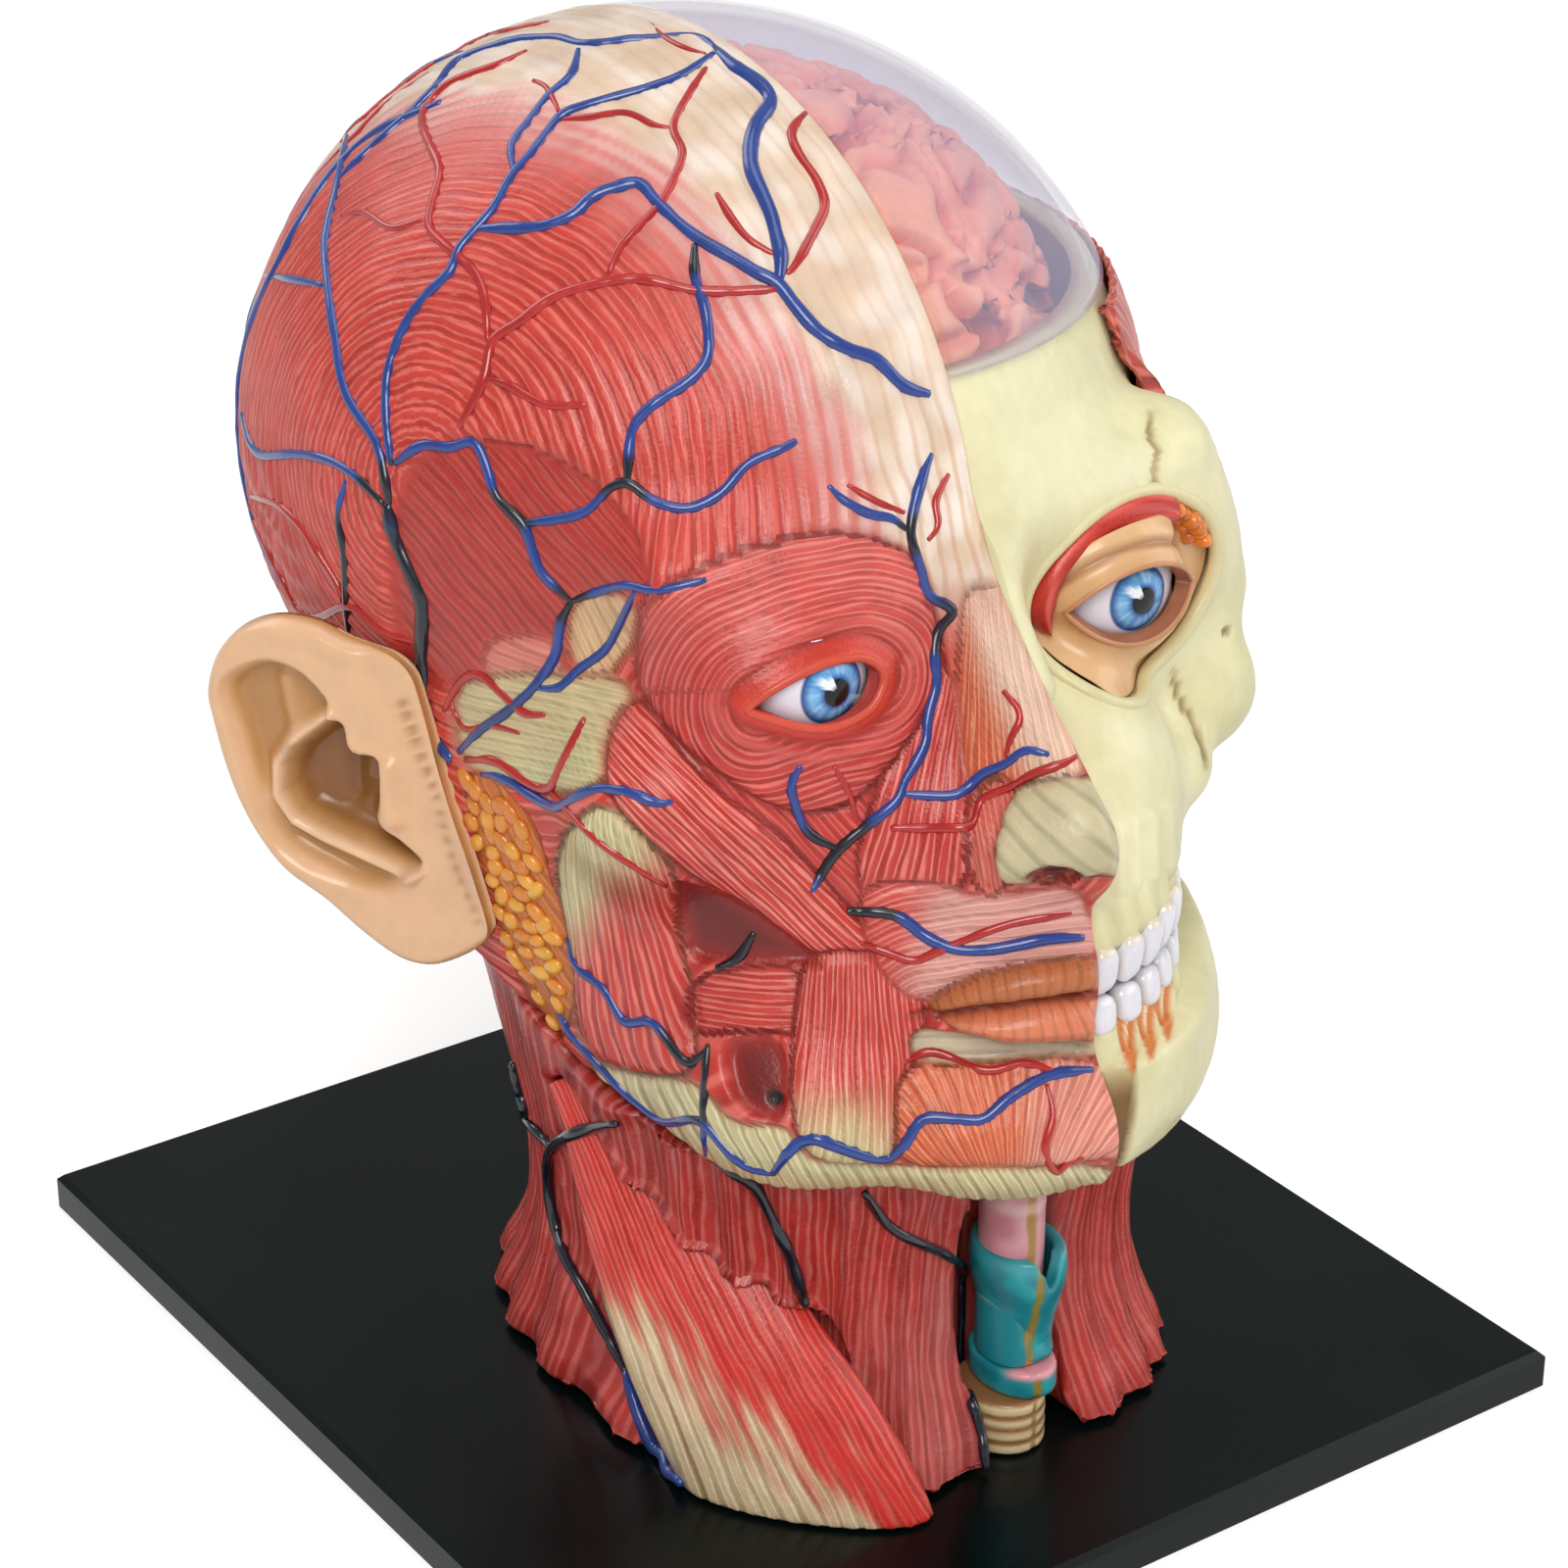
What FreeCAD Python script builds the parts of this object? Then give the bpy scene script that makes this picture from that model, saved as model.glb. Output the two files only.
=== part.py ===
"""Take-apart anatomical head on a plate: muscles on the right half, skull and brain on the left."""
import FreeCAD, Part
import math
import os

V = FreeCAD.Vector
X_AXIS = V(1, 0, 0)
Y_AXIS = V(0, 1, 0)
Z_AXIS = V(0, 0, 1)
RIGHT = -1
LEFT = 1

# Frame: origin under the middle of the plate, +Z up, the face looks along -Y, the muscle half is at -X.
# Clearances and one overrun for all cuts
running_gap = 0.3
pin_gap = 0.15
overrun = 5.0

# Plate and the post that the neck stands on
plate_width = 120.0
plate_depth = 131.2
plate_thickness = 4.6
plate_bevel = 0.7
post_radius = 8.0
post_height = 26.0
post_y = -8.0
post_bevel = 1.5

# Cranium, an ellipsoid about this centre
head_half_width = 48.2
head_half_depth = 52.0
head_half_height = 45.6
head_centre_y = 16.6
head_centre_z = 103.4
shell_wall = 2.2
skull_inset = 1.0
skull_wall = 2.2
form_blend = 7.0

# Saw cut of the skull, and the floor that the brain stands on
cap_cut_z = 123.0
cap_wall = 1.5
floor_z = 81.5
floor_thickness = 3.0

# Lower border of the head: chin, angle of the jaw, root of the ear, nape
chin_bottom_z = 44.0
jaw_angle_y = -12.0
jaw_angle_z = 49.0
ear_root_y = 5.0
ear_root_z = 60.0
nape_y = 40.0
nape_z = 61.0

# Brain
brain_half_width = 39.0
brain_half_depth = 42.5
brain_top_z = 143.5
brain_front_z = 112.6
brain_back_z = 98.0
brain_low_z = 88.0
brain_fullness_share = 1.04
fissure_gap = 0.4

# Furrows between the main folds of the brain. They fan out from a line under its top, and each is a
# turn in degrees about that line and a lean
fold_width = 1.8
fold_depth = 2.2
fold_fan_drop = 10.0
cross_folds = [(-54, 0.22), (-33, -0.15), (-12, 0.28), (9, 0.12), (30, -0.20), (51, 0.20)]
long_folds = [(24, 0.10), (50, -0.12), (76, 0.10)]

# Cerebellum and brain stem
cerebellum_half_width = 27.0
cerebellum_half_depth = 13.0
cerebellum_half_height = 6.0
cerebellum_y = 38.0
stem_radius = 5.5
stem_y = 14.0

# Eyes
eye_radius = 9.0
eye_x = 19.4
eye_y = -29.4
eye_z = 97.2
lid_wall = 1.7
lid_slit_half_width = 8.6
lid_slit_half_height = 4.4
right_slit_half_width = 10.4
right_slit_half_height = 4.8
socket_wall = 1.8
socket_depth = 7.0
orbit_x = 18.2
orbit_z = 98.2
orbit_radius = 11.4
orbit_back_y = -20.0
orbit_wall = 1.8
muscle_ring_front_y = -33.4
muscle_ring_back_y = -25.5
muscle_ring_wall = 1.6
gland_first_angle = 25.0
gland_last_angle = 75.0

# Face of the skull
maxilla_bottom_z = 71.0
suture_gap = 0.15
suture_top_z = 109.0
suture_x = 25.0
suture_foot_x = 31.0
suture_foot_z = 78.0
zygoma_back_y = -14.0
temporalis_thickness = 2.6
temporalis_y = 6.0
temporalis_z = 105.0
temporalis_half_depth = 33.0
temporalis_half_height = 20.0
temporalis_front_y = -22.0

# Teeth
tooth_count = 7
tooth_width = 4.9
tooth_depth = 4.2
upper_tooth_height = 7.0
lower_tooth_height = 6.2
tooth_bevel = 0.8
tooth_bed_share = 0.7
bite_gap = 0.4
tooth_spacing = 5.3
arch_half_width = 24.8
arch_half_depth = 23.4
arch_centre_y = -33.0

# Mandible
mandible_half_thickness = 4.6
mandible_half_height = 7.0
ramus_half_width = 8.0
ramus_top_z = 78.0
ramus_half_thickness = 3.0
ramus_width_shares = (1.0, 0.9, 0.6)
ramus_thickness_shares = (1.2, 1.0, 0.8)

# Tongue and the wall of the nose
tongue_half_width = 11.0
tongue_half_height = 5.0
tongue_tip_y = -44.0
septum_thickness = 2.0
septum_front_y = -42.0
septum_bottom_z = 68.0
septum_rounding = 0.65
septum_rib_radius = 1.6

# Spine inside the neck and head
spine_radius = 9.0
spine_y = 12.0
spine_waist_share = 0.9
spine_disc_height = 5.0
spine_socket_depth = 6.0

# Pins that hold the muscle shell
shell_pin_radius = 1.5
shell_pin_length = 8.0
shell_boss_radius = 3.2
shell_boss_length = 6.0

# Neck
neck_right_half_width = 36.5
neck_left_half_width = 33.0
neck_front_half_depth = 39.0
neck_back_half_depth = 44.0
neck_y = -11.0
neck_front_squareness = 3.0
neck_back_squareness = 2.2
neck_level_shares = [(0.0, 1.0, 1.0), (0.45, 0.90, 0.82), (0.80, 1.0, 0.93), (1.0, 1.03, 0.95)]
flute_depth = 1.1
flute_count = 13
windpipe_bed_radius = 6.4
windpipe_mouth_share = 0.9
windpipe_x = 1.0
windpipe_y = -42.0
sternomastoid_half_width = 12.5
sternomastoid_half_thickness = 5.0
sternomastoid_wide_lean = 1.2

# Windpipe and voice box, stacked from the plate up
trachea_radius = 5.6
trachea_top_z = 11.2
trachea_ring_count = 4
trachea_bead_bevel_share = 0.2
cricoid_radius = 6.0
cricoid_top_z = 14.6
cricoid_bevel = 0.45
thyroid_half_width = 5.6
thyroid_half_depth = 5.6
thyroid_bottom_z = 15.2
thyroid_top_z = 28.6
thyroid_notch_depth = 4.0
thyroid_level_shares = [(-1.0, 0.86), (0.0, 0.96), (0.6, 1.10), (1.0, 1.04)]
membrane_radius = 4.2
membrane_top_z = 38.0

# Ear
ear_thickness = 4.5
ear_x = -45.4
ear_y = 0.0
ear_z = 77.0
ear_reach = 7.0
ear_half_height = 19.0
ear_half_width = 16.0
ear_flare_angle = 34.0
ear_bowl_depth = 3.2
ear_bowl_offset_share = 0.05
ear_bowl_width_share = 0.62
ear_bowl_height_share = 0.66
ear_peg_radius = 2.6
ear_peg_length = 7.0

# Forms of the face, in shares of the cranium's half sizes and from its centre.
# Ellipsoid: centre shares, radius shares.  Rod: first end, last end, and its two radii as width shares.
common_ellipsoid_shares = [
    ((0.0, 0.0, 0.0), (1.0, 1.0, 1.0)),
]
muscle_ellipsoid_shares = [
    ((0.0, -0.46, -0.47), (0.86, 0.71, 0.62)),
    ((0.0, -0.64, -0.95), (0.76, 0.64, 0.85)),
    ((0.0, -1.20, -1.17), (0.42, 0.29, 0.24)),
    ((0.48, -1.00, -1.12), (0.24, 0.25, 0.22)),
    ((0.0, -1.10, -0.80), (0.30, 0.31, 0.27)),
    ((0.15, -1.22, -0.50), (0.08, 0.10, 0.09)),
    ((0.62, -0.82, -0.42), (0.24, 0.18, 0.20)),
    ((0.40, -0.90, -0.14), (0.24, 0.165, 0.18)),
    ((0.62, -0.30, -0.70), (0.24, 0.36, 0.50)),
    ((0.0, 0.00, -0.72), (0.70, 0.66, 0.55)),
]
muscle_rod_shares = [
    ((0.0, -0.96, 0.02), (0.0, -1.35, -0.47), 0.06, 0.115),
    ((0.14, -0.93, 0.09), (0.62, -0.79, 0.07), 0.07, 0.09),
]
skull_ellipsoid_shares = [
    ((0.22, -1.00, -0.58), (0.30, 0.26, 0.34)),
    ((0.0, -0.96, -0.78), (0.48, 0.42, 0.36)),
    ((0.69, -0.90, -0.50), (0.18, 0.14, 0.18)),
    ((0.0, -0.42, -0.45), (0.70, 0.62, 0.50)),
    ((0.0, -0.16, -0.70), (0.72, 0.82, 0.62)),
]
skull_rod_shares = [
    ((0.10, -0.96, 0.10), (0.60, -0.82, 0.09), 0.07, 0.07),
    ((0.64, -0.86, 0.10), (0.72, -0.86, -0.32), 0.09, 0.09),
    ((0.0, -1.02, 0.02), (0.0, -1.16, -0.20), 0.07, 0.08),
    ((0.72, -0.80, -0.42), (0.88, -0.30, -0.38), 0.09, 0.07),
]

# Route of the mandible's body and ramus: width, depth and height shares from the cranium's centre
mandible_route_shares = [
    (0.00, -1.36, -1.15), (0.22, -1.33, -1.15), (0.44, -1.17, -1.14), (0.60, -0.93, -1.10),
    (0.70, -0.66, -1.05),
]
# Route of the right sternomastoid, top to bottom, with its girth as a share of the widest
sternomastoid_route_shares = [
    (-0.62, -0.53, -1.25, 0.55), (-0.62, -0.68, -1.48, 0.66), (-0.595, -0.92, -1.83, 0.88),
    (-0.50, -1.11, -2.17, 1.00), (-0.47, -1.15, -2.30, 1.00),
]
# Outline of the ear in its own plane, as shares of its half width and half height
ear_outline_shares = [
    (0.00, 0.96), (0.40, 0.95), (0.80, 0.73), (1.00, 0.41), (1.00, 0.10), (0.78, -0.28),
    (0.43, -0.54), (0.09, -0.86), (-0.26, -1.00), (-0.54, -1.00), (-0.91, -0.71), (-0.98, -0.40),
    (-0.86, 0.01), (-0.70, 0.34), (-0.62, 0.68), (-0.36, 0.87),
]
# Pins of the muscle shell: depth and height shares of the cranium from its centre
shell_pin_shares = [(-0.915, 0.12), (0.68, -0.62), (-1.24, -0.60)]

# Two hollows between the cheek muscles, as depth and height shares of their outlines
cheek_hollow_depth = 1.2
cheek_hollow_shares = [
    [(-0.963, -0.555), (-1.010, -0.614), (-1.127, -0.752), (-1.104, -0.765), (-0.915, -0.805), (-0.887, -0.704)],
    [(-0.992, -0.910), (-1.108, -0.882), (-1.192, -1.053), (-1.140, -1.072), (-1.060, -1.033)],
]

slice_count = 24
slice_points = 25
front_density = 1.35
crown_depth = 0.8


def smooth_min(a, b, blend):
    """Smaller of two distances, rounded where they are near each other."""
    near = max(blend - abs(a - b), 0.0) / blend
    return min(a, b) - near * near * blend / 4


def from_head(shares):
    """Point given in shares of the cranium, as millimetres in the part's frame."""
    return (shares[0] * head_half_width,
            head_centre_y + shares[1] * head_half_depth,
            head_centre_z + shares[2] * head_half_height)


def ellipsoid_distance(p, centre, radii):
    """Distance of a point from an ellipsoid, good near its surface."""
    near = math.sqrt(sum(((p[i] - centre[i]) / radii[i]) ** 2 for i in range(3)))
    slope = math.sqrt(sum(((p[i] - centre[i]) / radii[i] ** 2) ** 2 for i in range(3)))
    if slope == 0:
        return -min(radii)
    return near * (near - 1) / slope


def rod_distance(p, first, last, first_radius, last_radius):
    """Distance of a point from a rod with round ends whose radius changes along it."""
    along = [last[i] - first[i] for i in range(3)]
    away = [p[i] - first[i] for i in range(3)]
    length_squared = sum(a * a for a in along)
    share = max(0.0, min(1.0, sum(along[i] * away[i] for i in range(3)) / length_squared))
    gap = math.sqrt(sum((away[i] - share * along[i]) ** 2 for i in range(3)))
    return gap - (first_radius + share * (last_radius - first_radius))


def make_form(ellipsoids, rods):
    """Distance function of one side of the head, the same on both sides of the middle."""
    size = (head_half_width, head_half_depth, head_half_height)
    solids = []
    for centre, radii in ellipsoids:
        solids.append((from_head(centre), [radii[i] * size[i] for i in range(3)]))
    bars = []
    for first, last, first_share, last_share in rods:
        bars.append((from_head(first), from_head(last),
                     first_share * head_half_width, last_share * head_half_width))

    def form(p):
        q = (abs(p[0]), p[1], p[2])
        distance = ellipsoid_distance(q, *solids[0])
        for solid in solids[1:]:
            distance = smooth_min(distance, ellipsoid_distance(q, *solid), form_blend)
        for bar in bars:
            distance = smooth_min(distance, rod_distance(q, *bar), form_blend)
        return distance
    return form


muscle_form = make_form(common_ellipsoid_shares + muscle_ellipsoid_shares, muscle_rod_shares)
skull_form = make_form(common_ellipsoid_shares + skull_ellipsoid_shares, skull_rod_shares)
cranium_form = make_form(common_ellipsoid_shares, [])


def axis_y(z):
    """Depth of the point that each level's outline turns about."""
    high = min(max((z - chin_bottom_z) / (head_centre_z - chin_bottom_z), 0.0), 1.0)
    low_y = (jaw_angle_y + eye_y) / 2
    return low_y + (head_centre_y - low_y) * high


def surface_point(form, side, z, angle, level):
    """Point where a ray from the axis leaves the form, grown by level."""
    middle = axis_y(z)
    across = side * math.sin(angle)
    ahead = -math.cos(angle)
    inner = 0.0
    outer = head_half_depth + head_half_width
    while outer - inner > pin_gap / 50:
        radius = (inner + outer) / 2
        if form((across * radius, middle + ahead * radius, z)) < level:
            inner = radius
        else:
            outer = radius
    return V(across * inner, middle + ahead * inner, z)


def seam_curve(points):
    """Smooth edge through a row of points that starts and ends on the middle plane."""
    points[0].x = 0
    points[-1].x = 0
    curve = Part.BSplineCurve()
    curve.interpolate(Points=points, Parameters=[float(step) for step in range(len(points))])
    return curve.toShape()


def half_points(form, side, z, level):
    """Points round one half of the form at a height, closer together at the front."""
    points = []
    for step in range(slice_points):
        angle = math.pi * (step / (slice_points - 1)) ** front_density
        points.append(surface_point(form, side, z, angle, level))
    return points


def levels_between(bottom, top):
    """Heights of the slices of a form, closer together near its top."""
    return [bottom + (top - bottom) * math.sin(step / (slice_count - 1) * math.pi / 2)
            for step in range(slice_count)]


def half_solid(form, side, level, bottom, top=None):
    """Solid of one half of the form, grown by level, from a height up to its top."""
    crown = head_centre_z + head_half_height + level - pin_gap
    wires = []
    for z in levels_between(bottom, top or crown):
        points = half_points(form, side, z, level)
        wires.append(Part.Wire([seam_curve(points), Part.makeLine(points[-1], points[0])]))
    return Part.makeLoft(wires, True, True)


def half_wall(form, side, level, wall, bottom, top=None):
    """Wall of one half of the form, open at the bottom and at the seam, closed by a crown."""
    crown = head_centre_z + head_half_height + level - wall - crown_depth
    wires = []
    for z in levels_between(bottom, top or crown):
        outer = half_points(form, side, z, level)
        inner = half_points(form, side, z, level - wall)[::-1]
        wires.append(Part.Wire([seam_curve(outer), Part.makeLine(outer[-1], inner[0]),
                                seam_curve(inner), Part.makeLine(inner[-1], outer[0])]))
    shell = Part.makeLoft(wires, True, True)
    if top is None:
        shell = shell.fuse(half_solid(form, side, level, crown))
    return shell


def box_between(low, high):
    """Box from its lowest corner to its highest."""
    return Part.makeBox(high[0] - low[0], high[1] - low[1], high[2] - low[2], V(*low))


def cylinder(radius, start, end):
    """Round bar from start to end."""
    along = end - start
    return Part.makeCylinder(radius, along.Length, start, along)


def ellipsoid(centre, radii):
    """Ellipsoid from a unit ball, stretched to its three radii."""
    ball = Part.makeSphere(1)
    stretch = FreeCAD.Matrix()
    stretch.scale(*radii)
    body = ball.transformGeometry(stretch)
    body.translate(V(*centre))
    return body


def below_head(gap=0.0):
    """Space under the head's lower border, as a prism across the whole width."""
    reach = head_half_depth + head_half_width
    outline = [
        (-reach, chin_bottom_z - gap), (-head_half_depth, chin_bottom_z - gap),
        (jaw_angle_y, jaw_angle_z - gap), (ear_root_y, ear_root_z - gap),
        (nape_y, nape_z - gap), (reach, nape_z - gap), (reach, -overrun), (-reach, -overrun),
    ]
    wire = Part.makePolygon([V(-reach, y, z) for y, z in outline + outline[:1]])
    return Part.Face(wire).extrude(V(2 * reach, 0, 0))


def slit(x, z, half_width, half_height):
    """Eye-shaped hole through the front: where two round bars along Y overlap."""
    radius = (half_width ** 2 + half_height ** 2) / (2 * half_height)
    start_y = -head_half_depth - head_half_width
    bars = []
    for way in (-1, 1):
        centre_z = z + way * (radius - half_height)
        bars.append(cylinder(radius, V(x, start_y, centre_z), V(x, eye_y, centre_z)))
    return bars[0].common(bars[1])


def make_base_plate():
    plate = box_between((-plate_width / 2, -plate_depth / 2, 0),
                        (plate_width / 2, plate_depth / 2, plate_thickness))
    rim = [edge for edge in plate.Edges if edge.BoundBox.ZMin > plate_thickness / 2]
    return plate.makeChamfer(plate_bevel, rim)


def make_stand_post():
    post = cylinder(post_radius, V(0, post_y, plate_thickness), V(0, post_y, plate_thickness + post_height))
    top = [edge for edge in post.Edges if edge.BoundBox.ZMin > plate_thickness + post_height / 2]
    return post.makeChamfer(post_bevel, top)


def neck_slice(side, z, width_share, depth_share):
    """Half outline of the neck: a squared oval with upright flutes."""
    half_width = (neck_right_half_width if side == RIGHT else neck_left_half_width) * width_share
    points = []
    steps = 4 * flute_count
    for step in range(steps + 1):
        angle = math.pi * step / steps
        ahead = math.cos(angle)
        squareness = neck_front_squareness if ahead > 0 else neck_back_squareness
        half_depth = (neck_front_half_depth if ahead > 0 else neck_back_half_depth) * depth_share
        across = abs(math.sin(angle)) ** (2 / squareness)
        ahead = math.copysign(abs(ahead) ** (2 / squareness), ahead)
        flute = flute_depth * (1 - abs(math.cos(flute_count * angle)))
        points.append(V(side * across * (half_width - flute), neck_y - ahead * (half_depth - flute), z))
    return Part.Wire([seam_curve(points), Part.makeLine(points[-1], points[0])])


def make_neck(side):
    """One half of the neck, bored for the post, the spine and the windpipe."""
    wires = []
    for height_share, width_share, depth_share in neck_level_shares:
        z = plate_thickness + (nape_z - plate_thickness) * height_share
        wires.append(neck_slice(side, z, width_share, depth_share))
    neck = Part.makeLoft(wires, True, False)
    reach = head_half_depth + head_half_width
    above = box_between((-reach, -reach, -overrun), (reach, reach, nape_z + overrun)).cut(below_head(running_gap))
    neck = neck.cut(above)
    neck = neck.cut(cylinder(post_radius + running_gap, V(0, post_y, 0),
                             V(0, post_y, plate_thickness + post_height + running_gap)))
    neck = neck.cut(cylinder(windpipe_bed_radius, V(windpipe_x, windpipe_y, 0),
                             V(windpipe_x, windpipe_y, nape_z)))
    half_mouth = windpipe_bed_radius * windpipe_mouth_share
    front = box_between((windpipe_x - half_mouth, -reach, 0), (windpipe_x + half_mouth, windpipe_y, nape_z))
    return neck.cut(front)


def oval_section(centre, along, wide, half_wide, half_thin):
    """Closed oval across a route, with its wide side along a given direction."""
    along = V(along).normalize()
    wide = (wide - along * wide.dot(along)).normalize()
    thin = along.cross(wide)
    points = []
    count = 16
    for step in range(count):
        angle = 2 * math.pi * step / count
        points.append(centre + wide * (half_wide * math.cos(angle)) + thin * (half_thin * math.sin(angle)))
    curve = Part.BSplineCurve()
    curve.interpolate(points, PeriodicFlag=True)
    return Part.Wire([curve.toShape()])


def oval_tube(points, wide, half_wides, half_thins):
    """Closed solid with an oval section along a route of points."""
    wires = []
    for i, point in enumerate(points):
        before = points[max(i - 1, 0)]
        after = points[min(i + 1, len(points) - 1)]
        wires.append(oval_section(point, after - before, wide, half_wides[i], half_thins[i]))
    return Part.makeLoft(wires, True, False)


def make_sternomastoid():
    route = [V(*from_head(row[:3])) for row in sternomastoid_route_shares]
    girth = [row[3] for row in sternomastoid_route_shares]
    band = oval_tube(route, V(1, -sternomastoid_wide_lean, 0), [sternomastoid_half_width * g for g in girth],
                     [sternomastoid_half_thickness * g for g in girth])
    reach = head_half_depth + head_half_width
    band = band.cut(box_between((-reach, -reach, -reach), (reach, reach, plate_thickness)))
    above = box_between((-reach, -reach, -overrun), (reach, reach, reach)).cut(below_head(running_gap))
    return band.cut(above)


def make_trachea():
    """Stack of rings with grooves between them."""
    height = trachea_top_z - plate_thickness
    pitch = height / trachea_ring_count
    pipe = None
    for ring in range(trachea_ring_count):
        low = plate_thickness + ring * pitch
        bead = cylinder(trachea_radius, V(windpipe_x, windpipe_y, low),
                        V(windpipe_x, windpipe_y, low + pitch))
        bead = bead.makeChamfer(pitch * trachea_bead_bevel_share, [e for e in bead.Edges if e.BoundBox.ZLength < pin_gap])
        pipe = bead if pipe is None else pipe.fuse(bead)
    return pipe.removeSplitter()


def make_cricoid():
    ring = cylinder(cricoid_radius, V(windpipe_x, windpipe_y, trachea_top_z),
                    V(windpipe_x, windpipe_y, cricoid_top_z))
    ring = ring.makeChamfer(cricoid_bevel, [e for e in ring.Edges if e.BoundBox.ZLength < pin_gap])
    return ring


def make_membrane():
    """Soft core of the voice box: it runs up through the thyroid cartilage to the tongue bone."""
    low = cylinder(membrane_radius, V(windpipe_x, windpipe_y, cricoid_top_z),
                   V(windpipe_x, windpipe_y, thyroid_top_z))
    return low.fuse(cylinder(membrane_radius, V(windpipe_x, windpipe_y, thyroid_top_z),
                             V(windpipe_x, windpipe_y, membrane_top_z))).removeSplitter()


def make_thyroid():
    """Shield-shaped cartilage round the soft core, with a notch in its top edge."""
    middle_z = (thyroid_bottom_z + thyroid_top_z) / 2
    half_height = (thyroid_top_z - thyroid_bottom_z) / 2
    sections = []
    for height_share, width_share in thyroid_level_shares:
        centre = V(windpipe_x, windpipe_y, middle_z + height_share * half_height)
        sections.append(oval_section(centre, Z_AXIS, X_AXIS, thyroid_half_width * width_share,
                                     thyroid_half_depth * width_share))
    shield = Part.makeLoft(sections, True, False)
    shield = shield.cut(cylinder(membrane_radius, V(windpipe_x, windpipe_y, 0),
                                 V(windpipe_x, windpipe_y, membrane_top_z)))
    notch_low = V(windpipe_x, 0, thyroid_top_z - thyroid_notch_depth)
    notch = Part.Face(Part.makePolygon([
        V(windpipe_x, windpipe_y - overrun * 2, notch_low.z),
        V(windpipe_x + thyroid_notch_depth, windpipe_y - overrun * 2, thyroid_top_z + overrun),
        V(windpipe_x - thyroid_notch_depth, windpipe_y - overrun * 2, thyroid_top_z + overrun),
        V(windpipe_x, windpipe_y - overrun * 2, notch_low.z)])).extrude(V(0, overrun * 2, 0))
    return shield.cut(notch)


def make_spine():
    """Column of waisted vertebrae from the neck's top to the floor of the skull."""
    bottom = ear_root_z - spine_socket_depth
    parts = None
    height = floor_z - bottom
    count = max(int(round(height / (spine_disc_height * 2))), 1)
    pitch = height / count
    for step in range(count):
        low = bottom + step * pitch
        block = cylinder(spine_radius * spine_waist_share, V(0, spine_y, low), V(0, spine_y, low + pitch))
        disc = cylinder(spine_radius, V(0, spine_y, low), V(0, spine_y, low + spine_disc_height))
        piece = block.fuse(disc)
        parts = piece if parts is None else parts.fuse(piece)
    return parts.removeSplitter()


def full_slice(form, z, level):
    """Closed outline of both halves of a form at a height."""
    wire_points = []
    steps = 2 * (slice_points - 1)
    for step in range(steps):
        angle = 2 * math.pi * step / steps
        wire_points.append(surface_point(form, 1, z, angle, level))
    curve = Part.BSplineCurve()
    curve.interpolate(wire_points, PeriodicFlag=True)
    return Part.Wire([curve.toShape()])


def make_skull_base():
    """Floor under the brain, inside both halves of the head."""
    level = -skull_inset - skull_wall - running_gap
    plate = Part.Face(full_slice(cranium_form, floor_z, level)).extrude(V(0, 0, floor_thickness))
    return plate


def make_septum():
    """Middle wall of the nose under the skull's floor, with its air passages as steps."""
    wall = box_between((-septum_thickness, septum_front_y, septum_bottom_z),
                       (0, spine_y - spine_radius, floor_z))
    wall = wall.makeFillet(septum_rounding, [e for e in wall.Edges if e.BoundBox.XLength > septum_thickness / 2])
    ridge_count = 3
    pitch = (floor_z - septum_bottom_z) / (ridge_count + 1)
    for ridge in range(ridge_count):
        z = septum_bottom_z + pitch * (ridge + 1)
        bar = cylinder(septum_rib_radius, V(-septum_thickness, septum_front_y + overrun, z),
                       V(-septum_thickness, -overrun, z))
        wall = wall.fuse(bar)
    return wall.removeSplitter()


def make_tongue():
    back_y = spine_y - spine_radius - pin_gap
    centre_y = (tongue_tip_y + back_y) / 2
    centre_z = (septum_bottom_z + jaw_angle_z) / 2
    body = ellipsoid((0, centre_y, centre_z), (tongue_half_width, (back_y - tongue_tip_y) / 2, tongue_half_height))
    root = cylinder(tongue_half_height, V(0, jaw_angle_y - overrun, jaw_angle_z - running_gap),
                    V(0, jaw_angle_y - overrun, centre_z))
    return body.fuse(root).cut(below_head())


def make_skull_half():
    """Left half of the skull below the saw cut, as a wall, with the cup of the eye socket."""
    bottom = nape_z - overrun
    skull = half_wall(skull_form, LEFT, -skull_inset, skull_wall, bottom, cap_cut_z)
    core = half_solid(skull_form, LEFT, -skull_inset - skull_wall / 2, bottom, cap_cut_z)
    cup = cylinder(orbit_radius + orbit_wall, V(orbit_x, -head_half_depth - head_half_width, orbit_z),
                   V(orbit_x, orbit_back_y + orbit_wall, orbit_z)).common(core)
    skull = skull.fuse(cup)
    for boss, hole in shell_bosses(LEFT):
        skull = skull.fuse(boss.common(core)).cut(hole)
    skull = skull.cut(cylinder(orbit_radius, V(orbit_x, -head_half_depth - head_half_width, orbit_z),
                               V(orbit_x, orbit_back_y, orbit_z)))
    reach = head_half_depth + head_half_width
    skull = skull.cut(box_between((-reach, -reach, 0), (reach, ear_root_y, maxilla_bottom_z)))
    return skull.cut(below_head())


def shell_bosses(side):
    """Boss and pin hole of each pin of the muscle shell, on one side of the seam."""
    pairs = []
    gap = pin_gap if side == RIGHT else 0
    for depth_share, height_share in shell_pin_shares:
        _, y, z = from_head((0, depth_share, height_share))
        boss = cylinder(shell_boss_radius, V(0, y, z), V(side * shell_boss_length, y, z))
        hole = cylinder(shell_pin_radius + gap, V(-side * overrun, y, z),
                        V(side * (shell_pin_length / 2 + gap), y, z))
        pairs.append((boss, hole))
    return pairs


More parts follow.
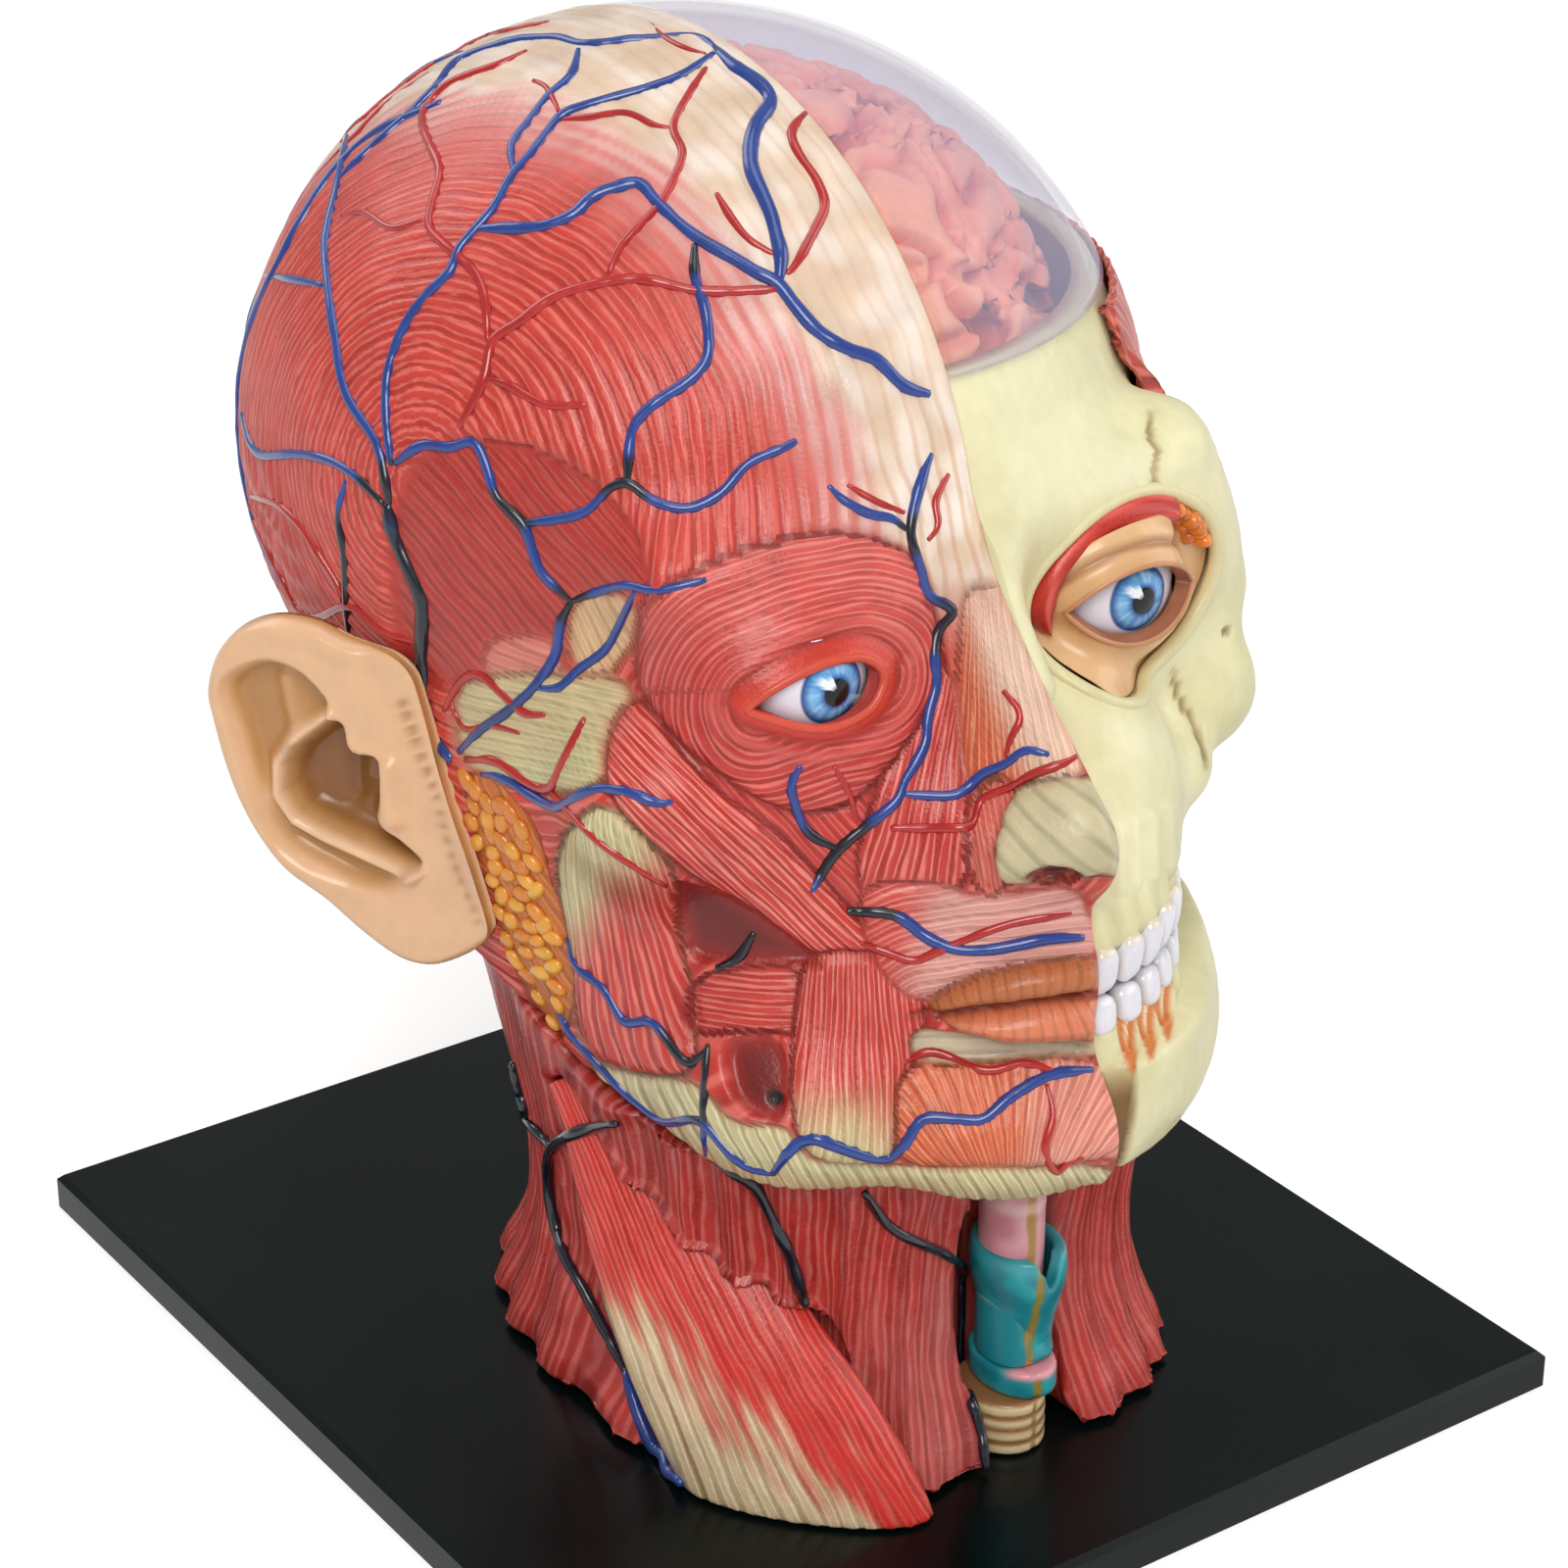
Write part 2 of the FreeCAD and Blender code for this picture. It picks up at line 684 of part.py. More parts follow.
def make_shell_pins():
    pins = []
    for depth_share, height_share in shell_pin_shares:
        _, y, z = from_head((0, depth_share, height_share))
        pins.append(cylinder(shell_pin_radius, V(-shell_pin_length / 2, y, z), V(shell_pin_length / 2, y, z)))
    return Part.makeCompound(pins)


def cheek_hollows():
    """Space of the hollows between the cheek muscles, down to their floor under the shell's surface."""
    floor = half_solid(muscle_form, RIGHT, -cheek_hollow_depth, chin_bottom_z, eye_z)
    reach = head_half_depth + head_half_width
    hollows = []
    for shares in cheek_hollow_shares:
        corners = [from_head((0, depth_share, height_share)) for depth_share, height_share in shares]
        wire = Part.makePolygon([V(-reach, y, z) for _, y, z in corners + corners[:1]])
        hollows.append(Part.Face(wire).extrude(V(reach, 0, 0)).cut(floor))
    return hollows


def make_muscle_shell():
    """Right half of the head as a wall, with the eye socket, the pin bosses and the ear's hole."""
    bottom = chin_bottom_z - overrun
    shell = half_wall(muscle_form, RIGHT, 0, shell_wall, bottom)
    core = half_solid(muscle_form, RIGHT, -shell_wall / 2, bottom)
    eye = V(-eye_x, eye_y, eye_z)
    cup_radius = eye_radius + running_gap + socket_wall
    cup = cylinder(cup_radius, V(-eye_x, -head_half_depth - head_half_width, eye_z),
                   V(-eye_x, eye_y + socket_depth, eye_z)).common(core)
    shell = shell.fuse(cup)
    for boss, hole in shell_bosses(RIGHT):
        shell = shell.fuse(boss.common(core)).cut(hole)
    shell = shell.cut(Part.makeSphere(eye_radius + running_gap, eye))
    shell = shell.cut(cylinder(eye_radius + running_gap, eye, eye + V(0, socket_depth + overrun, 0)))
    shell = shell.cut(slit(-eye_x, eye_z, right_slit_half_width, right_slit_half_height))
    shell = shell.cut(below_head())
    for hollow in cheek_hollows():
        shell = shell.cut(hollow)
    peg_y = ear_y + ear_reach / 2
    peg = cylinder(ear_peg_radius + pin_gap, V(ear_x - 2 * overrun, peg_y, ear_z),
                   V(ear_x + ear_peg_length + overrun, peg_y, ear_z))
    return shell.cut(peg)


def make_ear():
    """Ear as a thick leaf with a bowl, flared away from the head, and the peg it plugs in with."""
    points = []
    for across, up in ear_outline_shares:
        points.append(V(0, ear_reach + across * ear_half_width, up * ear_half_height))
    curve = Part.BSplineCurve()
    curve.interpolate(points, PeriodicFlag=True)
    leaf = Part.Face(Part.Wire([curve.toShape()])).extrude(V(ear_thickness, 0, 0))
    bowl = ellipsoid((0, ear_reach + ear_half_width * ear_bowl_offset_share,
                      -ear_half_height * ear_bowl_offset_share),
                     (ear_bowl_depth, ear_half_width * ear_bowl_width_share, ear_half_height * ear_bowl_height_share))
    leaf = leaf.cut(bowl)
    leaf.rotate(V(0, 0, 0), Z_AXIS, ear_flare_angle)
    leaf.translate(V(ear_x, ear_y, ear_z))
    clear = half_solid(muscle_form, RIGHT, running_gap, ear_root_z - 2 * overrun, head_centre_z + overrun)
    leaf = leaf.cut(clear)
    leaf = max(leaf.Solids, key=lambda solid: solid.Volume)
    peg_y = ear_y + ear_reach / 2
    peg = cylinder(ear_peg_radius, V(ear_x - ear_thickness / 2, peg_y, ear_z),
                   V(ear_x + ear_peg_length, peg_y, ear_z))
    return leaf.fuse(peg)


def brain_space():
    """Space above the brain's underside: high over the eyes, low behind them."""
    reach = head_half_depth + head_half_width
    outline = [
        (-reach, brain_front_z), (eye_y + 2 * eye_radius - overrun, brain_front_z),
        (spine_y - 2 * spine_radius, brain_low_z), (spine_y + spine_radius, brain_low_z),
        (cerebellum_y - cerebellum_half_depth, brain_back_z), (reach, brain_back_z),
        (reach, reach * 2), (-reach, reach * 2),
    ]
    wire = Part.makePolygon([V(-reach, y, z) for y, z in outline + outline[:1]])
    return Part.Face(wire).extrude(V(2 * reach, 0, 0))


def brain_furrows(side, centre, radii):
    """Furrows between the main folds, all cut to the same depth under the brain's surface."""
    core = ellipsoid(centre, [radius - fold_depth for radius in radii])
    reach = head_half_depth + head_half_width
    fan_z = centre[2] - fold_fan_drop
    above = box_between((-reach, -reach, fan_z), (reach, reach, 2 * reach))
    directions = []
    for degrees, lean in cross_folds:
        turn = math.radians(degrees)
        directions.append(V(side * lean, math.cos(turn), -math.sin(turn)))
    for degrees, lean in long_folds:
        turn = math.radians(degrees)
        directions.append(V(side * math.cos(turn), lean, -math.sin(turn)))
    furrows = []
    for direction in directions:
        slab = box_between((-reach, -reach, -fold_width / 2), (reach, reach, fold_width / 2))
        slab.Placement = FreeCAD.Placement(V(0, centre[1], fan_z), FreeCAD.Rotation(Z_AXIS, direction))
        furrows.append(slab.common(above).cut(core))
    return furrows


def make_brain_half(side):
    """One half of the brain, with its main furrows, between its underside and the fissure."""
    centre = (0, head_centre_y, (brain_top_z + brain_low_z) / 2)
    half_height = (brain_top_z - brain_low_z) / 2 * brain_fullness_share
    radii = (brain_half_width, brain_half_depth, half_height)
    brain = ellipsoid(centre, radii).common(brain_space())
    for furrow in brain_furrows(side, centre, radii):
        brain = brain.cut(furrow)
    reach = head_half_depth + head_half_width
    low_x = fissure_gap / 2 if side == LEFT else -reach
    high_x = reach if side == LEFT else -fissure_gap / 2
    return brain.common(box_between((low_x, -reach, 0), (high_x, reach, 2 * reach)))


def make_cerebellum():
    """Flat ellipsoid behind the stem, bored for it."""
    bottom = floor_z + floor_thickness
    body = ellipsoid((0, cerebellum_y, bottom + cerebellum_half_height),
                     (cerebellum_half_width, cerebellum_half_depth, cerebellum_half_height))
    stem = cylinder(stem_radius + running_gap, V(0, stem_y, 0), V(0, stem_y, cap_cut_z))
    return body.cut(stem)


def make_brain_stem():
    bottom = floor_z + floor_thickness
    top = brain_low_z - running_gap
    return cylinder(stem_radius, V(0, stem_y, bottom), V(0, stem_y, top))


def make_cap():
    """Clear dome over the left half of the brain."""
    return half_wall(cranium_form, LEFT, 0, cap_wall, cap_cut_z)


def split_zygoma(skull):
    """Cut the cheek bone out of the skull along its two seams."""
    reach = head_half_depth + head_half_width

    def wedge(gap):
        outline = [
            (suture_x + gap, suture_top_z + overrun), (suture_x + gap, suture_top_z - overrun),
            (orbit_x + orbit_radius + orbit_wall * 2 + gap, orbit_z), (suture_x + gap, suture_top_z - 4 * overrun),
            (suture_foot_x + gap, suture_foot_z), (suture_foot_x + gap, maxilla_bottom_z - overrun),
            (reach, maxilla_bottom_z - overrun), (reach, suture_top_z + overrun),
        ]
        wire = Part.makePolygon([V(x, -reach, z) for x, z in outline + outline[:1]])
        prism = Part.Face(wire).extrude(V(0, reach + zygoma_back_y - gap, 0))
        top = box_between((-reach, -reach, suture_top_z - gap), (reach, reach, reach * 2))
        return prism.cut(top)
    return skull.cut(wedge(0)), skull.common(wedge(suture_gap))


def make_temporalis():
    """Fan-shaped muscle lying on the side of the skull behind the eye socket."""
    low = temporalis_z - temporalis_half_height
    high = cap_cut_z - pin_gap
    sheet = half_wall(skull_form, LEFT, temporalis_thickness - skull_inset, temporalis_thickness - pin_gap,
                      low, high)
    fan = ellipsoid((head_half_width, temporalis_y, temporalis_z),
                    (head_half_width, temporalis_half_depth, temporalis_half_height * 2))
    front = box_between((0, temporalis_front_y, low), (head_half_width * 2, head_half_depth, high))
    muscle = sheet.common(fan).common(front)
    return max(muscle.Solids, key=lambda solid: solid.Volume)


def make_teeth(low, high):
    """Row of teeth along the dental arch of the left side."""
    teeth = []
    for index in range(tooth_count):
        share = (index + 0.5) * tooth_spacing
        angle = share / ((arch_half_width + arch_half_depth) / 2)
        x = arch_half_width * math.sin(angle)
        y = arch_centre_y - arch_half_depth * math.cos(angle)
        turn = math.degrees(math.atan2(arch_half_depth * math.sin(angle), arch_half_width * math.cos(angle)))
        tooth = box_between((-tooth_width / 2, -tooth_depth / 2, low), (tooth_width / 2, tooth_depth / 2, high))
        tooth = tooth.makeChamfer(tooth_bevel, [e for e in tooth.Edges if e.BoundBox.ZLength > tooth_depth])
        tooth.rotate(V(0, 0, 0), Z_AXIS, turn)
        tooth.translate(V(x, y, 0))
        teeth.append(tooth)
    return Part.makeCompound(teeth)


def lower_tooth_bottom():
    return maxilla_bottom_z - upper_tooth_height - bite_gap - lower_tooth_height


def make_mandible():
    """Left half of the lower jaw: the curved body and the ramus that rises behind it."""
    route = [V(*from_head(row)) for row in mandible_route_shares]
    count = len(route)
    body = oval_tube(route, Z_AXIS, [mandible_half_height] * count, [mandible_half_thickness] * count)
    foot = route[-1]
    top = V(foot.x + ramus_half_thickness, foot.y + ramus_half_width, ramus_top_z)
    middle = (foot + top) * 0.5 + V(ramus_half_thickness / 2, ramus_half_width / 2, 0)
    ramus = oval_tube([foot - V(0, 0, mandible_half_height / 2), middle, top], Y_AXIS,
                      [ramus_half_width * share for share in ramus_width_shares],
                      [ramus_half_thickness * share for share in ramus_thickness_shares])
    jaw = body.fuse(ramus)
    ridge = []
    for index in range(tooth_count):
        angle = (index + 0.5) * tooth_spacing / ((arch_half_width + arch_half_depth) / 2)
        ridge.append(V(arch_half_width * math.sin(angle), arch_centre_y - arch_half_depth * math.cos(angle),
                       lower_tooth_bottom() - tooth_depth))
    bed = oval_tube(ridge, Z_AXIS, [tooth_depth + overrun] * tooth_count, [tooth_depth * tooth_bed_share] * tooth_count)
    jaw = jaw.fuse(bed)
    reach = head_half_depth + head_half_width
    jaw = jaw.cut(box_between((-reach, -reach, 0), (0, reach, reach * 2)))
    jaw = jaw.cut(box_between((-reach, -reach, lower_tooth_bottom()), (reach, route[-1].y - ramus_half_width, reach)))
    return jaw.cut(below_head())


def make_eyelids():
    centre = V(eye_x, eye_y, eye_z)
    inner_radius = eye_radius + running_gap
    lids = Part.makeSphere(inner_radius + lid_wall, centre).cut(Part.makeSphere(inner_radius, centre))
    reach = head_half_depth + head_half_width
    lids = lids.cut(box_between((-reach, muscle_ring_front_y - pin_gap, 0), (reach, reach, 2 * reach)))
    lids = lids.common(cylinder(orbit_radius - running_gap, V(orbit_x, -reach, orbit_z), V(orbit_x, 0, orbit_z)))
    return lids.cut(slit(eye_x, eye_z, lid_slit_half_width, lid_slit_half_height))


def muscle_ring_sector(first, last):
    """Part of the ring round the left eyeball, between two angles seen from the front."""
    front = V(orbit_x, muscle_ring_front_y, orbit_z)
    back = V(orbit_x, muscle_ring_back_y, orbit_z)
    ring = cylinder(orbit_radius - running_gap, front, back)
    ring = ring.cut(cylinder(orbit_radius - running_gap - muscle_ring_wall, front - Y_AXIS * overrun,
                             back + Y_AXIS * overrun))
    ring = ring.cut(Part.makeSphere(eye_radius + running_gap, V(eye_x, eye_y, eye_z)))
    reach = 2 * orbit_radius
    steps = 12
    corners = [V(orbit_x, muscle_ring_front_y - overrun, orbit_z)]
    for step in range(steps + 1):
        angle = math.radians(first + (last - first) * step / steps)
        corners.append(V(orbit_x + reach * math.cos(angle), muscle_ring_front_y - overrun,
                         orbit_z + reach * math.sin(angle)))
    corners.append(corners[0])
    wedge = Part.Face(Part.makePolygon(corners)).extrude(V(0, 2 * overrun + eye_radius, 0))
    return ring.common(wedge)


def check_solid(name, shape):
    """Say what a node holds, and stop where it is not sound."""
    if not shape.isValid() or not shape.Solids:
        print(name, "is not valid")
    box = shape.BoundBox
    print("%-22s solids %d volume %9.1f  x %.1f %.1f  y %.1f %.1f  z %.1f %.1f" % (
        name, len(shape.Solids), shape.Volume, box.XMin, box.XMax, box.YMin, box.YMax, box.ZMin, box.ZMax))


def main():
    nodes = {}
    nodes["base_plate"] = make_base_plate()
    nodes["stand_post"] = make_stand_post()
    nodes["sternomastoid_right"] = make_sternomastoid()
    nodes["spine_column"] = make_spine()
    nodes["neck_right"] = make_neck(RIGHT).cut(nodes["sternomastoid_right"]).cut(nodes["spine_column"])
    nodes["neck_left"] = make_neck(LEFT).cut(nodes["spine_column"])
    nodes["trachea"] = make_trachea()
    nodes["cricoid_cartilage"] = make_cricoid()
    nodes["thyrohyoid_membrane"] = make_membrane()
    nodes["thyroid_cartilage"] = make_thyroid()
    nodes["skull_base"] = make_skull_base()
    nodes["nasal_septum"] = make_septum()
    nodes["tongue"] = make_tongue()
    skull, cheek = split_zygoma(make_skull_half())
    nodes["skull_left"] = skull
    nodes["zygoma_left"] = cheek
    nodes["temporalis_left"] = make_temporalis().cut(cheek)
    nodes["upper_teeth_left"] = make_teeth(maxilla_bottom_z - upper_tooth_height, maxilla_bottom_z)
    nodes["shell_pins"] = make_shell_pins()
    nodes["face_shell_right"] = make_muscle_shell()
    nodes["ear_right"] = make_ear()
    nodes["eyeball_right"] = Part.makeSphere(eye_radius, V(-eye_x, eye_y, eye_z))
    nodes["eyeball_left"] = Part.makeSphere(eye_radius, V(eye_x, eye_y, eye_z))
    nodes["eyelids_left"] = make_eyelids()
    nodes["lacrimal_gland_left"] = muscle_ring_sector(gland_first_angle, gland_last_angle)
    nodes["eye_muscle_left"] = muscle_ring_sector(gland_last_angle, gland_first_angle + 360)
    nodes["mandible_left"] = make_mandible()
    low = lower_tooth_bottom()
    nodes["lower_teeth_left"] = make_teeth(low, low + lower_tooth_height)
    nodes["brain_left"] = make_brain_half(LEFT)
    nodes["brain_right"] = make_brain_half(RIGHT)
    nodes["cerebellum"] = make_cerebellum()
    nodes["brain_stem"] = make_brain_stem()
    nodes["skull_cap"] = make_cap()
    os.makedirs("parts", exist_ok=True)
    for name, shape in nodes.items():
        check_solid(name, shape)
        shape.exportStep("parts/" + name + ".step")


main()
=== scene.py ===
"""Looks of the take-apart anatomical head on its plate, in millimetres until a mesh is made."""
import math

import bmesh
import bpy
import numpy as np
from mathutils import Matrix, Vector
from mathutils.bvhtree import BVHTree


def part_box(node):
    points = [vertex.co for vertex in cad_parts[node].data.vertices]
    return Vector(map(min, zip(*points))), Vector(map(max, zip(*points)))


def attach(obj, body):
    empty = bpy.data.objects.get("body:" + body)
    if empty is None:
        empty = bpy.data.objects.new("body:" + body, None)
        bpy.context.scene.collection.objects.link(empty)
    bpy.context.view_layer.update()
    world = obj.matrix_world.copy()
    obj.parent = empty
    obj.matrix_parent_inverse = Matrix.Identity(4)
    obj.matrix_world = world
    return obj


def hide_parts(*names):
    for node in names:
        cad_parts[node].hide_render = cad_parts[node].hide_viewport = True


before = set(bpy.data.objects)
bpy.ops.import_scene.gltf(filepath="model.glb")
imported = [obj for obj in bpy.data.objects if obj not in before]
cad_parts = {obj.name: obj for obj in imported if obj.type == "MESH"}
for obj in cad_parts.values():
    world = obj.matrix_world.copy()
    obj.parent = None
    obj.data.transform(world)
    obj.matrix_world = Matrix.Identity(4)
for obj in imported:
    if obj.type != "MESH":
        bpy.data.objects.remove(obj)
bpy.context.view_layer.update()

# Units and directions
metres_per_mm = 0.001
photo_width = 1600
sensor_width = 36.0

# Camera, as measured from the plate's corners in the photograph
camera_position = np.array([-236.63, -337.51, 268.69])
camera_target = np.array([78.8, 109.97, 0.0])
focal_pixels = 4253.6

# Main sizes, the same as in the part's source
head_centre_y = 16.6
head_centre_z = 103.4
head_half_width = 48.2
head_half_depth = 52.0
head_half_height = 45.6
shell_wall = 2.2
skull_inset = 1.0
skull_wall = 2.2
form_blend = 7.0
cap_cut_z = 123.0
chin_bottom_z = 44.0
cap_wall = 1.5

# Forms as shares of the cranium's half sizes from its centre, mirrored across the seam plane.
# An ellipsoid is its centre and its radii. A rod is its two ends and its two radii.
cranium_shares = [((0.0, 0.0, 0.0), (1.0, 1.0, 1.0))]
muscle_ellipsoid_shares = cranium_shares + [
    ((0.0, -0.46, -0.47), (0.86, 0.71, 0.62)),
    ((0.0, -0.64, -0.95), (0.76, 0.64, 0.85)),
    ((0.0, -1.20, -1.17), (0.42, 0.29, 0.24)),
    ((0.48, -1.00, -1.12), (0.24, 0.25, 0.22)),
    ((0.0, -1.10, -0.80), (0.30, 0.31, 0.27)),
    ((0.15, -1.22, -0.50), (0.08, 0.10, 0.09)),
    ((0.62, -0.82, -0.42), (0.24, 0.18, 0.20)),
    ((0.40, -0.90, -0.14), (0.24, 0.165, 0.18)),
    ((0.62, -0.30, -0.70), (0.24, 0.36, 0.50)),
    ((0.0, 0.00, -0.72), (0.70, 0.66, 0.55)),
]
muscle_rod_shares = [
    ((0.0, -0.96, 0.02), (0.0, -1.35, -0.47), 0.06, 0.115),
    ((0.14, -0.93, 0.09), (0.62, -0.79, 0.07), 0.07, 0.09),
]
skull_ellipsoid_shares = cranium_shares + [
    ((0.22, -1.00, -0.58), (0.30, 0.26, 0.34)),
    ((0.0, -0.96, -0.78), (0.48, 0.42, 0.36)),
    ((0.69, -0.90, -0.50), (0.18, 0.14, 0.18)),
    ((0.0, -0.42, -0.45), (0.70, 0.62, 0.50)),
    ((0.0, -0.16, -0.70), (0.72, 0.82, 0.62)),
    ((0.54, -1.02, -0.62), (0.09, 0.08, 0.08)),
    ((0.44, -0.80, -0.15), (0.38, 0.24, 0.35)),
]
skull_rod_shares = [
    ((0.10, -0.96, 0.10), (0.60, -0.82, 0.09), 0.07, 0.07),
    ((0.64, -0.86, 0.10), (0.78, -0.84, -0.26), 0.09, 0.095),
    ((0.0, -1.02, 0.02), (0.0, -1.16, -0.20), 0.07, 0.08),
    ((0.72, -0.80, -0.42), (0.88, -0.30, -0.38), 0.09, 0.07),
]
head_centre = np.array([0.0, head_centre_y, head_centre_z])
head_half_sizes = np.array([head_half_width, head_half_depth, head_half_height])


# Small helpers
def unit(v):
    length = np.linalg.norm(v, axis=-1, keepdims=True)
    return v / np.maximum(length, 1e-9)


def smooth_step(low, high, value):
    t = np.clip((value - low) / (high - low), 0.0, 1.0)
    return t * t * (3.0 - 2.0 * t)


def mix(first, second, share):
    return first + (second - first) * share


def paint_mix(first, second, share):
    return mix(np.asarray(first, float), np.asarray(second, float), np.asarray(share)[..., None])


def to_linear(colour):
    """A colour written as 0 to 255 display values, as the linear values that a shader takes."""
    c = np.clip(np.asarray(colour, float) / 255.0, 0.0, 1.0)
    return np.where(c <= 0.04045, c / 12.92, ((c + 0.055) / 1.055) ** 2.4)


lattice = np.random.RandomState(7)
lattice_order = lattice.permutation(256)
lattice_slopes = unit(lattice.normal(size=(256, 3)))


def noise(points, size, seed=0):
    """Smooth gradient noise of about -1 to 1, with features about as large as size."""
    p = np.asarray(points, float) / size + seed * 17.37
    cell = np.floor(p).astype(int)
    inside = p - cell
    fade = inside ** 3 * (inside * (inside * 6.0 - 15.0) + 10.0)
    total = np.zeros(p.shape[:-1])
    for corner in np.ndindex(2, 2, 2):
        corner = np.array(corner)
        index = cell + corner
        h = lattice_order[(index[..., 0] + seed) % 256]
        h = lattice_order[(h + index[..., 1]) % 256]
        h = lattice_order[(h + index[..., 2]) % 256]
        weight = np.prod(np.where(corner == 1, fade, 1.0 - fade), axis=-1)
        total += weight * np.sum(lattice_slopes[h] * (inside - corner), axis=-1)
    return total * 1.7


def spline(points, step):
    """Points about a step apart on a smooth curve through the given points."""
    p = np.asarray(points, float)
    ends = np.vstack([2 * p[0] - p[1], p, 2 * p[-1] - p[-2]])
    out = []
    for i in range(len(p) - 1):
        a, b, c, d = ends[i:i + 4]
        count = max(2, int(np.linalg.norm(c - b) / step))
        t = (np.arange(count) / count)[:, None]
        out.append(0.5 * (2 * b + (c - a) * t + (2 * a - 5 * b + 4 * c - d) * t ** 2
                          + (3 * b - a - 3 * c + d) * t ** 3))
    return np.vstack(out + [p[-1:]])


def polyline_distance(points, line):
    """Distance of 2-D points to a line of 2-D points, and the share of its length at the nearest place."""
    line = np.asarray(line, float)
    runs = np.linalg.norm(np.diff(line, axis=0), axis=1)
    starts = np.concatenate([[0.0], np.cumsum(runs)])
    best = np.full(points.shape[:-1], 1e9)
    share = np.zeros(points.shape[:-1])
    for i in range(len(line) - 1):
        along = line[i + 1] - line[i]
        t = np.clip(((points - line[i]) @ along) / max(along @ along, 1e-9), 0.0, 1.0)
        d = np.linalg.norm(points - line[i] - t[..., None] * along, axis=-1)
        nearer = d < best
        best = np.where(nearer, d, best)
        share = np.where(nearer, (starts[i] + t * runs[i]) / starts[-1], share)
    return best, share


def inside_distance(points, outline):
    """Signed distance of 2-D points to a closed outline, more than zero inside it."""
    ring = np.vstack([outline, outline[:1]]).astype(float)
    distance, _ = polyline_distance(points, ring)
    inside = np.zeros(points.shape[:-1], bool)
    for (x0, y0), (x1, y1) in zip(ring[:-1], ring[1:]):
        if y0 == y1:
            continue
        spans = (y0 > points[..., 1]) != (y1 > points[..., 1])
        crossing = x0 + (points[..., 1] - y0) / (y1 - y0) * (x1 - x0)
        inside ^= spans & (points[..., 0] < crossing)
    return np.where(inside, distance, -distance)


def rounded(outline, times=3):
    """Closed outline with its corners cut again and again, so that it runs smoothly."""
    p = np.asarray(outline, float)
    for _ in range(times):
        after = np.roll(p, -1, axis=0)
        p = np.stack([p * 0.75 + after * 0.25, p * 0.25 + after * 0.75], 1).reshape(-1, 2)
    return p


def outline_distance(points, outline, margin=45.0, times=3):
    """Signed distance to a rounded outline, worked out near it only."""
    ring = rounded(outline, times)
    near = np.all((points > ring.min(axis=0) - margin) & (points < ring.max(axis=0) + margin), axis=-1)
    distance = np.full(points.shape[:-1], -margin)
    distance[near] = np.maximum(inside_distance(points[near], ring), -margin)
    return distance


# The photograph's view
view_forward = unit(camera_target - camera_position)
view_right = unit(np.cross(view_forward, [0.0, 0.0, 1.0]))
view_up = np.cross(view_right, view_forward)


def to_photo(points):
    """Places in the photograph, in its pixels, of points in millimetres."""
    v = np.asarray(points, float) - camera_position
    depth = v @ view_forward
    across = photo_width / 2 + focal_pixels * (v @ view_right) / depth
    down = photo_width / 2 - focal_pixels * (v @ view_up) / depth
    return np.stack([across, down], -1)


def photo_ray(pixel):
    across = (pixel[0] - photo_width / 2) / focal_pixels
    down = (pixel[1] - photo_width / 2) / focal_pixels
    return unit(view_forward + view_right * across - view_up * down)


# Forms of the head
def smooth_min(a, b, blend):
    near = np.maximum(blend - np.abs(a - b), 0.0) / blend
    return np.minimum(a, b) - near * near * blend / 4.0


def make_form(ellipsoids, rods):
    def form(points):
        p = np.array(points, float)
        p[..., 0] = np.abs(p[..., 0])
        total = None
        for centre_shares, radius_shares in ellipsoids:
            radii = np.array(radius_shares) * head_half_sizes
            q = p - (head_centre + np.array(centre_shares) * head_half_sizes)
            n = np.linalg.norm(q / radii, axis=-1)
            s = np.linalg.norm(q / radii ** 2, axis=-1)
            d = n * (n - 1.0) / np.maximum(s, 1e-9)
            total = d if total is None else smooth_min(total, d, form_blend)
        for first, last, first_share, last_share in rods:
            a = head_centre + np.array(first) * head_half_sizes
            along = head_centre + np.array(last) * head_half_sizes - a
            t = np.clip((p - a) @ along / (along @ along), 0.0, 1.0)
            radius = mix(first_share, last_share, t) * head_half_width
            d = np.linalg.norm(p - a - t[..., None] * along, axis=-1) - radius
            total = smooth_min(total, d, form_blend)
        return total
    return form


muscle_form = make_form(muscle_ellipsoid_shares, muscle_rod_shares)
skull_form = make_form(skull_ellipsoid_shares, skull_rod_shares)
axis_low_y = -20.7


def axis_y(z):
    high = np.clip((z - chin_bottom_z) / (head_centre_z - chin_bottom_z), 0.0, 1.0)
    return mix(axis_low_y, head_centre_y, high)


def reach(form, origin, direction, level, far=90.0, steps=22):
    """Distance along each direction at which the form comes to the level."""
    low = np.zeros(direction.shape[:-1])
    high = np.full(direction.shape[:-1], far)
    for _ in range(steps):
        middle = (low + high) / 2
        outside = form(origin + direction * middle[..., None]) > level
        high = np.where(outside, middle, high)
        low = np.where(outside, low, middle)
    return (low + high) / 2


# Meshes
class Shape:
    """Points, faces, colours and stroke directions of one piece, gathered from its patches."""

    def __init__(self):
        self.points = []
        self.faces = []
        self.paint = []
        self.crest = []
        self.strokes = []
        self.count = 0

    def add(self, points, paint, skin=None):
        points = np.asarray(points, float).reshape(-1, 3)
        colours = np.broadcast_to(np.asarray(paint, float).reshape(-1, 3), points.shape)
        first = self.count
        self.points.append(points)
        self.paint.append(colours)
        self.crest.append(colours if skin is None else skin.crest.reshape(-1, 3))
        self.strokes.append(np.zeros(points.shape) if skin is None else skin.strokes.reshape(-1, 3))
        self.count += len(points)
        return first

    def join(self, faces):
        self.faces += [tuple(int(i) for i in face) for face in faces]


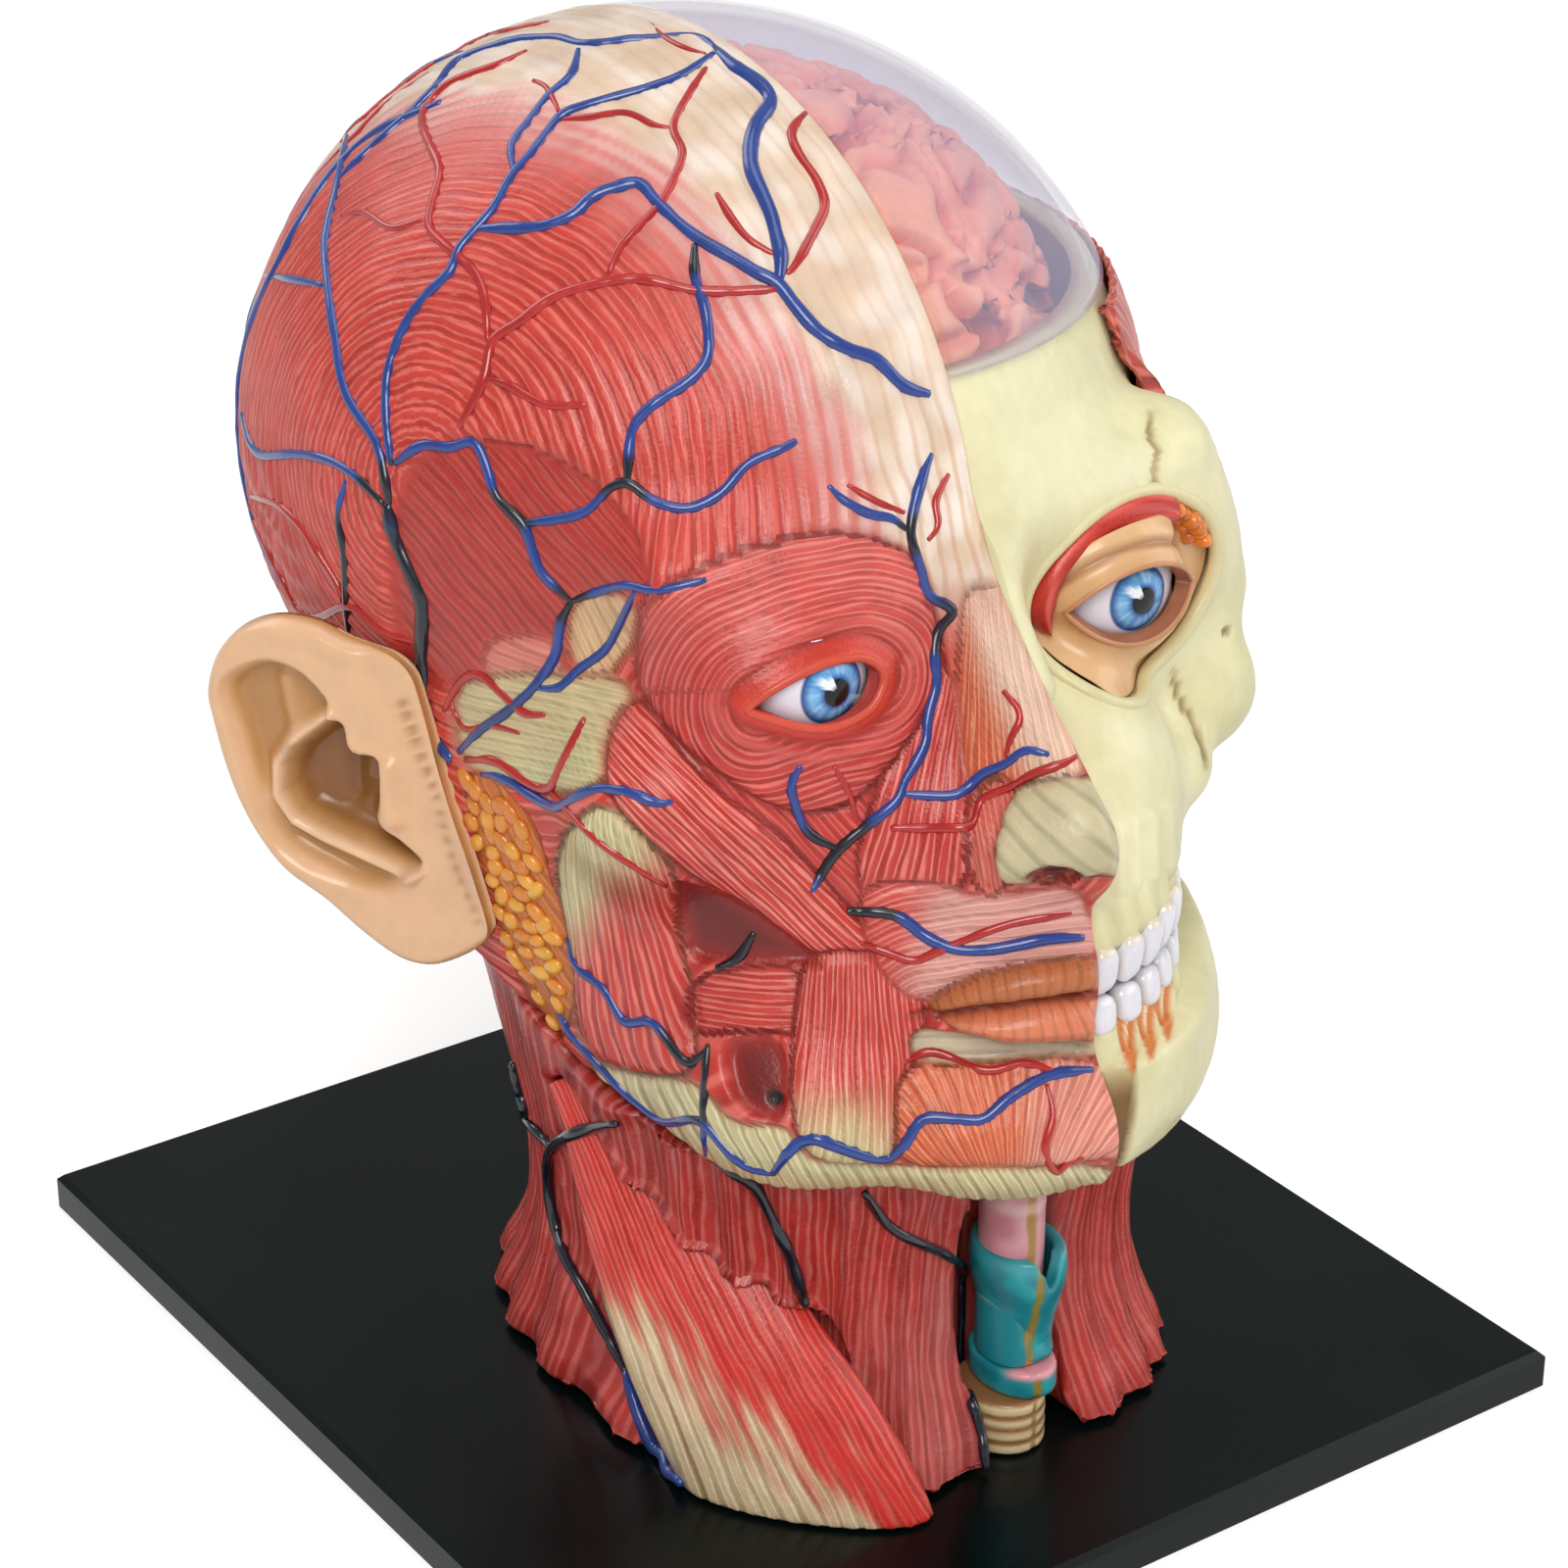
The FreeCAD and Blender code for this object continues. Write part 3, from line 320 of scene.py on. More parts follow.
def grid_numbers(rows, columns, first=0):
    return np.arange(rows * columns).reshape(rows, columns) + first


def grid_faces(numbers, closed=False):
    """Quads of a grid of point numbers, with its last column joined to its first if it is closed."""
    n = np.hstack([numbers, numbers[:, :1]]) if closed else numbers
    return np.stack([n[:-1, :-1], n[:-1, 1:], n[1:, 1:], n[1:, :-1]], -1).reshape(-1, 4)


def bridge(first, second):
    """Triangles between two rows of point numbers that run the same way."""
    faces = []
    i = j = 0
    n = len(first) - 1
    m = len(second) - 1
    while i < n or j < m:
        if j >= m or (i < n and (i + 1) * m <= (j + 1) * n):
            faces.append((first[i], first[i + 1], second[j]))
            i += 1
        else:
            faces.append((first[i], second[j + 1], second[j]))
            j += 1
    return faces


def fan(ring, middle):
    return [(ring[i], ring[(i + 1) % len(ring)], middle) for i in range(len(ring))]


def mesh_tree(points, faces):
    return BVHTree.FromPolygons(np.asarray(points).reshape(-1, 3).tolist(),
                                [tuple(int(i) for i in face) for face in faces])


def make_piece(name, shape, material, body, nodes=(), weld=0.0):
    """Object made of a shape, with its colours, riding on a body and standing for CAD nodes."""
    points = np.vstack(shape.points) * metres_per_mm
    mesh = bpy.data.meshes.new(name)
    mesh.from_pydata(points.tolist(), [], shape.faces)
    colours = np.ones((len(points), 4))
    colours[:, :3] = to_linear(np.vstack(shape.paint))
    layer = mesh.color_attributes.new("paint", "FLOAT_COLOR", "POINT")
    layer.data.foreach_set("color", colours.astype(np.float32).ravel())
    mesh.color_attributes.active_color = layer
    colours[:, :3] = to_linear(np.vstack(shape.crest))
    crest = mesh.color_attributes.new("crest", "FLOAT_COLOR", "POINT")
    crest.data.foreach_set("color", colours.astype(np.float32).ravel())
    strokes = mesh.attributes.new("strokes", "FLOAT_VECTOR", "POINT")
    strokes.data.foreach_set("vector", np.vstack(shape.strokes).astype(np.float32).ravel())
    mesh.materials.append(material)
    tidy = bmesh.new()
    tidy.from_mesh(mesh)
    if weld:
        bmesh.ops.remove_doubles(tidy, verts=tidy.verts, dist=weld * metres_per_mm)
    bmesh.ops.recalc_face_normals(tidy, faces=tidy.faces)
    tidy.to_mesh(mesh)
    tidy.free()
    mesh.polygons.foreach_set("use_smooth", [True] * len(mesh.polygons))
    mesh.update()
    piece = bpy.data.objects.new(name, mesh)
    bpy.context.scene.collection.objects.link(piece)
    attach(piece, body)
    if nodes:
        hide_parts(*nodes)
    return piece


def tube(shape, line, radii, sides, paint):
    """Round tube along a line of points, with closed ends and radii that may change along it."""
    line = np.asarray(line, float)
    radii = np.broadcast_to(np.asarray(radii, float), (len(line),))
    tangent = unit(np.gradient(line, axis=0))
    across = unit(np.cross(tangent[0], [0.31, 0.52, 0.79]))
    rings = []
    for i in range(len(line)):
        across = unit(across - tangent[i] * (across @ tangent[i]))
        other = np.cross(tangent[i], across)
        turn = np.arange(sides) / sides * 2 * math.pi
        ring = np.cos(turn)[:, None] * across + np.sin(turn)[:, None] * other
        rings.append(line[i] + ring * radii[i])
    colours = np.asarray(paint, float)
    if colours.ndim == 2:
        colours = np.repeat(colours, sides, axis=0)
    first = shape.add(np.vstack(rings), colours)
    numbers = grid_numbers(len(line), sides, first)
    shape.join(grid_faces(numbers, closed=True))
    ends = np.array([line[0] - tangent[0] * radii[0] * 0.6, line[-1] + tangent[-1] * radii[-1] * 0.6])
    end_paint = colours[[0, -1]] if colours.ndim == 2 else colours
    tips = shape.add(ends, end_paint)
    shape.join(fan(list(numbers[0])[::-1], tips))
    shape.join(fan(list(numbers[-1]), tips + 1))


def round_blob(shape, centre, axes, radii, rings, sides, paint, squareness=2.0, change=None):
    """Closed rounded block: an ellipsoid on three axes, squarer as squareness grows."""
    rise = np.linspace(-math.pi / 2, math.pi / 2, rings)[1:-1]
    turn = np.arange(sides) / sides * 2 * math.pi
    power = 2.0 / squareness

    def shaped(value):
        return np.sign(value) * np.abs(value) ** power
    a = shaped(np.cos(rise))[:, None] * shaped(np.cos(turn))
    b = shaped(np.cos(rise))[:, None] * shaped(np.sin(turn))
    c = np.broadcast_to(shaped(np.sin(rise))[:, None], a.shape)
    local = np.stack([a, b, c], -1).reshape(-1, 3)
    local = np.vstack([local, [[0, 0, -1], [0, 0, 1]]])
    if change is not None:
        local = change(local)
    points = centre + (local * np.asarray(radii)) @ np.asarray(axes)
    colours = paint(local) if callable(paint) else paint
    first = shape.add(points, colours)
    numbers = grid_numbers(rings - 2, sides, first)
    shape.join(grid_faces(numbers, closed=True))
    last = first + (rings - 2) * sides
    shape.join(fan(list(numbers[0])[::-1], last))
    shape.join(fan(list(numbers[-1]), last + 1))


# Materials
white = (1.0, 1.0, 1.0, 1.0)
noise_span = (0.3, 0.7)
noise_detail = 2.0
grain_detail = 3.0
coat_roughness = 0.12
drift_scale = (0.9, 0.09, 0.0)
drift_reach = 1.3
break_scale = (2.4, 0.22, 0.0)
break_share = 2.6
crest_span = (0.9, 2.5)


class Nodes:
    """Small helper that adds nodes to a material or a world and joins them."""

    def __init__(self, owner, output_kind="ShaderNodeOutputMaterial"):
        owner.use_nodes = True
        self.owner = owner
        self.tree = owner.node_tree
        self.tree.nodes.clear()
        self.output = self.tree.nodes.new(output_kind)

    def new(self, kind, inputs=None, **settings):
        node = self.tree.nodes.new(kind)
        for key, value in settings.items():
            setattr(node, key, value)
        for key, value in (inputs or {}).items():
            if isinstance(value, bpy.types.NodeSocket):
                self.tree.links.new(value, node.inputs[key])
            else:
                node.inputs[key].default_value = value
        return node

    def math(self, operation, *values, **settings):
        return self.new("ShaderNodeMath", dict(enumerate(values)), operation=operation, **settings).outputs[0]

    def noise(self, place, scale, detail):
        inputs = {"Vector": place, "Scale": scale, "Detail": detail}
        return self.new("ShaderNodeTexNoise", inputs).outputs["Fac"]

    def stretched(self, place, scale):
        return self.new("ShaderNodeMapping", {"Vector": place, "Scale": scale}).outputs["Vector"]

    def ranged(self, value, start, end, low, high, **settings):
        """A value that runs from start to end, brought to run from low to high."""
        inputs = {"Value": value, "From Min": start, "From Max": end, "To Min": low, "To Max": high}
        return self.new("ShaderNodeMapRange", inputs, **settings).outputs["Result"]

    def attribute(self, name, output):
        return self.new("ShaderNodeAttribute", attribute_name=name).outputs[output]

    def finish(self, shader):
        self.tree.links.new(shader.outputs[0], self.output.inputs["Surface"])
        return self.owner


def add_fibres(nodes, base):
    """Fine muscle fibres: crests of a lighter colour along the piece's strokes, uneven and broken.
    The strokes hold the count of fibres across, the way along them in mm, and how strong they are."""
    strokes = nodes.attribute("strokes", "Vector")
    across, _, strength = nodes.new("ShaderNodeSeparateXYZ", {"Vector": strokes}).outputs
    drift = nodes.noise(nodes.stretched(strokes, drift_scale), 1.0, noise_detail)
    breaks = nodes.noise(nodes.stretched(strokes, break_scale), 1.0, noise_detail)
    turn = nodes.math("MULTIPLY", nodes.math("MULTIPLY_ADD", drift, drift_reach, across), 2 * math.pi)
    mixed = nodes.math("MULTIPLY_ADD", breaks, break_share, nodes.math("COSINE", turn))
    cover = nodes.ranged(mixed, *crest_span, 0.0, 1.0, interpolation_type="SMOOTHSTEP")
    share = nodes.math("MULTIPLY", cover, strength)
    inputs = {"Fac": share, "Color1": base, "Color2": nodes.attribute("crest", "Color")}
    return nodes.new("ShaderNodeMixRGB", inputs).outputs["Color"], share


def surface_material(name, colour=None, roughness=0.3, coat=0.3, stroke=0.12, stroke_size=(0.35, 4.0),
                     grain_size=0.5, grain_depth=0.02, blotch=0.06, blotch_size=6.0, rough_change=0.06,
                     specular=0.5, fibres=False):
    """Painted plastic: its own colour or the mesh's painted one, with brush strokes or muscle fibres,
    soft blotches, a fine grain and a clear gloss. Sizes are in millimetres."""
    nodes = Nodes(bpy.data.materials.new(name))
    if colour is None:
        base = nodes.attribute("paint", "Color")
    else:
        base = nodes.new("ShaderNodeRGB").outputs[0]
        base.default_value = (*to_linear(colour), 1.0)
    place = nodes.new("ShaderNodeTexCoord").outputs["Object"]
    if fibres:
        base, lines = add_fibres(nodes, base)
    else:
        wide, long = (1.0 / (size * metres_per_mm) for size in stroke_size)
        lines = nodes.noise(nodes.stretched(place, (wide, wide, long)), 1.0, noise_detail)
    grain = nodes.noise(place, 1.0 / (grain_size * metres_per_mm), grain_detail)
    blots = nodes.noise(place, 1.0 / (blotch_size * metres_per_mm), grain_detail)
    light = nodes.ranged(lines, *noise_span, 1.0 - stroke, 1.0 + stroke)
    cloud = nodes.ranged(blots, *noise_span, 1.0 - blotch, 1.0 + blotch)
    both = nodes.math("MULTIPLY", light, cloud)
    tinted = nodes.new("ShaderNodeVectorMath", {0: base, "Scale": both}, operation="SCALE").outputs[0]
    rough = nodes.ranged(blots, *noise_span, roughness - rough_change, roughness + rough_change)
    relief = {"Height": nodes.math("ADD", lines, grain), "Strength": 1.0,
              "Distance": grain_depth * metres_per_mm}
    bump = nodes.new("ShaderNodeBump", relief).outputs["Normal"]
    return nodes.finish(nodes.new("ShaderNodeBsdfPrincipled", {
        "Base Color": tinted, "Roughness": rough, "Normal": bump, "Coat Weight": coat,
        "Coat Roughness": coat_roughness, "Specular IOR Level": specular}))


# Grids over the forms
def column_angles(count, density=1.25):
    return math.pi * (np.arange(count) / (count - 1)) ** density


def head_border(y):
    """Height of the head's lower edge at each depth."""
    return np.interp(y, [-52.0, -12.0, 5.0, 40.0], [44.0, 49.0, 60.0, 61.0])


def skull_border(y):
    """Height of the skull's lower edge: the jaw bone covers its front."""
    return np.interp(y, [-52.0, 5.0, 12.0, 40.0], [71.0, 71.0, 60.5, 61.0])


def level_points(form, side, level, angles, z):
    """Points where level rays from the head's axis leave the form. z has one row per height."""
    origin = np.stack([np.zeros_like(z), axis_y(z), z], -1)
    flat = np.stack([side * np.sin(angles), -np.cos(angles), np.zeros_like(angles)], -1)
    direction = np.broadcast_to(flat, origin.shape)
    return origin + direction * reach(form, origin, direction, level)[..., None]


def head_grid(form, side, level, angles, low_rows, high_rows, border, top_z=None):
    """Grid of points over half of a form, from its lower edge up to the crown or to a height."""
    z = np.full(angles.shape, chin_bottom_z)
    for _ in range(8):
        z = border(level_points(form, side, level, angles, z[None])[0, :, 1])
    shares = np.linspace(0.0, 1.0, low_rows)[:, None]
    top = head_centre_z if top_z is None else top_z
    rows = [level_points(form, side, level, angles, z + (top - z) * shares)]
    if top_z is None:
        rise = np.linspace(0.0, math.pi / 2, high_rows + 1)[1:, None] + 0 * angles
        direction = np.stack([side * np.sin(angles) * np.cos(rise), -np.cos(angles) * np.cos(rise),
                              np.sin(rise)], -1)
        origin = np.broadcast_to(head_centre, direction.shape)
        rows.append(origin + direction * reach(form, origin, direction, level)[..., None])
    grid = np.vstack(rows)
    grid[:, [0, -1], 0] = 0.0
    return grid


def form_normals(form, points):
    step = 0.2
    slopes = []
    for axis in np.eye(3):
        slopes.append(form(points + axis * step) - form(points - axis * step))
    return unit(np.stack(slopes, -1))


def snap(grid, field):
    """Moves the points beside each zero crossing of a field onto it, so that its edge is crisp."""
    rows, columns = field.shape
    numbers = grid_numbers(rows, columns)
    pairs = np.vstack([np.stack([numbers[:, :-1], numbers[:, 1:]], -1).reshape(-1, 2),
                       np.stack([numbers[:-1], numbers[1:]], -1).reshape(-1, 2)])
    points = grid.reshape(-1, 3).copy()
    values = field.ravel().copy()
    crossing = values[pairs[:, 0]] * values[pairs[:, 1]] < 0
    a = pairs[crossing, 0]
    b = pairs[crossing, 1]
    t = values[a] / (values[a] - values[b])
    place = points[a] + (points[b] - points[a]) * t[:, None]
    moved = np.where(t < 0.5, a, b)
    order = np.argsort(-np.minimum(t, 1 - t), kind="stable")
    points[moved[order]] = place[order]
    values[moved] = 0.0
    return points.reshape(grid.shape), values.reshape(field.shape)


def faces_outside(numbers, field):
    """Faces of a grid where a snapped field is above zero, split where its edge crosses a face."""
    quads = grid_faces(numbers)
    v = grid_faces(grid_numbers(*field.shape))
    values = field.ravel()[v]
    outside = values.max(axis=1) > 0
    split = outside & (values.min(axis=1) < 0)
    faces = [tuple(q) for q in quads[outside & ~split]]
    for quad, value in zip(quads[split], values[split]):
        turn = 1 if value[0] != 0 else 0
        corners = [(turn + i) % 4 for i in range(4)]
        for three in ([corners[0], corners[1], corners[2]], [corners[0], corners[2], corners[3]]):
            if value[three].max() > 0 and value[three].min() >= 0:
                faces.append(tuple(quad[three]))
    return faces


def lens_distance(x, z, centre_x, centre_z, half_width, half_height):
    """Signed distance to an eye-shaped outline, less than zero inside it."""
    radius = (half_width ** 2 + half_height ** 2) / (2 * half_height)
    rise = radius - half_height
    above = np.hypot(x - centre_x, z - centre_z - rise)
    below = np.hypot(x - centre_x, z - centre_z + rise)
    return np.maximum(above, below) - radius


def wall_shape(shape, outer, outer_faces, inner, inner_faces, outer_paint, inner_paint, skin=None):
    """Wall between an outer and an inner grid, closed along its lower edge and its two seams."""
    first = shape.add(outer.reshape(-1, 3), outer_paint, skin)
    second = shape.add(inner.reshape(-1, 3), inner_paint)
    a = grid_numbers(*outer.shape[:2], first)
    b = grid_numbers(*inner.shape[:2], second)
    shape.join(outer_faces + first)
    shape.join([tuple(i + second for i in face) for face in inner_faces])
    shape.join(bridge(list(a[0]), list(b[0])))
    for edge in (0, -1):
        shape.join(bridge(list(a[:, edge]), list(b[:, edge])))
    return a, b


# Regions of the face, drawn as outlines in the photograph's pixels
class Skin:
    """Heights and colours laid over the points of a surface, region by region."""

    def __init__(self, points, normals, height, paint):
        self.points = points
        self.normals = normals
        self.pixels = to_photo(points)
        toward = unit(camera_position - points)
        self.seen = smooth_step(0.02, 0.2, np.sum(normals * toward, -1))
        self.height = np.full(points.shape[:-1], float(height))
        self.paint = np.broadcast_to(np.asarray(paint, float), points.shape).copy()
        self.crest = self.paint.copy()
        self.strokes = np.zeros(points.shape)
        self.wobble = noise(points, 7.0, 3)
        self.fine = noise(points, 2.2, 4)

    def lay(self, cover, height=None, paint=None, add=0.0):
        """Brings height and colour to the given ones by a cover of 0 to 1, and adds height."""
        if height is not None:
            self.height = mix(self.height, height, cover)
        if paint is not None:
            self.paint = paint_mix(self.paint, paint, cover)
            self.strokes[..., 2] *= 1.0 - cover
        self.height = self.height + add * cover

    def ridges(self, across, along, pitch, cover, ridge, base, line, line_share):
        """Muscle fibres: rounded ridges, painted shade in the grooves, and finer light crests drawn by the
        material.
        """
        s = across / pitch + 0.22 * self.wobble
        crest = 0.5 + 0.5 * np.cos(2 * math.pi * s)
        # painted shade: the colour darkens a little towards the bottom of each groove
        groove_shade = smooth_step(0.3, 0.0, crest)
        soft = paint_mix(base, line, 0.25 * line_share * smooth_step(0.3, 1.0, crest))
        strength = mix(self.strokes[..., 2], line_share * np.ones(cover.shape), cover > 0.5)
        strength *= smooth_step(0.0, 0.8, np.abs(2.0 * cover - 1.0))
        self.lay(cover, paint=soft * (1.0 - 0.13 * groove_shade)[..., None])
        self.crest = paint_mix(self.crest, np.broadcast_to(np.asarray(line, float), self.crest.shape), cover)
        self.height = self.height + cover * ridge * (crest - 0.5)
        flow = np.stack([fibres_per_ridge * s, along, 0 * s], -1)
        self.strokes = np.where((cover > 0.5)[..., None], flow, self.strokes)
        self.strokes[..., 2] = strength


def fibre_lines(pixels, kind, value):
    """Distance across the fibres and along them, in pixels."""
    if kind == "lines":
        turn = math.radians(value)
        across = -pixels[..., 0] * math.sin(turn) + pixels[..., 1] * math.cos(turn)
        return across, pixels[..., 0] * math.cos(turn) + pixels[..., 1] * math.sin(turn)
    if kind == "rings":
        distance, _ = polyline_distance(pixels, value)
        middle = np.mean(value, axis=0)
        return distance, np.arctan2(pixels[..., 1] - middle[1], pixels[..., 0] - middle[0]) * 90.0
    away = pixels - np.asarray(value[:2], float)
    turn = np.arctan2(away[..., 1], away[..., 0])
    return turn * value[2], np.linalg.norm(away, axis=-1)


pixels_per_mm = 7.1
fibre_fineness = 0.95
fibres_per_ridge = 2.0
eye_opening = [(759, 725), (781, 709), (809, 692), (842, 677), (875, 669), (894, 674), (905, 686), (903, 703),
               (893, 722), (875, 736), (846, 746), (816, 744), (790, 737), (771, 731)]
# How far some regions swell, in mm, and over how many pixels from their edge
region_fullness = {"upper_lip": (1.5, 26.0), "lower_lip": (1.9, 30.0), "nose_cartilage": (2.2, 48.0),
                   "zygomaticus": (0.5, 26.0), "masseter": (0.5, 40.0), "mouth_side": (0.5, 34.0),
                   "under_lip": (-0.5, 14.0)}
red = (198, 46, 38)
olive_cream = (206, 196, 146)

# Outline, height in mm, edge groove, fibre kind and value, pitch in pixels, ridge in mm, colours of
# the fibre and of its crest, share of the crest colour, and a fade: from, to, colour, crest colour
face_regions = [
    ("temple", [(395, 455), (540, 450), (640, 520), (662, 610), (610, 650), (560, 705), (470, 700),
                (395, 700)],
     -0.9, 0.0, ("lines", 50), 16, 0.12, (172, 38, 32), (214, 112, 100), 0.35, None),
    ("temple_pink", [(490, 655), (560, 650), (575, 690), (540, 708), (480, 700)],
     -0.8, 0.0, ("lines", 20), 14, 0.1, (214, 120, 104), (230, 160, 140), 0.5, None),
    ("temple_cream", [(575, 612), (632, 605), (645, 660), (620, 690), (575, 690)],
     -0.7, 0.0, ("lines", 60), 12, 0.1, (214, 178, 128), (232, 205, 165), 0.5, None),
    ("cheek_fascia", [(455, 700), (500, 692), (580, 690), (640, 690), (640, 745), (606, 800), (560, 812),
                      (500, 800),
                      (462, 780)],
     -0.3, 0.2, ("lines", 12), 13, 0.14, (200, 190, 138), (222, 214, 170), 0.5, None),
    ("cheek", [(640, 690), (720, 775), (837, 830), (900, 800), (930, 930), (850, 990), (760, 925), (690, 900),
               (600, 800)],
     -0.7, 0.0, ("lines", 48), 15, 0.16, (196, 50, 42), (228, 120, 110), 0.5, None),
    ("levators", [(940, 640), (972, 690), (985, 760), (994, 860), (985, 905), (940, 930), (885, 925),
                  (872, 880),
                  (900, 800), (930, 740)],
     -0.35, 0.3, ("fan", (1010, 480, 330)), 14, 0.26, (196, 46, 38), (234, 136, 126), 0.75, None),
    ("zygomaticus", [(640, 690), (700, 780), (792, 850), (847, 909), (905, 968), (880, 992), (844, 988),
                     (761, 924), (700, 902), (600, 806)],
     0.0, 0.55, ("lines", 44), 13.5, 0.34, (200, 46, 38), (236, 142, 130), 0.85, None),
    ("masseter", [(588, 828), (625, 822), (700, 905), (688, 950), (700, 1000), (703, 1050), (705, 1098),
                  (655, 1104), (600, 1085), (578, 1040), (576, 960), (556, 880)],
     -0.05, 0.5, ("fan", (540, 520, 420)), 14, 0.32, (204, 190, 138), (224, 214, 172), 0.7,
     ((610, 880), (668, 930), (200, 48, 40), (234, 136, 122))),
    ("buccinator", [(700, 992), (830, 990), (824, 1052), (806, 1052), (735, 1052), (700, 1056)],
     -1.0, 0.4, ("lines", 4), 13, 0.28, (196, 50, 42), (230, 130, 118), 0.7, None),
    ("mouth_side", [(822, 972), (905, 970), (948, 1030), (934, 1080), (920, 1150), (912, 1198), (826, 1196),
                    (808, 1150), (808, 1052), (815, 1010)],
     -0.1, 0.45, ("fan", (870, 640, 430)), 13, 0.3, (202, 48, 40), (234, 138, 126), 0.8,
     ((860, 1090), (858, 1180), (206, 192, 138), (226, 214, 170))),
    ("mouth_top", [(880, 905), (945, 900), (985, 918), (1040, 916), (1110, 912), (1130, 980), (1060, 984),
                   (1010, 994), (975, 1008), (942, 1028), (905, 1002), (880, 955)],
     -0.35, 0.2, ("rings", [(945, 1035), (1010, 1028), (1120, 1016)]), 13, 0.18, (222, 152, 142),
     (236, 184, 172), 0.6, ((960, 960), (900, 940), (206, 66, 56), (232, 140, 128))),
    ("jaw_margin", [(585, 1086), (640, 1102), (706, 1100), (735, 1150), (806, 1150), (826, 1194), (905, 1196),
                    (1000, 1192), (1160, 1192), (1160, 1245), (760, 1245), (620, 1160)],
     -0.4, 0.2, ("lines", 62), 15, 0.2, (202, 188, 138), (230, 220, 180), 0.7, None),
    ("chin", [(918, 1084), (1020, 1076), (1140, 1080), (1160, 1130), (1160, 1194), (1000, 1196), (910, 1198),
              (916, 1147)],
     -0.1, 0.35, ("fan", (1040, 1290, 150)), 13, 0.26, (214, 92, 56), (236, 150, 110), 0.7,
     ((1015, 1130), (1080, 1130), (224, 130, 112), (236, 176, 156))),
    ("under_lip", [(928, 1050), (985, 1062), (1067, 1068), (1122, 1060), (1128, 1080), (1020, 1084),
                   (932, 1090)],
     -0.9, 0.0, ("lines", 2), 14, 0.04, (206, 190, 160), (220, 208, 184), 0.2, None),
    ("parotid_bed", [(468, 788), (495, 795), (530, 828), (552, 870), (566, 930), (582, 990), (578, 1045),
                     (562, 1072), (536, 1025), (508, 960), (488, 890), (472, 840)],
     -0.5, 0.0, ("lines", 60), 12, 0.1, (204, 104, 44), (226, 150, 70), 0.5, None),
    ("orbicularis", [(868, 542), (925, 556), (958, 610), (962, 690), (930, 760), (880, 815), (837, 836),
                     (780, 822), (715, 780), (665, 732), (639, 677), (655, 620), (715, 575), (790, 548)],
     0.0, 0.5, ("rings", [(778, 722), (830, 704), (888, 690)]), 15, 0.3, (190, 48, 41), (228, 116, 108), 0.8,
     ((835, 690), (840, 560), (212, 78, 70), (234, 140, 132))),
    ("nose_bridge", [(985, 598), (1030, 590), (1050, 650), (1075, 700), (1100, 760), (1110, 792), (1040, 802),
                     (985, 812), (976, 720), (978, 650)],
     -0.3, 0.2, ("fan", (1000, 440, 290)), 12, 0.2, (224, 178, 152), (236, 208, 186), 0.6,
     ((1035, 700), (990, 715), (208, 90, 58), (232, 160, 120))),
    ("nose_cartilage", [(1035, 802), (1095, 788), (1140, 800), (1165, 888), (1120, 899), (1085, 900),
                        (1050, 908),
                        (1010, 908), (994, 872), (1004, 830)],
     0.0, 0.35, ("lines", 40), 26, 0.0, (204, 192, 152), (222, 214, 184), 0.15, None),
    ("nose_wing_side", [(1000, 790), (1036, 796), (1020, 836), (1012, 880), (1030, 915), (1000, 925),
                        (978, 880),
                        (984, 830)],
     -0.9, 0.0, ("lines", 80), 12, 0.12, (206, 92, 76), (236, 150, 136), 0.5, None),
    # the nostril's darker red-brown is painted shade in its hollow
    ("nostril", [(1046, 893), (1064, 884), (1088, 883), (1104, 892), (1100, 905), (1078, 911), (1052, 908)],
     -1.2, 0.0, ("lines", 0), 20, 0.0, (168, 70, 54), (176, 84, 66), 0.3, None),
    ("upper_lip", [(944, 1026), (975, 1006), (1012, 991), (1061, 981), (1119, 977), (1140, 980), (1140, 1010),
                   (1119, 1014), (1067, 1022), (1006, 1031), (954, 1037)],
     0.25, 0.25, ("fan", (1060, 1180, 170)), 14, 0.04, (190, 108, 62), (204, 128, 84), 0.2, None),
    ("lower_lip", [(954, 1039), (1006, 1033), (1067, 1024), (1119, 1019), (1140, 1020), (1140, 1062),
                   (1119, 1062), (1067, 1068), (1021, 1067), (975, 1053)],
     0.3, 0.25, ("fan", (1050, 860, 180)), 14, 0.04, (226, 130, 92), (234, 150, 116), 0.2, None),
]
# Pockets sunk between the muscles: outline, depth in mm and their darker red
face_pockets = [
    ([(700, 905), (760, 925), (850, 988), (830, 993), (700, 994), (683, 950), (686, 905)], -2.0,
     (150, 38, 33)),
    ([(728, 1052), (806, 1050), (808, 1146), (770, 1150), (735, 1120)], -1.9, (158, 40, 34)),
]
# Small dark spots sunk into the face, painted shade deepest in the lower pocket and in the nostril: place,
# radius in pixels, colour
pocket_spots = [((787, 1120), 9, (20, 14, 14)), ((1074, 897), 13, (110, 36, 28))]
# Softness of some regions' edges, in pixels
region_softness = {"temple": 16.0, "cheek": 14.0, "temple_cream": 9.0, "cheek_fascia": 9.0,
                   "temple_pink": 10.0,
                   "nose_bridge": 9.0, "levators": 7.0, "mouth_top": 8.0, "jaw_margin": 7.0, "chin": 6.0}
mouth_line = [(930, 1040), (954, 1038), (1006, 1032), (1067, 1023), (1140, 1012)]

right_side = -1
left_side = 1
right_eye = np.array([-19.4, -29.4, 97.2])
left_eye = np.array([19.4, -29.4, 97.2])
eye_radius = 9.0
left_slit = (18.9, 97.2, 7.9, 4.2)
scalp_centre = np.array([-44.6, -0.6, 111.9])
skin_level = -0.55
temple_pitch = 2.0


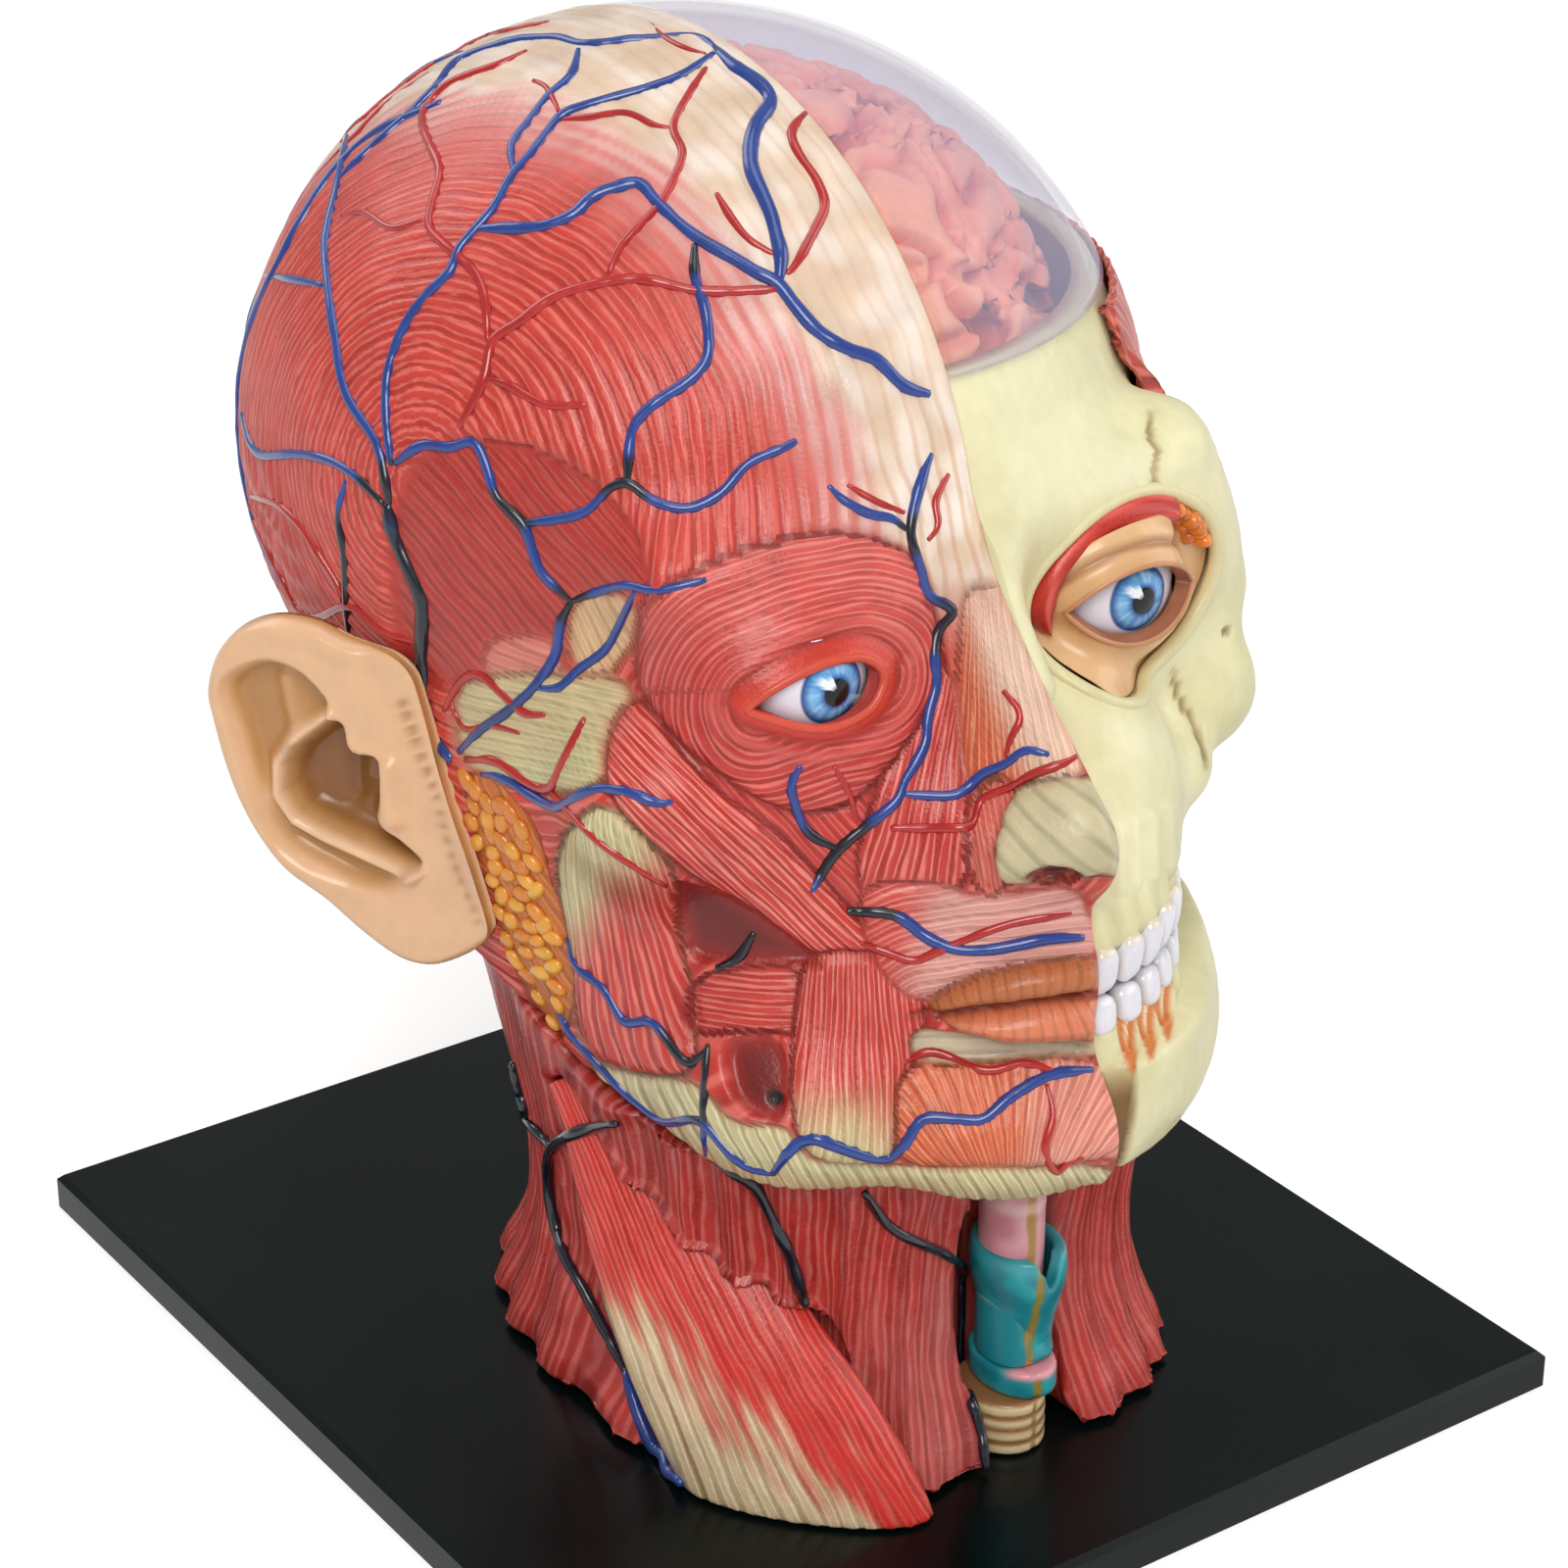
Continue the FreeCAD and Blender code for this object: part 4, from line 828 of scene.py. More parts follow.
def paint_scalp(skin):
    """Ring-shaped fibres of the scalp about the temple, under a cream sheet along the seam."""
    p = skin.points
    away = unit(p - head_centre)
    middle = unit(scalp_centre - head_centre)
    turn = np.arccos(np.clip(away @ middle, -1.0, 1.0))
    across = turn * 50.0
    side = np.cross(middle, [0.0, 0.0, 1.0])
    along = np.arctan2(away @ side, away @ np.cross(side, middle)) * 40.0
    everywhere = np.ones(skin.height.shape)
    bold = 0.16 + 0.14 * smooth_step(-0.4, 0.6, noise(p, 13.0, 19))
    skin.ridges(across + 0.35 * noise(p, 9.0, 18), along, temple_pitch, everywhere, bold, (198, 46, 36),
                (226, 118, 104), 0.75)
    sheet_edge = np.interp(p[..., 1], [-31.0, -20.0, -4.0, 12.6, 40.0, 60.0],
                           [10.0, 14.3, 15.4, 19.0, 24.0, 30.0])
    across_seam = np.abs(p[..., 0]) - sheet_edge + 1.3 * noise(p, 5.0, 11)
    high = smooth_step(96.0, 108.0, p[..., 2])
    lavender = (1.0 - smooth_step(4.0, 12.0, across_seam)) * high
    tint = paint_mix((224, 178, 172), (214, 130, 124), smooth_step(1.0, 9.0, across_seam))
    streak = smooth_step(-0.3, 0.7, np.cos(2 * math.pi * across / temple_pitch))
    skin.lay(lavender * (1.0 - 0.35 * streak), paint=tint)
    sheet = (1.0 - smooth_step(-1.0, 3.0, across_seam)) * high
    clouds = smooth_step(-0.5, 0.5, noise(p * np.array([1.0, 0.45, 1.0]), 4.0, 9))
    sheet_paint = paint_mix((226, 208, 180), (243, 239, 225), clouds)
    flow = np.abs(p[..., 0]) * 1.0 + 0.6 * noise(p, 6.0, 14)
    fine = smooth_step(0.2, 1.0, np.cos(2 * math.pi * flow / 1.9))
    low_front = smooth_step(128.0, 112.0, p[..., 2]) * smooth_step(-15.0, -25.0, p[..., 1])
    sheet_paint = paint_mix(sheet_paint, (208, 168, 132), fine * (0.2 + 0.4 * low_front))
    skin.lay(sheet, height=0.15 * (clouds - 0.5), paint=sheet_paint)
    skin.lay(sheet, add=-0.1 * fine)


def paint_back(skin):
    """Upright fibres at the back of the head and over the nape, which the photograph shows only in part."""
    p = skin.points
    turn = np.arctan2(p[..., 0], p[..., 1] - 10.0)
    across = turn * 46.0 + 0.8 * skin.wobble
    back = smooth_step(14.0, 26.0, p[..., 1])
    low = smooth_step(112.0, 100.0, p[..., 2] + 3.0 * noise(p, 14.0, 21))
    cover = back * low
    fade = smooth_step(96.0, 78.0, p[..., 2])
    base = paint_mix((198, 52, 40), olive_cream, fade * 0.85)
    line = paint_mix((228, 126, 116), (226, 216, 178), fade)
    skin.ridges(across, p[..., 2], 2.2, cover, 0.3, base, line, 0.75)
    nape = smooth_step(76.0, 70.0, p[..., 2]) * back
    skin.ridges(across * 0.9 + p[..., 2] * 0.35, p[..., 2], 2.5, nape, 0.35, (192, 46, 38),
                (228, 122, 112), 0.8)


def paint_regions(skin):
    """The muscles that the photograph shows, each with its own fibres."""
    for name, outline, height, groove, fibres, pitch, ridge, base, line, line_share, fade in face_regions:
        edge = outline_distance(skin.pixels, outline) + 2.4 * skin.wobble + 1.6 * skin.fine
        soft = region_softness.get(name, 4.0)
        cover = smooth_step(-soft, soft, edge) * skin.seen
        across, along = fibre_lines(skin.pixels, *fibres)
        base_paint = np.broadcast_to(np.asarray(base, float), skin.points.shape)
        line_paint = np.broadcast_to(np.asarray(line, float), skin.points.shape)
        if fade:
            start, end, end_base, end_line = fade
            way = np.subtract(end, start).astype(float)
            share = ((skin.pixels - start) @ way) / (way @ way)
            share = smooth_step(0.0, 1.0, share + 0.25 * skin.wobble)
            base_paint = paint_mix(base_paint, end_base, share)
            line_paint = paint_mix(line_paint, end_line, share)
        plateau = smooth_step(-4.0, 14.0, edge)
        skin.lay(cover, height=skin_level + height + 0.55 * (plateau - 0.5))
        if name in region_fullness:
            rise, reach_in = region_fullness[name]
            skin.lay(cover, add=rise * (1.0 - (1.0 - np.clip(edge / reach_in, 0.0, 1.0)) ** 2))
        skin.ridges(across / pixels_per_mm, along / pixels_per_mm, pitch * fibre_fineness / pixels_per_mm,
                    cover,
                    ridge * 0.8, base_paint, line_paint, line_share)
        # painted shade: each region's colour darkens in the groove along its edge
        rim = np.exp(-((edge + 1.0) / 3.2) ** 2) * skin.seen
        skin.lay(rim * min(groove * 1.1, 0.7), paint=np.array(base) * 0.62)
        skin.lay(rim, add=-groove * 0.5)
    for outline, depth, paint in face_pockets:
        edge = outline_distance(skin.pixels, outline)
        skin.lay(smooth_step(-2.0, 10.0, edge) * skin.seen, height=depth, paint=paint)
        # painted shade, darker towards each pocket's middle
        shade = smooth_step(4.0, 26.0, edge) * skin.seen
        skin.lay(shade * 0.55, paint=np.array(paint) * 0.55)
    # painted shade in the small sunk spots
    for place, size, paint in pocket_spots:
        gap = np.linalg.norm((skin.pixels - place) / size, axis=-1)
        skin.lay(smooth_step(1.3, 0.7, gap) * skin.seen, paint=paint, add=-0.5)
    gap, _ = polyline_distance(skin.pixels, spline(mouth_line, 8.0))
    skin.lay(np.exp(-(gap / 5.0) ** 2) * skin.seen, add=-0.9)
    # painted shade in the crease between the lips
    skin.lay(np.exp(-(gap / 3.4) ** 2) * skin.seen * 0.7, paint=(140, 70, 42))


def paint_lids(skin):
    """Smooth eyelids round the right eye's opening, with painted shade in the fold and a painted highlight
    beyond it.
    """
    rim = -outline_distance(skin.pixels, eye_opening) / pixels_per_mm
    upper = smooth_step(712.0, 690.0, skin.pixels[..., 1] + 0.26 * (skin.pixels[..., 0] - 830.0))
    lid = mix(2.4, 3.6, upper)
    cover = smooth_step(lid + 0.8, lid - 0.6, rim) * skin.seen
    skin.lay(cover, height=skin_level + 0.15, paint=(204, 56, 42))
    skin.lay(smooth_step(1.2, 0.3, rim) * skin.seen, paint=(222, 84, 56), add=0.15)
    fold = np.exp(-((rim - lid) / 0.6) ** 2) * skin.seen
    skin.lay(fold, add=-0.35)
    # painted shade in the fold above the lid
    skin.lay(fold * 0.5, paint=(134, 30, 26))
    # painted highlight on the raised band beyond the fold
    light = np.exp(-((rim - lid - 1.7) / 0.9) ** 2) * skin.seen
    skin.lay(light * 0.45, paint=(226, 120, 108), add=0.15)


face_columns = 360
face_low_rows = 165
face_high_rows = 135
inner_columns = 90
face_inner_low_rows = 44
face_inner_high_rows = 34
eye_front_reach = 5.0


def dress_face():
    angles = column_angles(face_columns)
    grid = head_grid(muscle_form, right_side, 0.0, angles, face_low_rows, face_high_rows, head_border)
    rim = -outline_distance(to_photo(grid), eye_opening) / pixels_per_mm
    rim = np.where(grid[..., 1] < right_eye[1] + eye_front_reach, rim, 20.0)
    grid, rim = snap(grid, rim)
    normals = form_normals(muscle_form, grid)
    skin = Skin(grid, normals, skin_level, red)
    paint_scalp(skin)
    paint_back(skin)
    paint_regions(skin)
    paint_lids(skin)
    seam = smooth_step(0.0, 1.6, np.abs(grid[..., 0]))
    skin.height = mix(-0.25, skin.height, np.clip(seam, 0.0, 1.0))
    moved = grid + normals * skin.height[..., None]
    moved[:, [0, -1], 0] = 0.0
    moved[..., 0] = np.minimum(moved[..., 0], 0.0)
    moved[..., 2] = np.minimum(moved[..., 2], head_centre_z + head_half_height - 0.2)
    moved[..., 1] = np.minimum(moved[..., 1], head_centre_y + head_half_depth - 0.1)
    inner = head_grid(muscle_form, right_side, -shell_wall - 0.8, column_angles(inner_columns),
                      face_inner_low_rows, face_inner_high_rows, head_border)
    near_eye = np.hypot(inner[..., 0] - right_eye[0], inner[..., 2] - right_eye[2]) - 12.0
    near_eye = np.where(inner[..., 1] < right_eye[1] + eye_front_reach, near_eye, 20.0)
    shape = Shape()
    numbers = grid_numbers(*grid.shape[:2])
    outer_faces = np.empty((0, 4), int)
    wall_shape(shape, moved, outer_faces, inner, faces_outside(grid_numbers(*inner.shape[:2]), near_eye),
               skin.paint, (176, 60, 50), skin)
    shape.join(faces_outside(numbers, rim))
    make_piece("face_muscles", shape, flesh, "muscle_shell", ["face_shell_right"])
    return moved, numbers


def lens_line(slit, count):
    """Points round an eye-shaped outline, as x and z."""
    x, z, half_width, half_height = slit
    radius = (half_width ** 2 + half_height ** 2) / (2 * half_height)
    half_turn = math.asin(half_width / radius)
    turn = np.linspace(-half_turn, half_turn, count // 2 + 1)[:-1]
    upper = np.stack([x + radius * np.sin(turn), z - radius + half_height + radius * np.cos(turn)], -1)
    lower = np.stack([x - radius * np.sin(turn), z + radius - half_height - radius * np.cos(turn)], -1)
    return np.vstack([upper, lower])


def ring_tube(shape, line, radius, sides, paint):
    """Tube round a closed line."""
    tangent = unit(np.roll(line, -1, axis=0) - np.roll(line, 1, axis=0))
    across = unit(np.cross(tangent, [0.0, 1.0, 0.0]))
    other = np.cross(tangent, across)
    turn = np.arange(sides) / sides * 2 * math.pi
    radius = np.broadcast_to(np.asarray(radius, float), (len(line),))
    ring = np.cos(turn)[None, :, None] * across[:, None] + np.sin(turn)[None, :, None] * other[:, None]
    points = line[:, None] + ring * radius[:, None, None]
    first = shape.add(points.reshape(-1, 3), paint)
    numbers = grid_numbers(len(line), sides, first)
    numbers = np.vstack([numbers, numbers[:1]])
    shape.join(grid_faces(numbers, closed=True))


def dress_eye(name, centre, node, body):
    """Eyeball turned about its line of sight, with rings exactly at the pupil, iris and white."""
    pupil = 1.45
    iris = 3.75
    bulge = 0.55
    steps = [0.0, 0.5, 1.0, pupil - 0.05, pupil + 0.05, 2.1, 2.8, 3.4, iris - 0.1, iris + 0.15, 4.2, 5.0,
             6.0, 7.0]
    turns = [math.asin(s / eye_radius) for s in steps]
    turns += list(np.linspace(turns[-1], math.pi - 0.05, 16)[1:])
    turns = np.array(turns)
    round_turn = np.arange(64) / 64 * 2 * math.pi
    reach_out = eye_radius - 0.08
    cornea = bulge * smooth_step(0.5, 0.0, turns)
    radius = (reach_out - bulge * 0.5 + cornea * 0.9)[:, None]
    x = radius * np.sin(turns)[:, None] * np.cos(round_turn)
    z = radius * np.sin(turns)[:, None] * np.sin(round_turn)
    y = -radius * np.cos(turns)[:, None] + 0 * round_turn
    points = centre + np.stack([x, y, z], -1)
    flat = eye_radius * np.sin(turns)[:, None] + 0 * round_turn
    front = (turns < 1.2)[:, None] & np.ones(64, bool)
    spokes = noise(np.stack([np.cos(round_turn) * 6 + 0 * x, np.sin(round_turn) * 6 + 0 * x, flat * 0.4],
                            -1), 1.0, 31)
    # painted shade: the white darkens towards the sides of the eyeball
    white = paint_mix((232, 228, 240), (206, 190, 206), smooth_step(5.0, 9.0, flat))
    blood = smooth_step(0.55, 0.9, noise(points, 1.6, 33)) * smooth_step(6.0, 8.5, flat)
    white = paint_mix(white, (206, 110, 104), 0.5 * blood)
    blue = paint_mix((78, 150, 214), (150, 200, 238), smooth_step(-0.6, 0.8, spokes))
    blue = paint_mix(blue, (34, 74, 140), smooth_step(iris - 0.9, iris, flat))
    blue = paint_mix(blue, (40, 84, 150), smooth_step(pupil + 0.6, pupil, flat))
    paint = np.where(((flat < iris) & front)[..., None], blue, white)
    paint = np.where(((flat < pupil) & front)[..., None], np.array([8, 8, 12.0]), paint)
    # painted highlight: a white spot on the iris beside the pupil
    spark = np.hypot((x + 1.0) / 0.75, (z - 1.1) / 0.6)
    paint = np.where(((spark < 1.0) & front & (flat < iris))[..., None], np.array([236, 244, 252.0]), paint)
    shape = Shape()
    first = shape.add(points[1:].reshape(-1, 3), paint[1:].reshape(-1, 3))
    numbers = grid_numbers(len(turns) - 1, 64, first)
    shape.join(grid_faces(numbers, closed=True))
    tip = shape.add(points[0, :1], paint[0, :1])
    shape.join(fan(list(numbers[0])[::-1], tip))
    back = shape.add([centre + [0.0, eye_radius - 0.3, 0.0]], white[-1, :1])
    shape.join(fan(list(numbers[-1]), back))
    return make_piece(name, shape, eye_gloss, body, [node])


flesh = surface_material("flesh", roughness=0.36, coat=0.22, stroke=0.05, grain_size=0.45, grain_depth=0.09,
                         blotch=0.09, blotch_size=5.0, specular=0.4, fibres=True)
eye_gloss = surface_material("eye_gloss", roughness=0.1, coat=0.4, stroke=0.0, grain_depth=0.0, blotch=0.02,
                             rough_change=0.02, specular=0.3)
face_grid, face_numbers = dress_face()
face_tree = mesh_tree(face_grid, grid_faces(face_numbers))


# Pieces that follow their CAD node's own shape
def remeshed(node, voxel, relax=2):
    """Points, normals and faces of a CAD node as an even, smoothed mesh, in millimetres."""
    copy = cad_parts[node].copy()
    copy.data = copy.data.copy()
    copy.parent = None
    bpy.context.scene.collection.objects.link(copy)
    modifier = copy.modifiers.new("even", "REMESH")
    modifier.mode = "VOXEL"
    modifier.voxel_size = voxel * metres_per_mm
    smoother = copy.modifiers.new("smoother", "SMOOTH")
    smoother.iterations = relax
    smoother.factor = 0.5
    graph = bpy.context.evaluated_depsgraph_get()
    mesh = bpy.data.meshes.new_from_object(copy.evaluated_get(graph))
    points = np.zeros(len(mesh.vertices) * 3)
    mesh.vertices.foreach_get("co", points)
    normals = np.zeros(len(mesh.vertices) * 3)
    mesh.vertices.foreach_get("normal", normals)
    faces = [tuple(face.vertices) for face in mesh.polygons]
    bpy.data.objects.remove(copy)
    bpy.data.meshes.remove(mesh)
    return points.reshape(-1, 3) / metres_per_mm, normals.reshape(-1, 3), faces


def recast(name, node, voxel, change, material, body, relax=2, span_shares=(0.0, 1.0)):
    """Piece with its CAD node's shape, with height and colour added by change(skin). The span shares
    narrow it between its node's left and right sides."""
    points, normals, faces = remeshed(node, voxel, relax)
    left, right = (corner[0] / metres_per_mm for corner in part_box(node))
    points[:, 0] = (left + (right - left) * span_shares[0] + (points[:, 0] - left)
                    * (span_shares[1] - span_shares[0]))
    skin = Skin(points, normals, 0.0, (200, 200, 200))
    change(skin)
    low, high = (np.array(corner) / metres_per_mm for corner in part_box(node))
    moved = np.clip(points + normals * skin.height[..., None], low, high)
    shape = Shape()
    shape.add(moved, skin.paint, skin)
    shape.join(faces)
    return make_piece(name, shape, material, body, [node])


# Skull side
bone_paint = (226, 220, 178)
# This olive is the bone's own tone in soft clouds, and also painted shade round sutures, seams and root
# hollows
bone_tone_and_shade = (196, 188, 134)
suture_paint = (128, 100, 52)
orbit_x = 20.0
orbit_z = 97.2
orbit_half_width = 13.4
orbit_half_height = 10.0
orbit_floor_y = -20.0
suture_lines = [
    [(1176, 421), (1173, 443), (1181, 459), (1178, 480), (1179, 502)],
    [(1197, 684), (1202, 711), (1216, 735), (1227, 759), (1232, 783)],
]
root_ridges = [(1142, 900), (1158, 892), (1176, 884), (1192, 874)]
root_hollows = [(1151, 1034, 1098, 10.0), (1171, 1026, 1082, 9.5), (1188, 1012, 1062, 8.5)]


def bone_tint(skin, level=1.0):
    """Ivory with olive tone in soft clouds."""
    p = skin.points
    clouds = smooth_step(-0.6, 0.9, noise(p, 16.0, 41) + 0.5 * noise(p, 5.0, 42))
    skin.paint = paint_mix(bone_paint, bone_tone_and_shade, 0.45 * clouds * level)
    fine = noise(p, 1.6, 43)
    skin.height = skin.height + 0.05 * fine


def orbit_distance(points, wider=0.0):
    """Distance from the orbit's oval edge, less than zero inside it, over the front of the skull."""
    x = (points[..., 0] - orbit_x) / (orbit_half_width + wider)
    z = (points[..., 2] - orbit_z) / (orbit_half_height + wider)
    away = (np.hypot(x, z) - 1.0) * orbit_half_height
    return np.where(points[..., 1] < orbit_floor_y, away, 20.0)


def orbit_place(turn, share=1.0):
    """Places round the orbit's oval, as x and z."""
    return (orbit_x + orbit_half_width * share * np.cos(turn),
            orbit_z + orbit_half_height * share * np.sin(turn))


skull_columns = 250
skull_rows = 190
skull_inner_rows = 50


def dress_skull():
    angles = column_angles(skull_columns)
    level = -skull_inset
    grid = head_grid(skull_form, left_side, level, angles, skull_rows, 0, skull_border, cap_cut_z)
    orbit = orbit_distance(grid)
    grid, orbit = snap(grid, orbit)
    normals = form_normals(skull_form, grid)
    skin = Skin(grid, normals, 0.0, bone_paint)
    bone_tint(skin)
    p = grid
    for line in suture_lines:
        gap, share = polyline_distance(skin.pixels, spline(line, 4.0))
        ends = smooth_step(0.0, 0.1, share) * smooth_step(1.0, 0.9, share)
        line_cover = smooth_step(4.6, 1.8, gap + 0.7 * noise(p, 1.2, 44)) * skin.seen * np.maximum(ends, 0.5)
        skin.lay(line_cover * 0.9, paint=suture_paint, add=-0.35)
        # painted shade: a broad darker band round each suture
        skin.lay(np.exp(-(gap / 11.0) ** 2) * 0.25 * skin.seen, paint=bone_tone_and_shade)
    spot = np.linalg.norm(skin.pixels - (1252, 644), axis=-1)
    skin.lay(smooth_step(6.0, 3.0, spot) * skin.seen, paint=(150, 128, 78), add=-0.5)
    for x, y in root_ridges:
        gap, share = polyline_distance(skin.pixels, [(x, y - 50), (x + 2, y + 10)])
        skin.lay(np.exp(-(gap / 6.0) ** 2) * skin.seen, add=0.35)
        # painted highlight along each raised root ridge
        skin.lay(np.exp(-(gap / 5.0) ** 2) * skin.seen * 0.3, paint=(238, 234, 204))
    brow = np.exp(-(((orbit - 2.2) / 1.6) ** 2))
    # painted highlight on the raised edge round the orbit
    skin.lay(brow * 0.3, paint=(236, 230, 196), add=0.25)
    temple_line = np.abs(np.hypot(p[..., 1] - 8.0, (p[..., 2] - 104.0) * 1.25) - 36.0)
    side_face = smooth_step(26.0, 34.0, p[..., 0])
    skin.lay(np.exp(-(temple_line / 1.3) ** 2) * side_face, add=0.3, paint=(216, 208, 160))
    ear_hole = np.hypot(p[..., 1] - 9.0, p[..., 2] - 78.0)
    # painted shade in the ear hole
    skin.lay(smooth_step(3.2, 2.0, ear_hole) * side_face, paint=(92, 70, 40), add=-1.6)
    lambda_line = [(58.0, 61.0), (62.0, 78.0), (57.0, 96.0), (45.0, 108.0), (36.0, 123.0)]
    zigzag, _ = polyline_distance(np.stack([p[..., 1] + 0.9 * noise(p, 1.3, 46), p[..., 2]], -1), lambda_line)
    back_face = smooth_step(8.0, 14.0, p[..., 0]) * smooth_step(28.0, 34.0, p[..., 1])
    skin.lay(smooth_step(0.75, 0.3, zigzag) * back_face * 0.8, paint=suture_paint, add=-0.3)
    squama = np.abs(np.hypot(p[..., 1] - 12.0, (p[..., 2] - 82.0) * 0.95) - 24.0 + 0.5 * noise(p, 2.0, 47))
    skin.lay(smooth_step(0.7, 0.25, squama) * side_face * smooth_step(84.0, 90.0, p[..., 2]) * 0.8,
             paint=suture_paint, add=-0.25)
    # painted shade along the seam at the front
    low_seam = smooth_step(3.0, 0.0, p[..., 0]) * smooth_step(-30.0, -36.0, p[..., 1])
    skin.lay(low_seam * 0.15, paint=bone_tone_and_shade)
    moved = grid + normals * np.minimum(skin.height, 0.9)[..., None]
    moved[:, [0, -1], 0] = 0.0
    moved[..., 0] = np.maximum(moved[..., 0], 0.0)
    moved[-1, :, 2] = cap_cut_z
    inner = head_grid(skull_form, left_side, level - skull_wall, column_angles(inner_columns),
                      skull_inner_rows,
                      0, skull_border, cap_cut_z)
    near = orbit_distance(inner, 0.5)
    shape = Shape()
    a, b = wall_shape(shape, moved, np.empty((0, 4), int), inner,
                      faces_outside(grid_numbers(*inner.shape[:2]), near),
                      skin.paint.reshape(-1, 3), (206, 196, 150))
    shape.join(faces_outside(a, orbit))
    shape.join(bridge(list(a[-1]), list(b[-1])))
    tree = mesh_tree(moved, grid_faces(grid_numbers(*grid.shape[:2])))
    turn = np.arange(120) / 120 * 2 * math.pi
    rim = []
    for angle in turn:
        x, z = orbit_place(angle)
        hit = tree.ray_cast(Vector((x, -90.0, z)), Vector((0.0, 1.0, 0.0)))[0]
        rim.append((x, hit[1] + 0.55, z))
    rim = np.array(rim)
    for _ in range(4):
        rim[:, 1] = rim[:, 1] * 0.5 + (np.roll(rim[:, 1], 1) + np.roll(rim[:, 1], -1)) * 0.25
    ring_tube(shape, rim, 0.85, 10, (218, 210, 164))
    steps = [0.0, 0.35, 0.7, 1.0]
    wall_x, wall_z = orbit_place(turn, 0.99)
    wall = np.array([np.stack([wall_x, mix(rim[:, 1], orbit_floor_y - 0.3, s), wall_z], -1) for s in steps])
    # painted shade: the orbit's wall darkens towards its back, darkest in the middle
    shade = np.repeat([(206, 196, 148), (150, 120, 84), (96, 66, 48), (70, 44, 34)], len(turn), axis=0)
    first = shape.add(wall.reshape(-1, 3), shade)
    numbers = grid_numbers(len(steps), len(turn), first)
    shape.join(grid_faces(numbers, closed=True))
    middle = shape.add([(orbit_x, orbit_floor_y - 0.3, orbit_z)], (60, 36, 30))
    shape.join(fan(list(numbers[-1]), middle))
    tooth_ridge(shape, skull_ridge_top, upper_ridge_low, True)
    make_piece("skull_bone", shape, bone, "figure", ["skull_left", "zygoma_left"])
    return rim


def dress_left_lids():
    """Tan eyelids of the left eye insert: a dome over the eyeball that runs out to the orbit's edge."""
    dome = eye_radius + 1.9
    rings = 56
    sides = 150
    turn = np.arange(sides + 1) / sides * 2 * math.pi
    degrees = np.degrees(turn)
    muscle_side = smooth_step(42.0, 66.0, degrees) * smooth_step(200.0, 178.0, degrees)
    gap_side = smooth_step(196.0, 206.0, degrees) * smooth_step(246.0, 226.0, degrees)
    edge_share = mix(mix(0.965, 0.9, gap_side), 0.82, muscle_side)
    edge_x, edge_z = orbit_place(turn, edge_share)
    rim_y = np.interp(turn, np.arange(len(orbit_rim)) / len(orbit_rim) * 2 * math.pi, orbit_rim[:, 1],
                      period=2 * math.pi)
    out = np.linspace(0.02, 1.0, rings)[:, None]
    x = mix(left_eye[0], edge_x, out)
    z = mix(left_eye[2], edge_z, out)
    flat = np.hypot(x - left_eye[0], z - left_eye[2])
    dome_y = left_eye[1] - np.sqrt(np.maximum(dome ** 2 - flat ** 2, 9.0))
    fold_in = smooth_step(5.4, 10.4, flat) * (1.0 - muscle_side)
    y = mix(dome_y, rim_y + 1.1, fold_in)
    grid = np.stack([x, y, z], -1)
    rim = lens_distance(x, z, *left_slit)
    grid, rim = snap(grid, rim)
    normals = unit(grid - left_eye)
    skin = Skin(grid, normals, 0.0, (222, 178, 128))
    skin.lay(smooth_step(2.4, 0.4, rim) * 0.35, paint=(196, 140, 92))
    skin.lay(smooth_step(0.5, 0.1, rim) * 0.7, paint=(176, 106, 72), add=0.1)
    crease = np.exp(-((rim - 2.2) / 0.45) ** 2) * smooth_step(left_eye[2], left_eye[2] + 2.0, grid[..., 2])
    skin.lay(crease, add=-0.45)
    # painted shade in the lid's crease
    skin.lay(crease * 0.7, paint=(158, 104, 66))
    skin.lay(smooth_step(6.0, 9.5, rim) * 0.4, paint=(196, 150, 100))
    skin.height += 0.06 * noise(grid, 2.4, 51)
    outer = grid + normals * skin.height[..., None]
    inner = left_eye + (grid - left_eye) * (1.0 - 1.5 / dome)
    shape = Shape()
    first = shape.add(outer.reshape(-1, 3), skin.paint.reshape(-1, 3))
    second = shape.add(inner.reshape(-1, 3), (190, 140, 96))
    a = grid_numbers(rings, sides + 1, first)
    b = grid_numbers(rings, sides + 1, second)
    shape.join(faces_outside(a, rim))
    shape.join(faces_outside(b, rim))
    shape.join(bridge(list(a[-1]), list(b[-1])))
    lens = lens_line((left_slit[0], left_slit[1], left_slit[2] + 0.1, left_slit[3] + 0.1), 90)
    depth = np.sqrt(np.maximum(dome ** 2 - (lens[:, 0] - left_eye[0]) ** 2 - (lens[:,
                                                                                   1] - left_eye[2]) ** 2,
                                                                                   1.0))
    line = np.stack([lens[:, 0], left_eye[1] - depth + 0.2, lens[:, 1]], -1)
    ring_tube(shape, line, 0.3, 8, (198, 138, 94))
    behind = left_eye + unit(line - left_eye) * (eye_radius + 0.04)
    first = shape.add(np.vstack([line, behind]), (164, 100, 72))
    shape.join(grid_faces(grid_numbers(2, len(line), first), closed=True))
    return make_piece("lids_left", shape, skin_gloss, "eye_insert", ["eyelids_left"], weld=0.01)


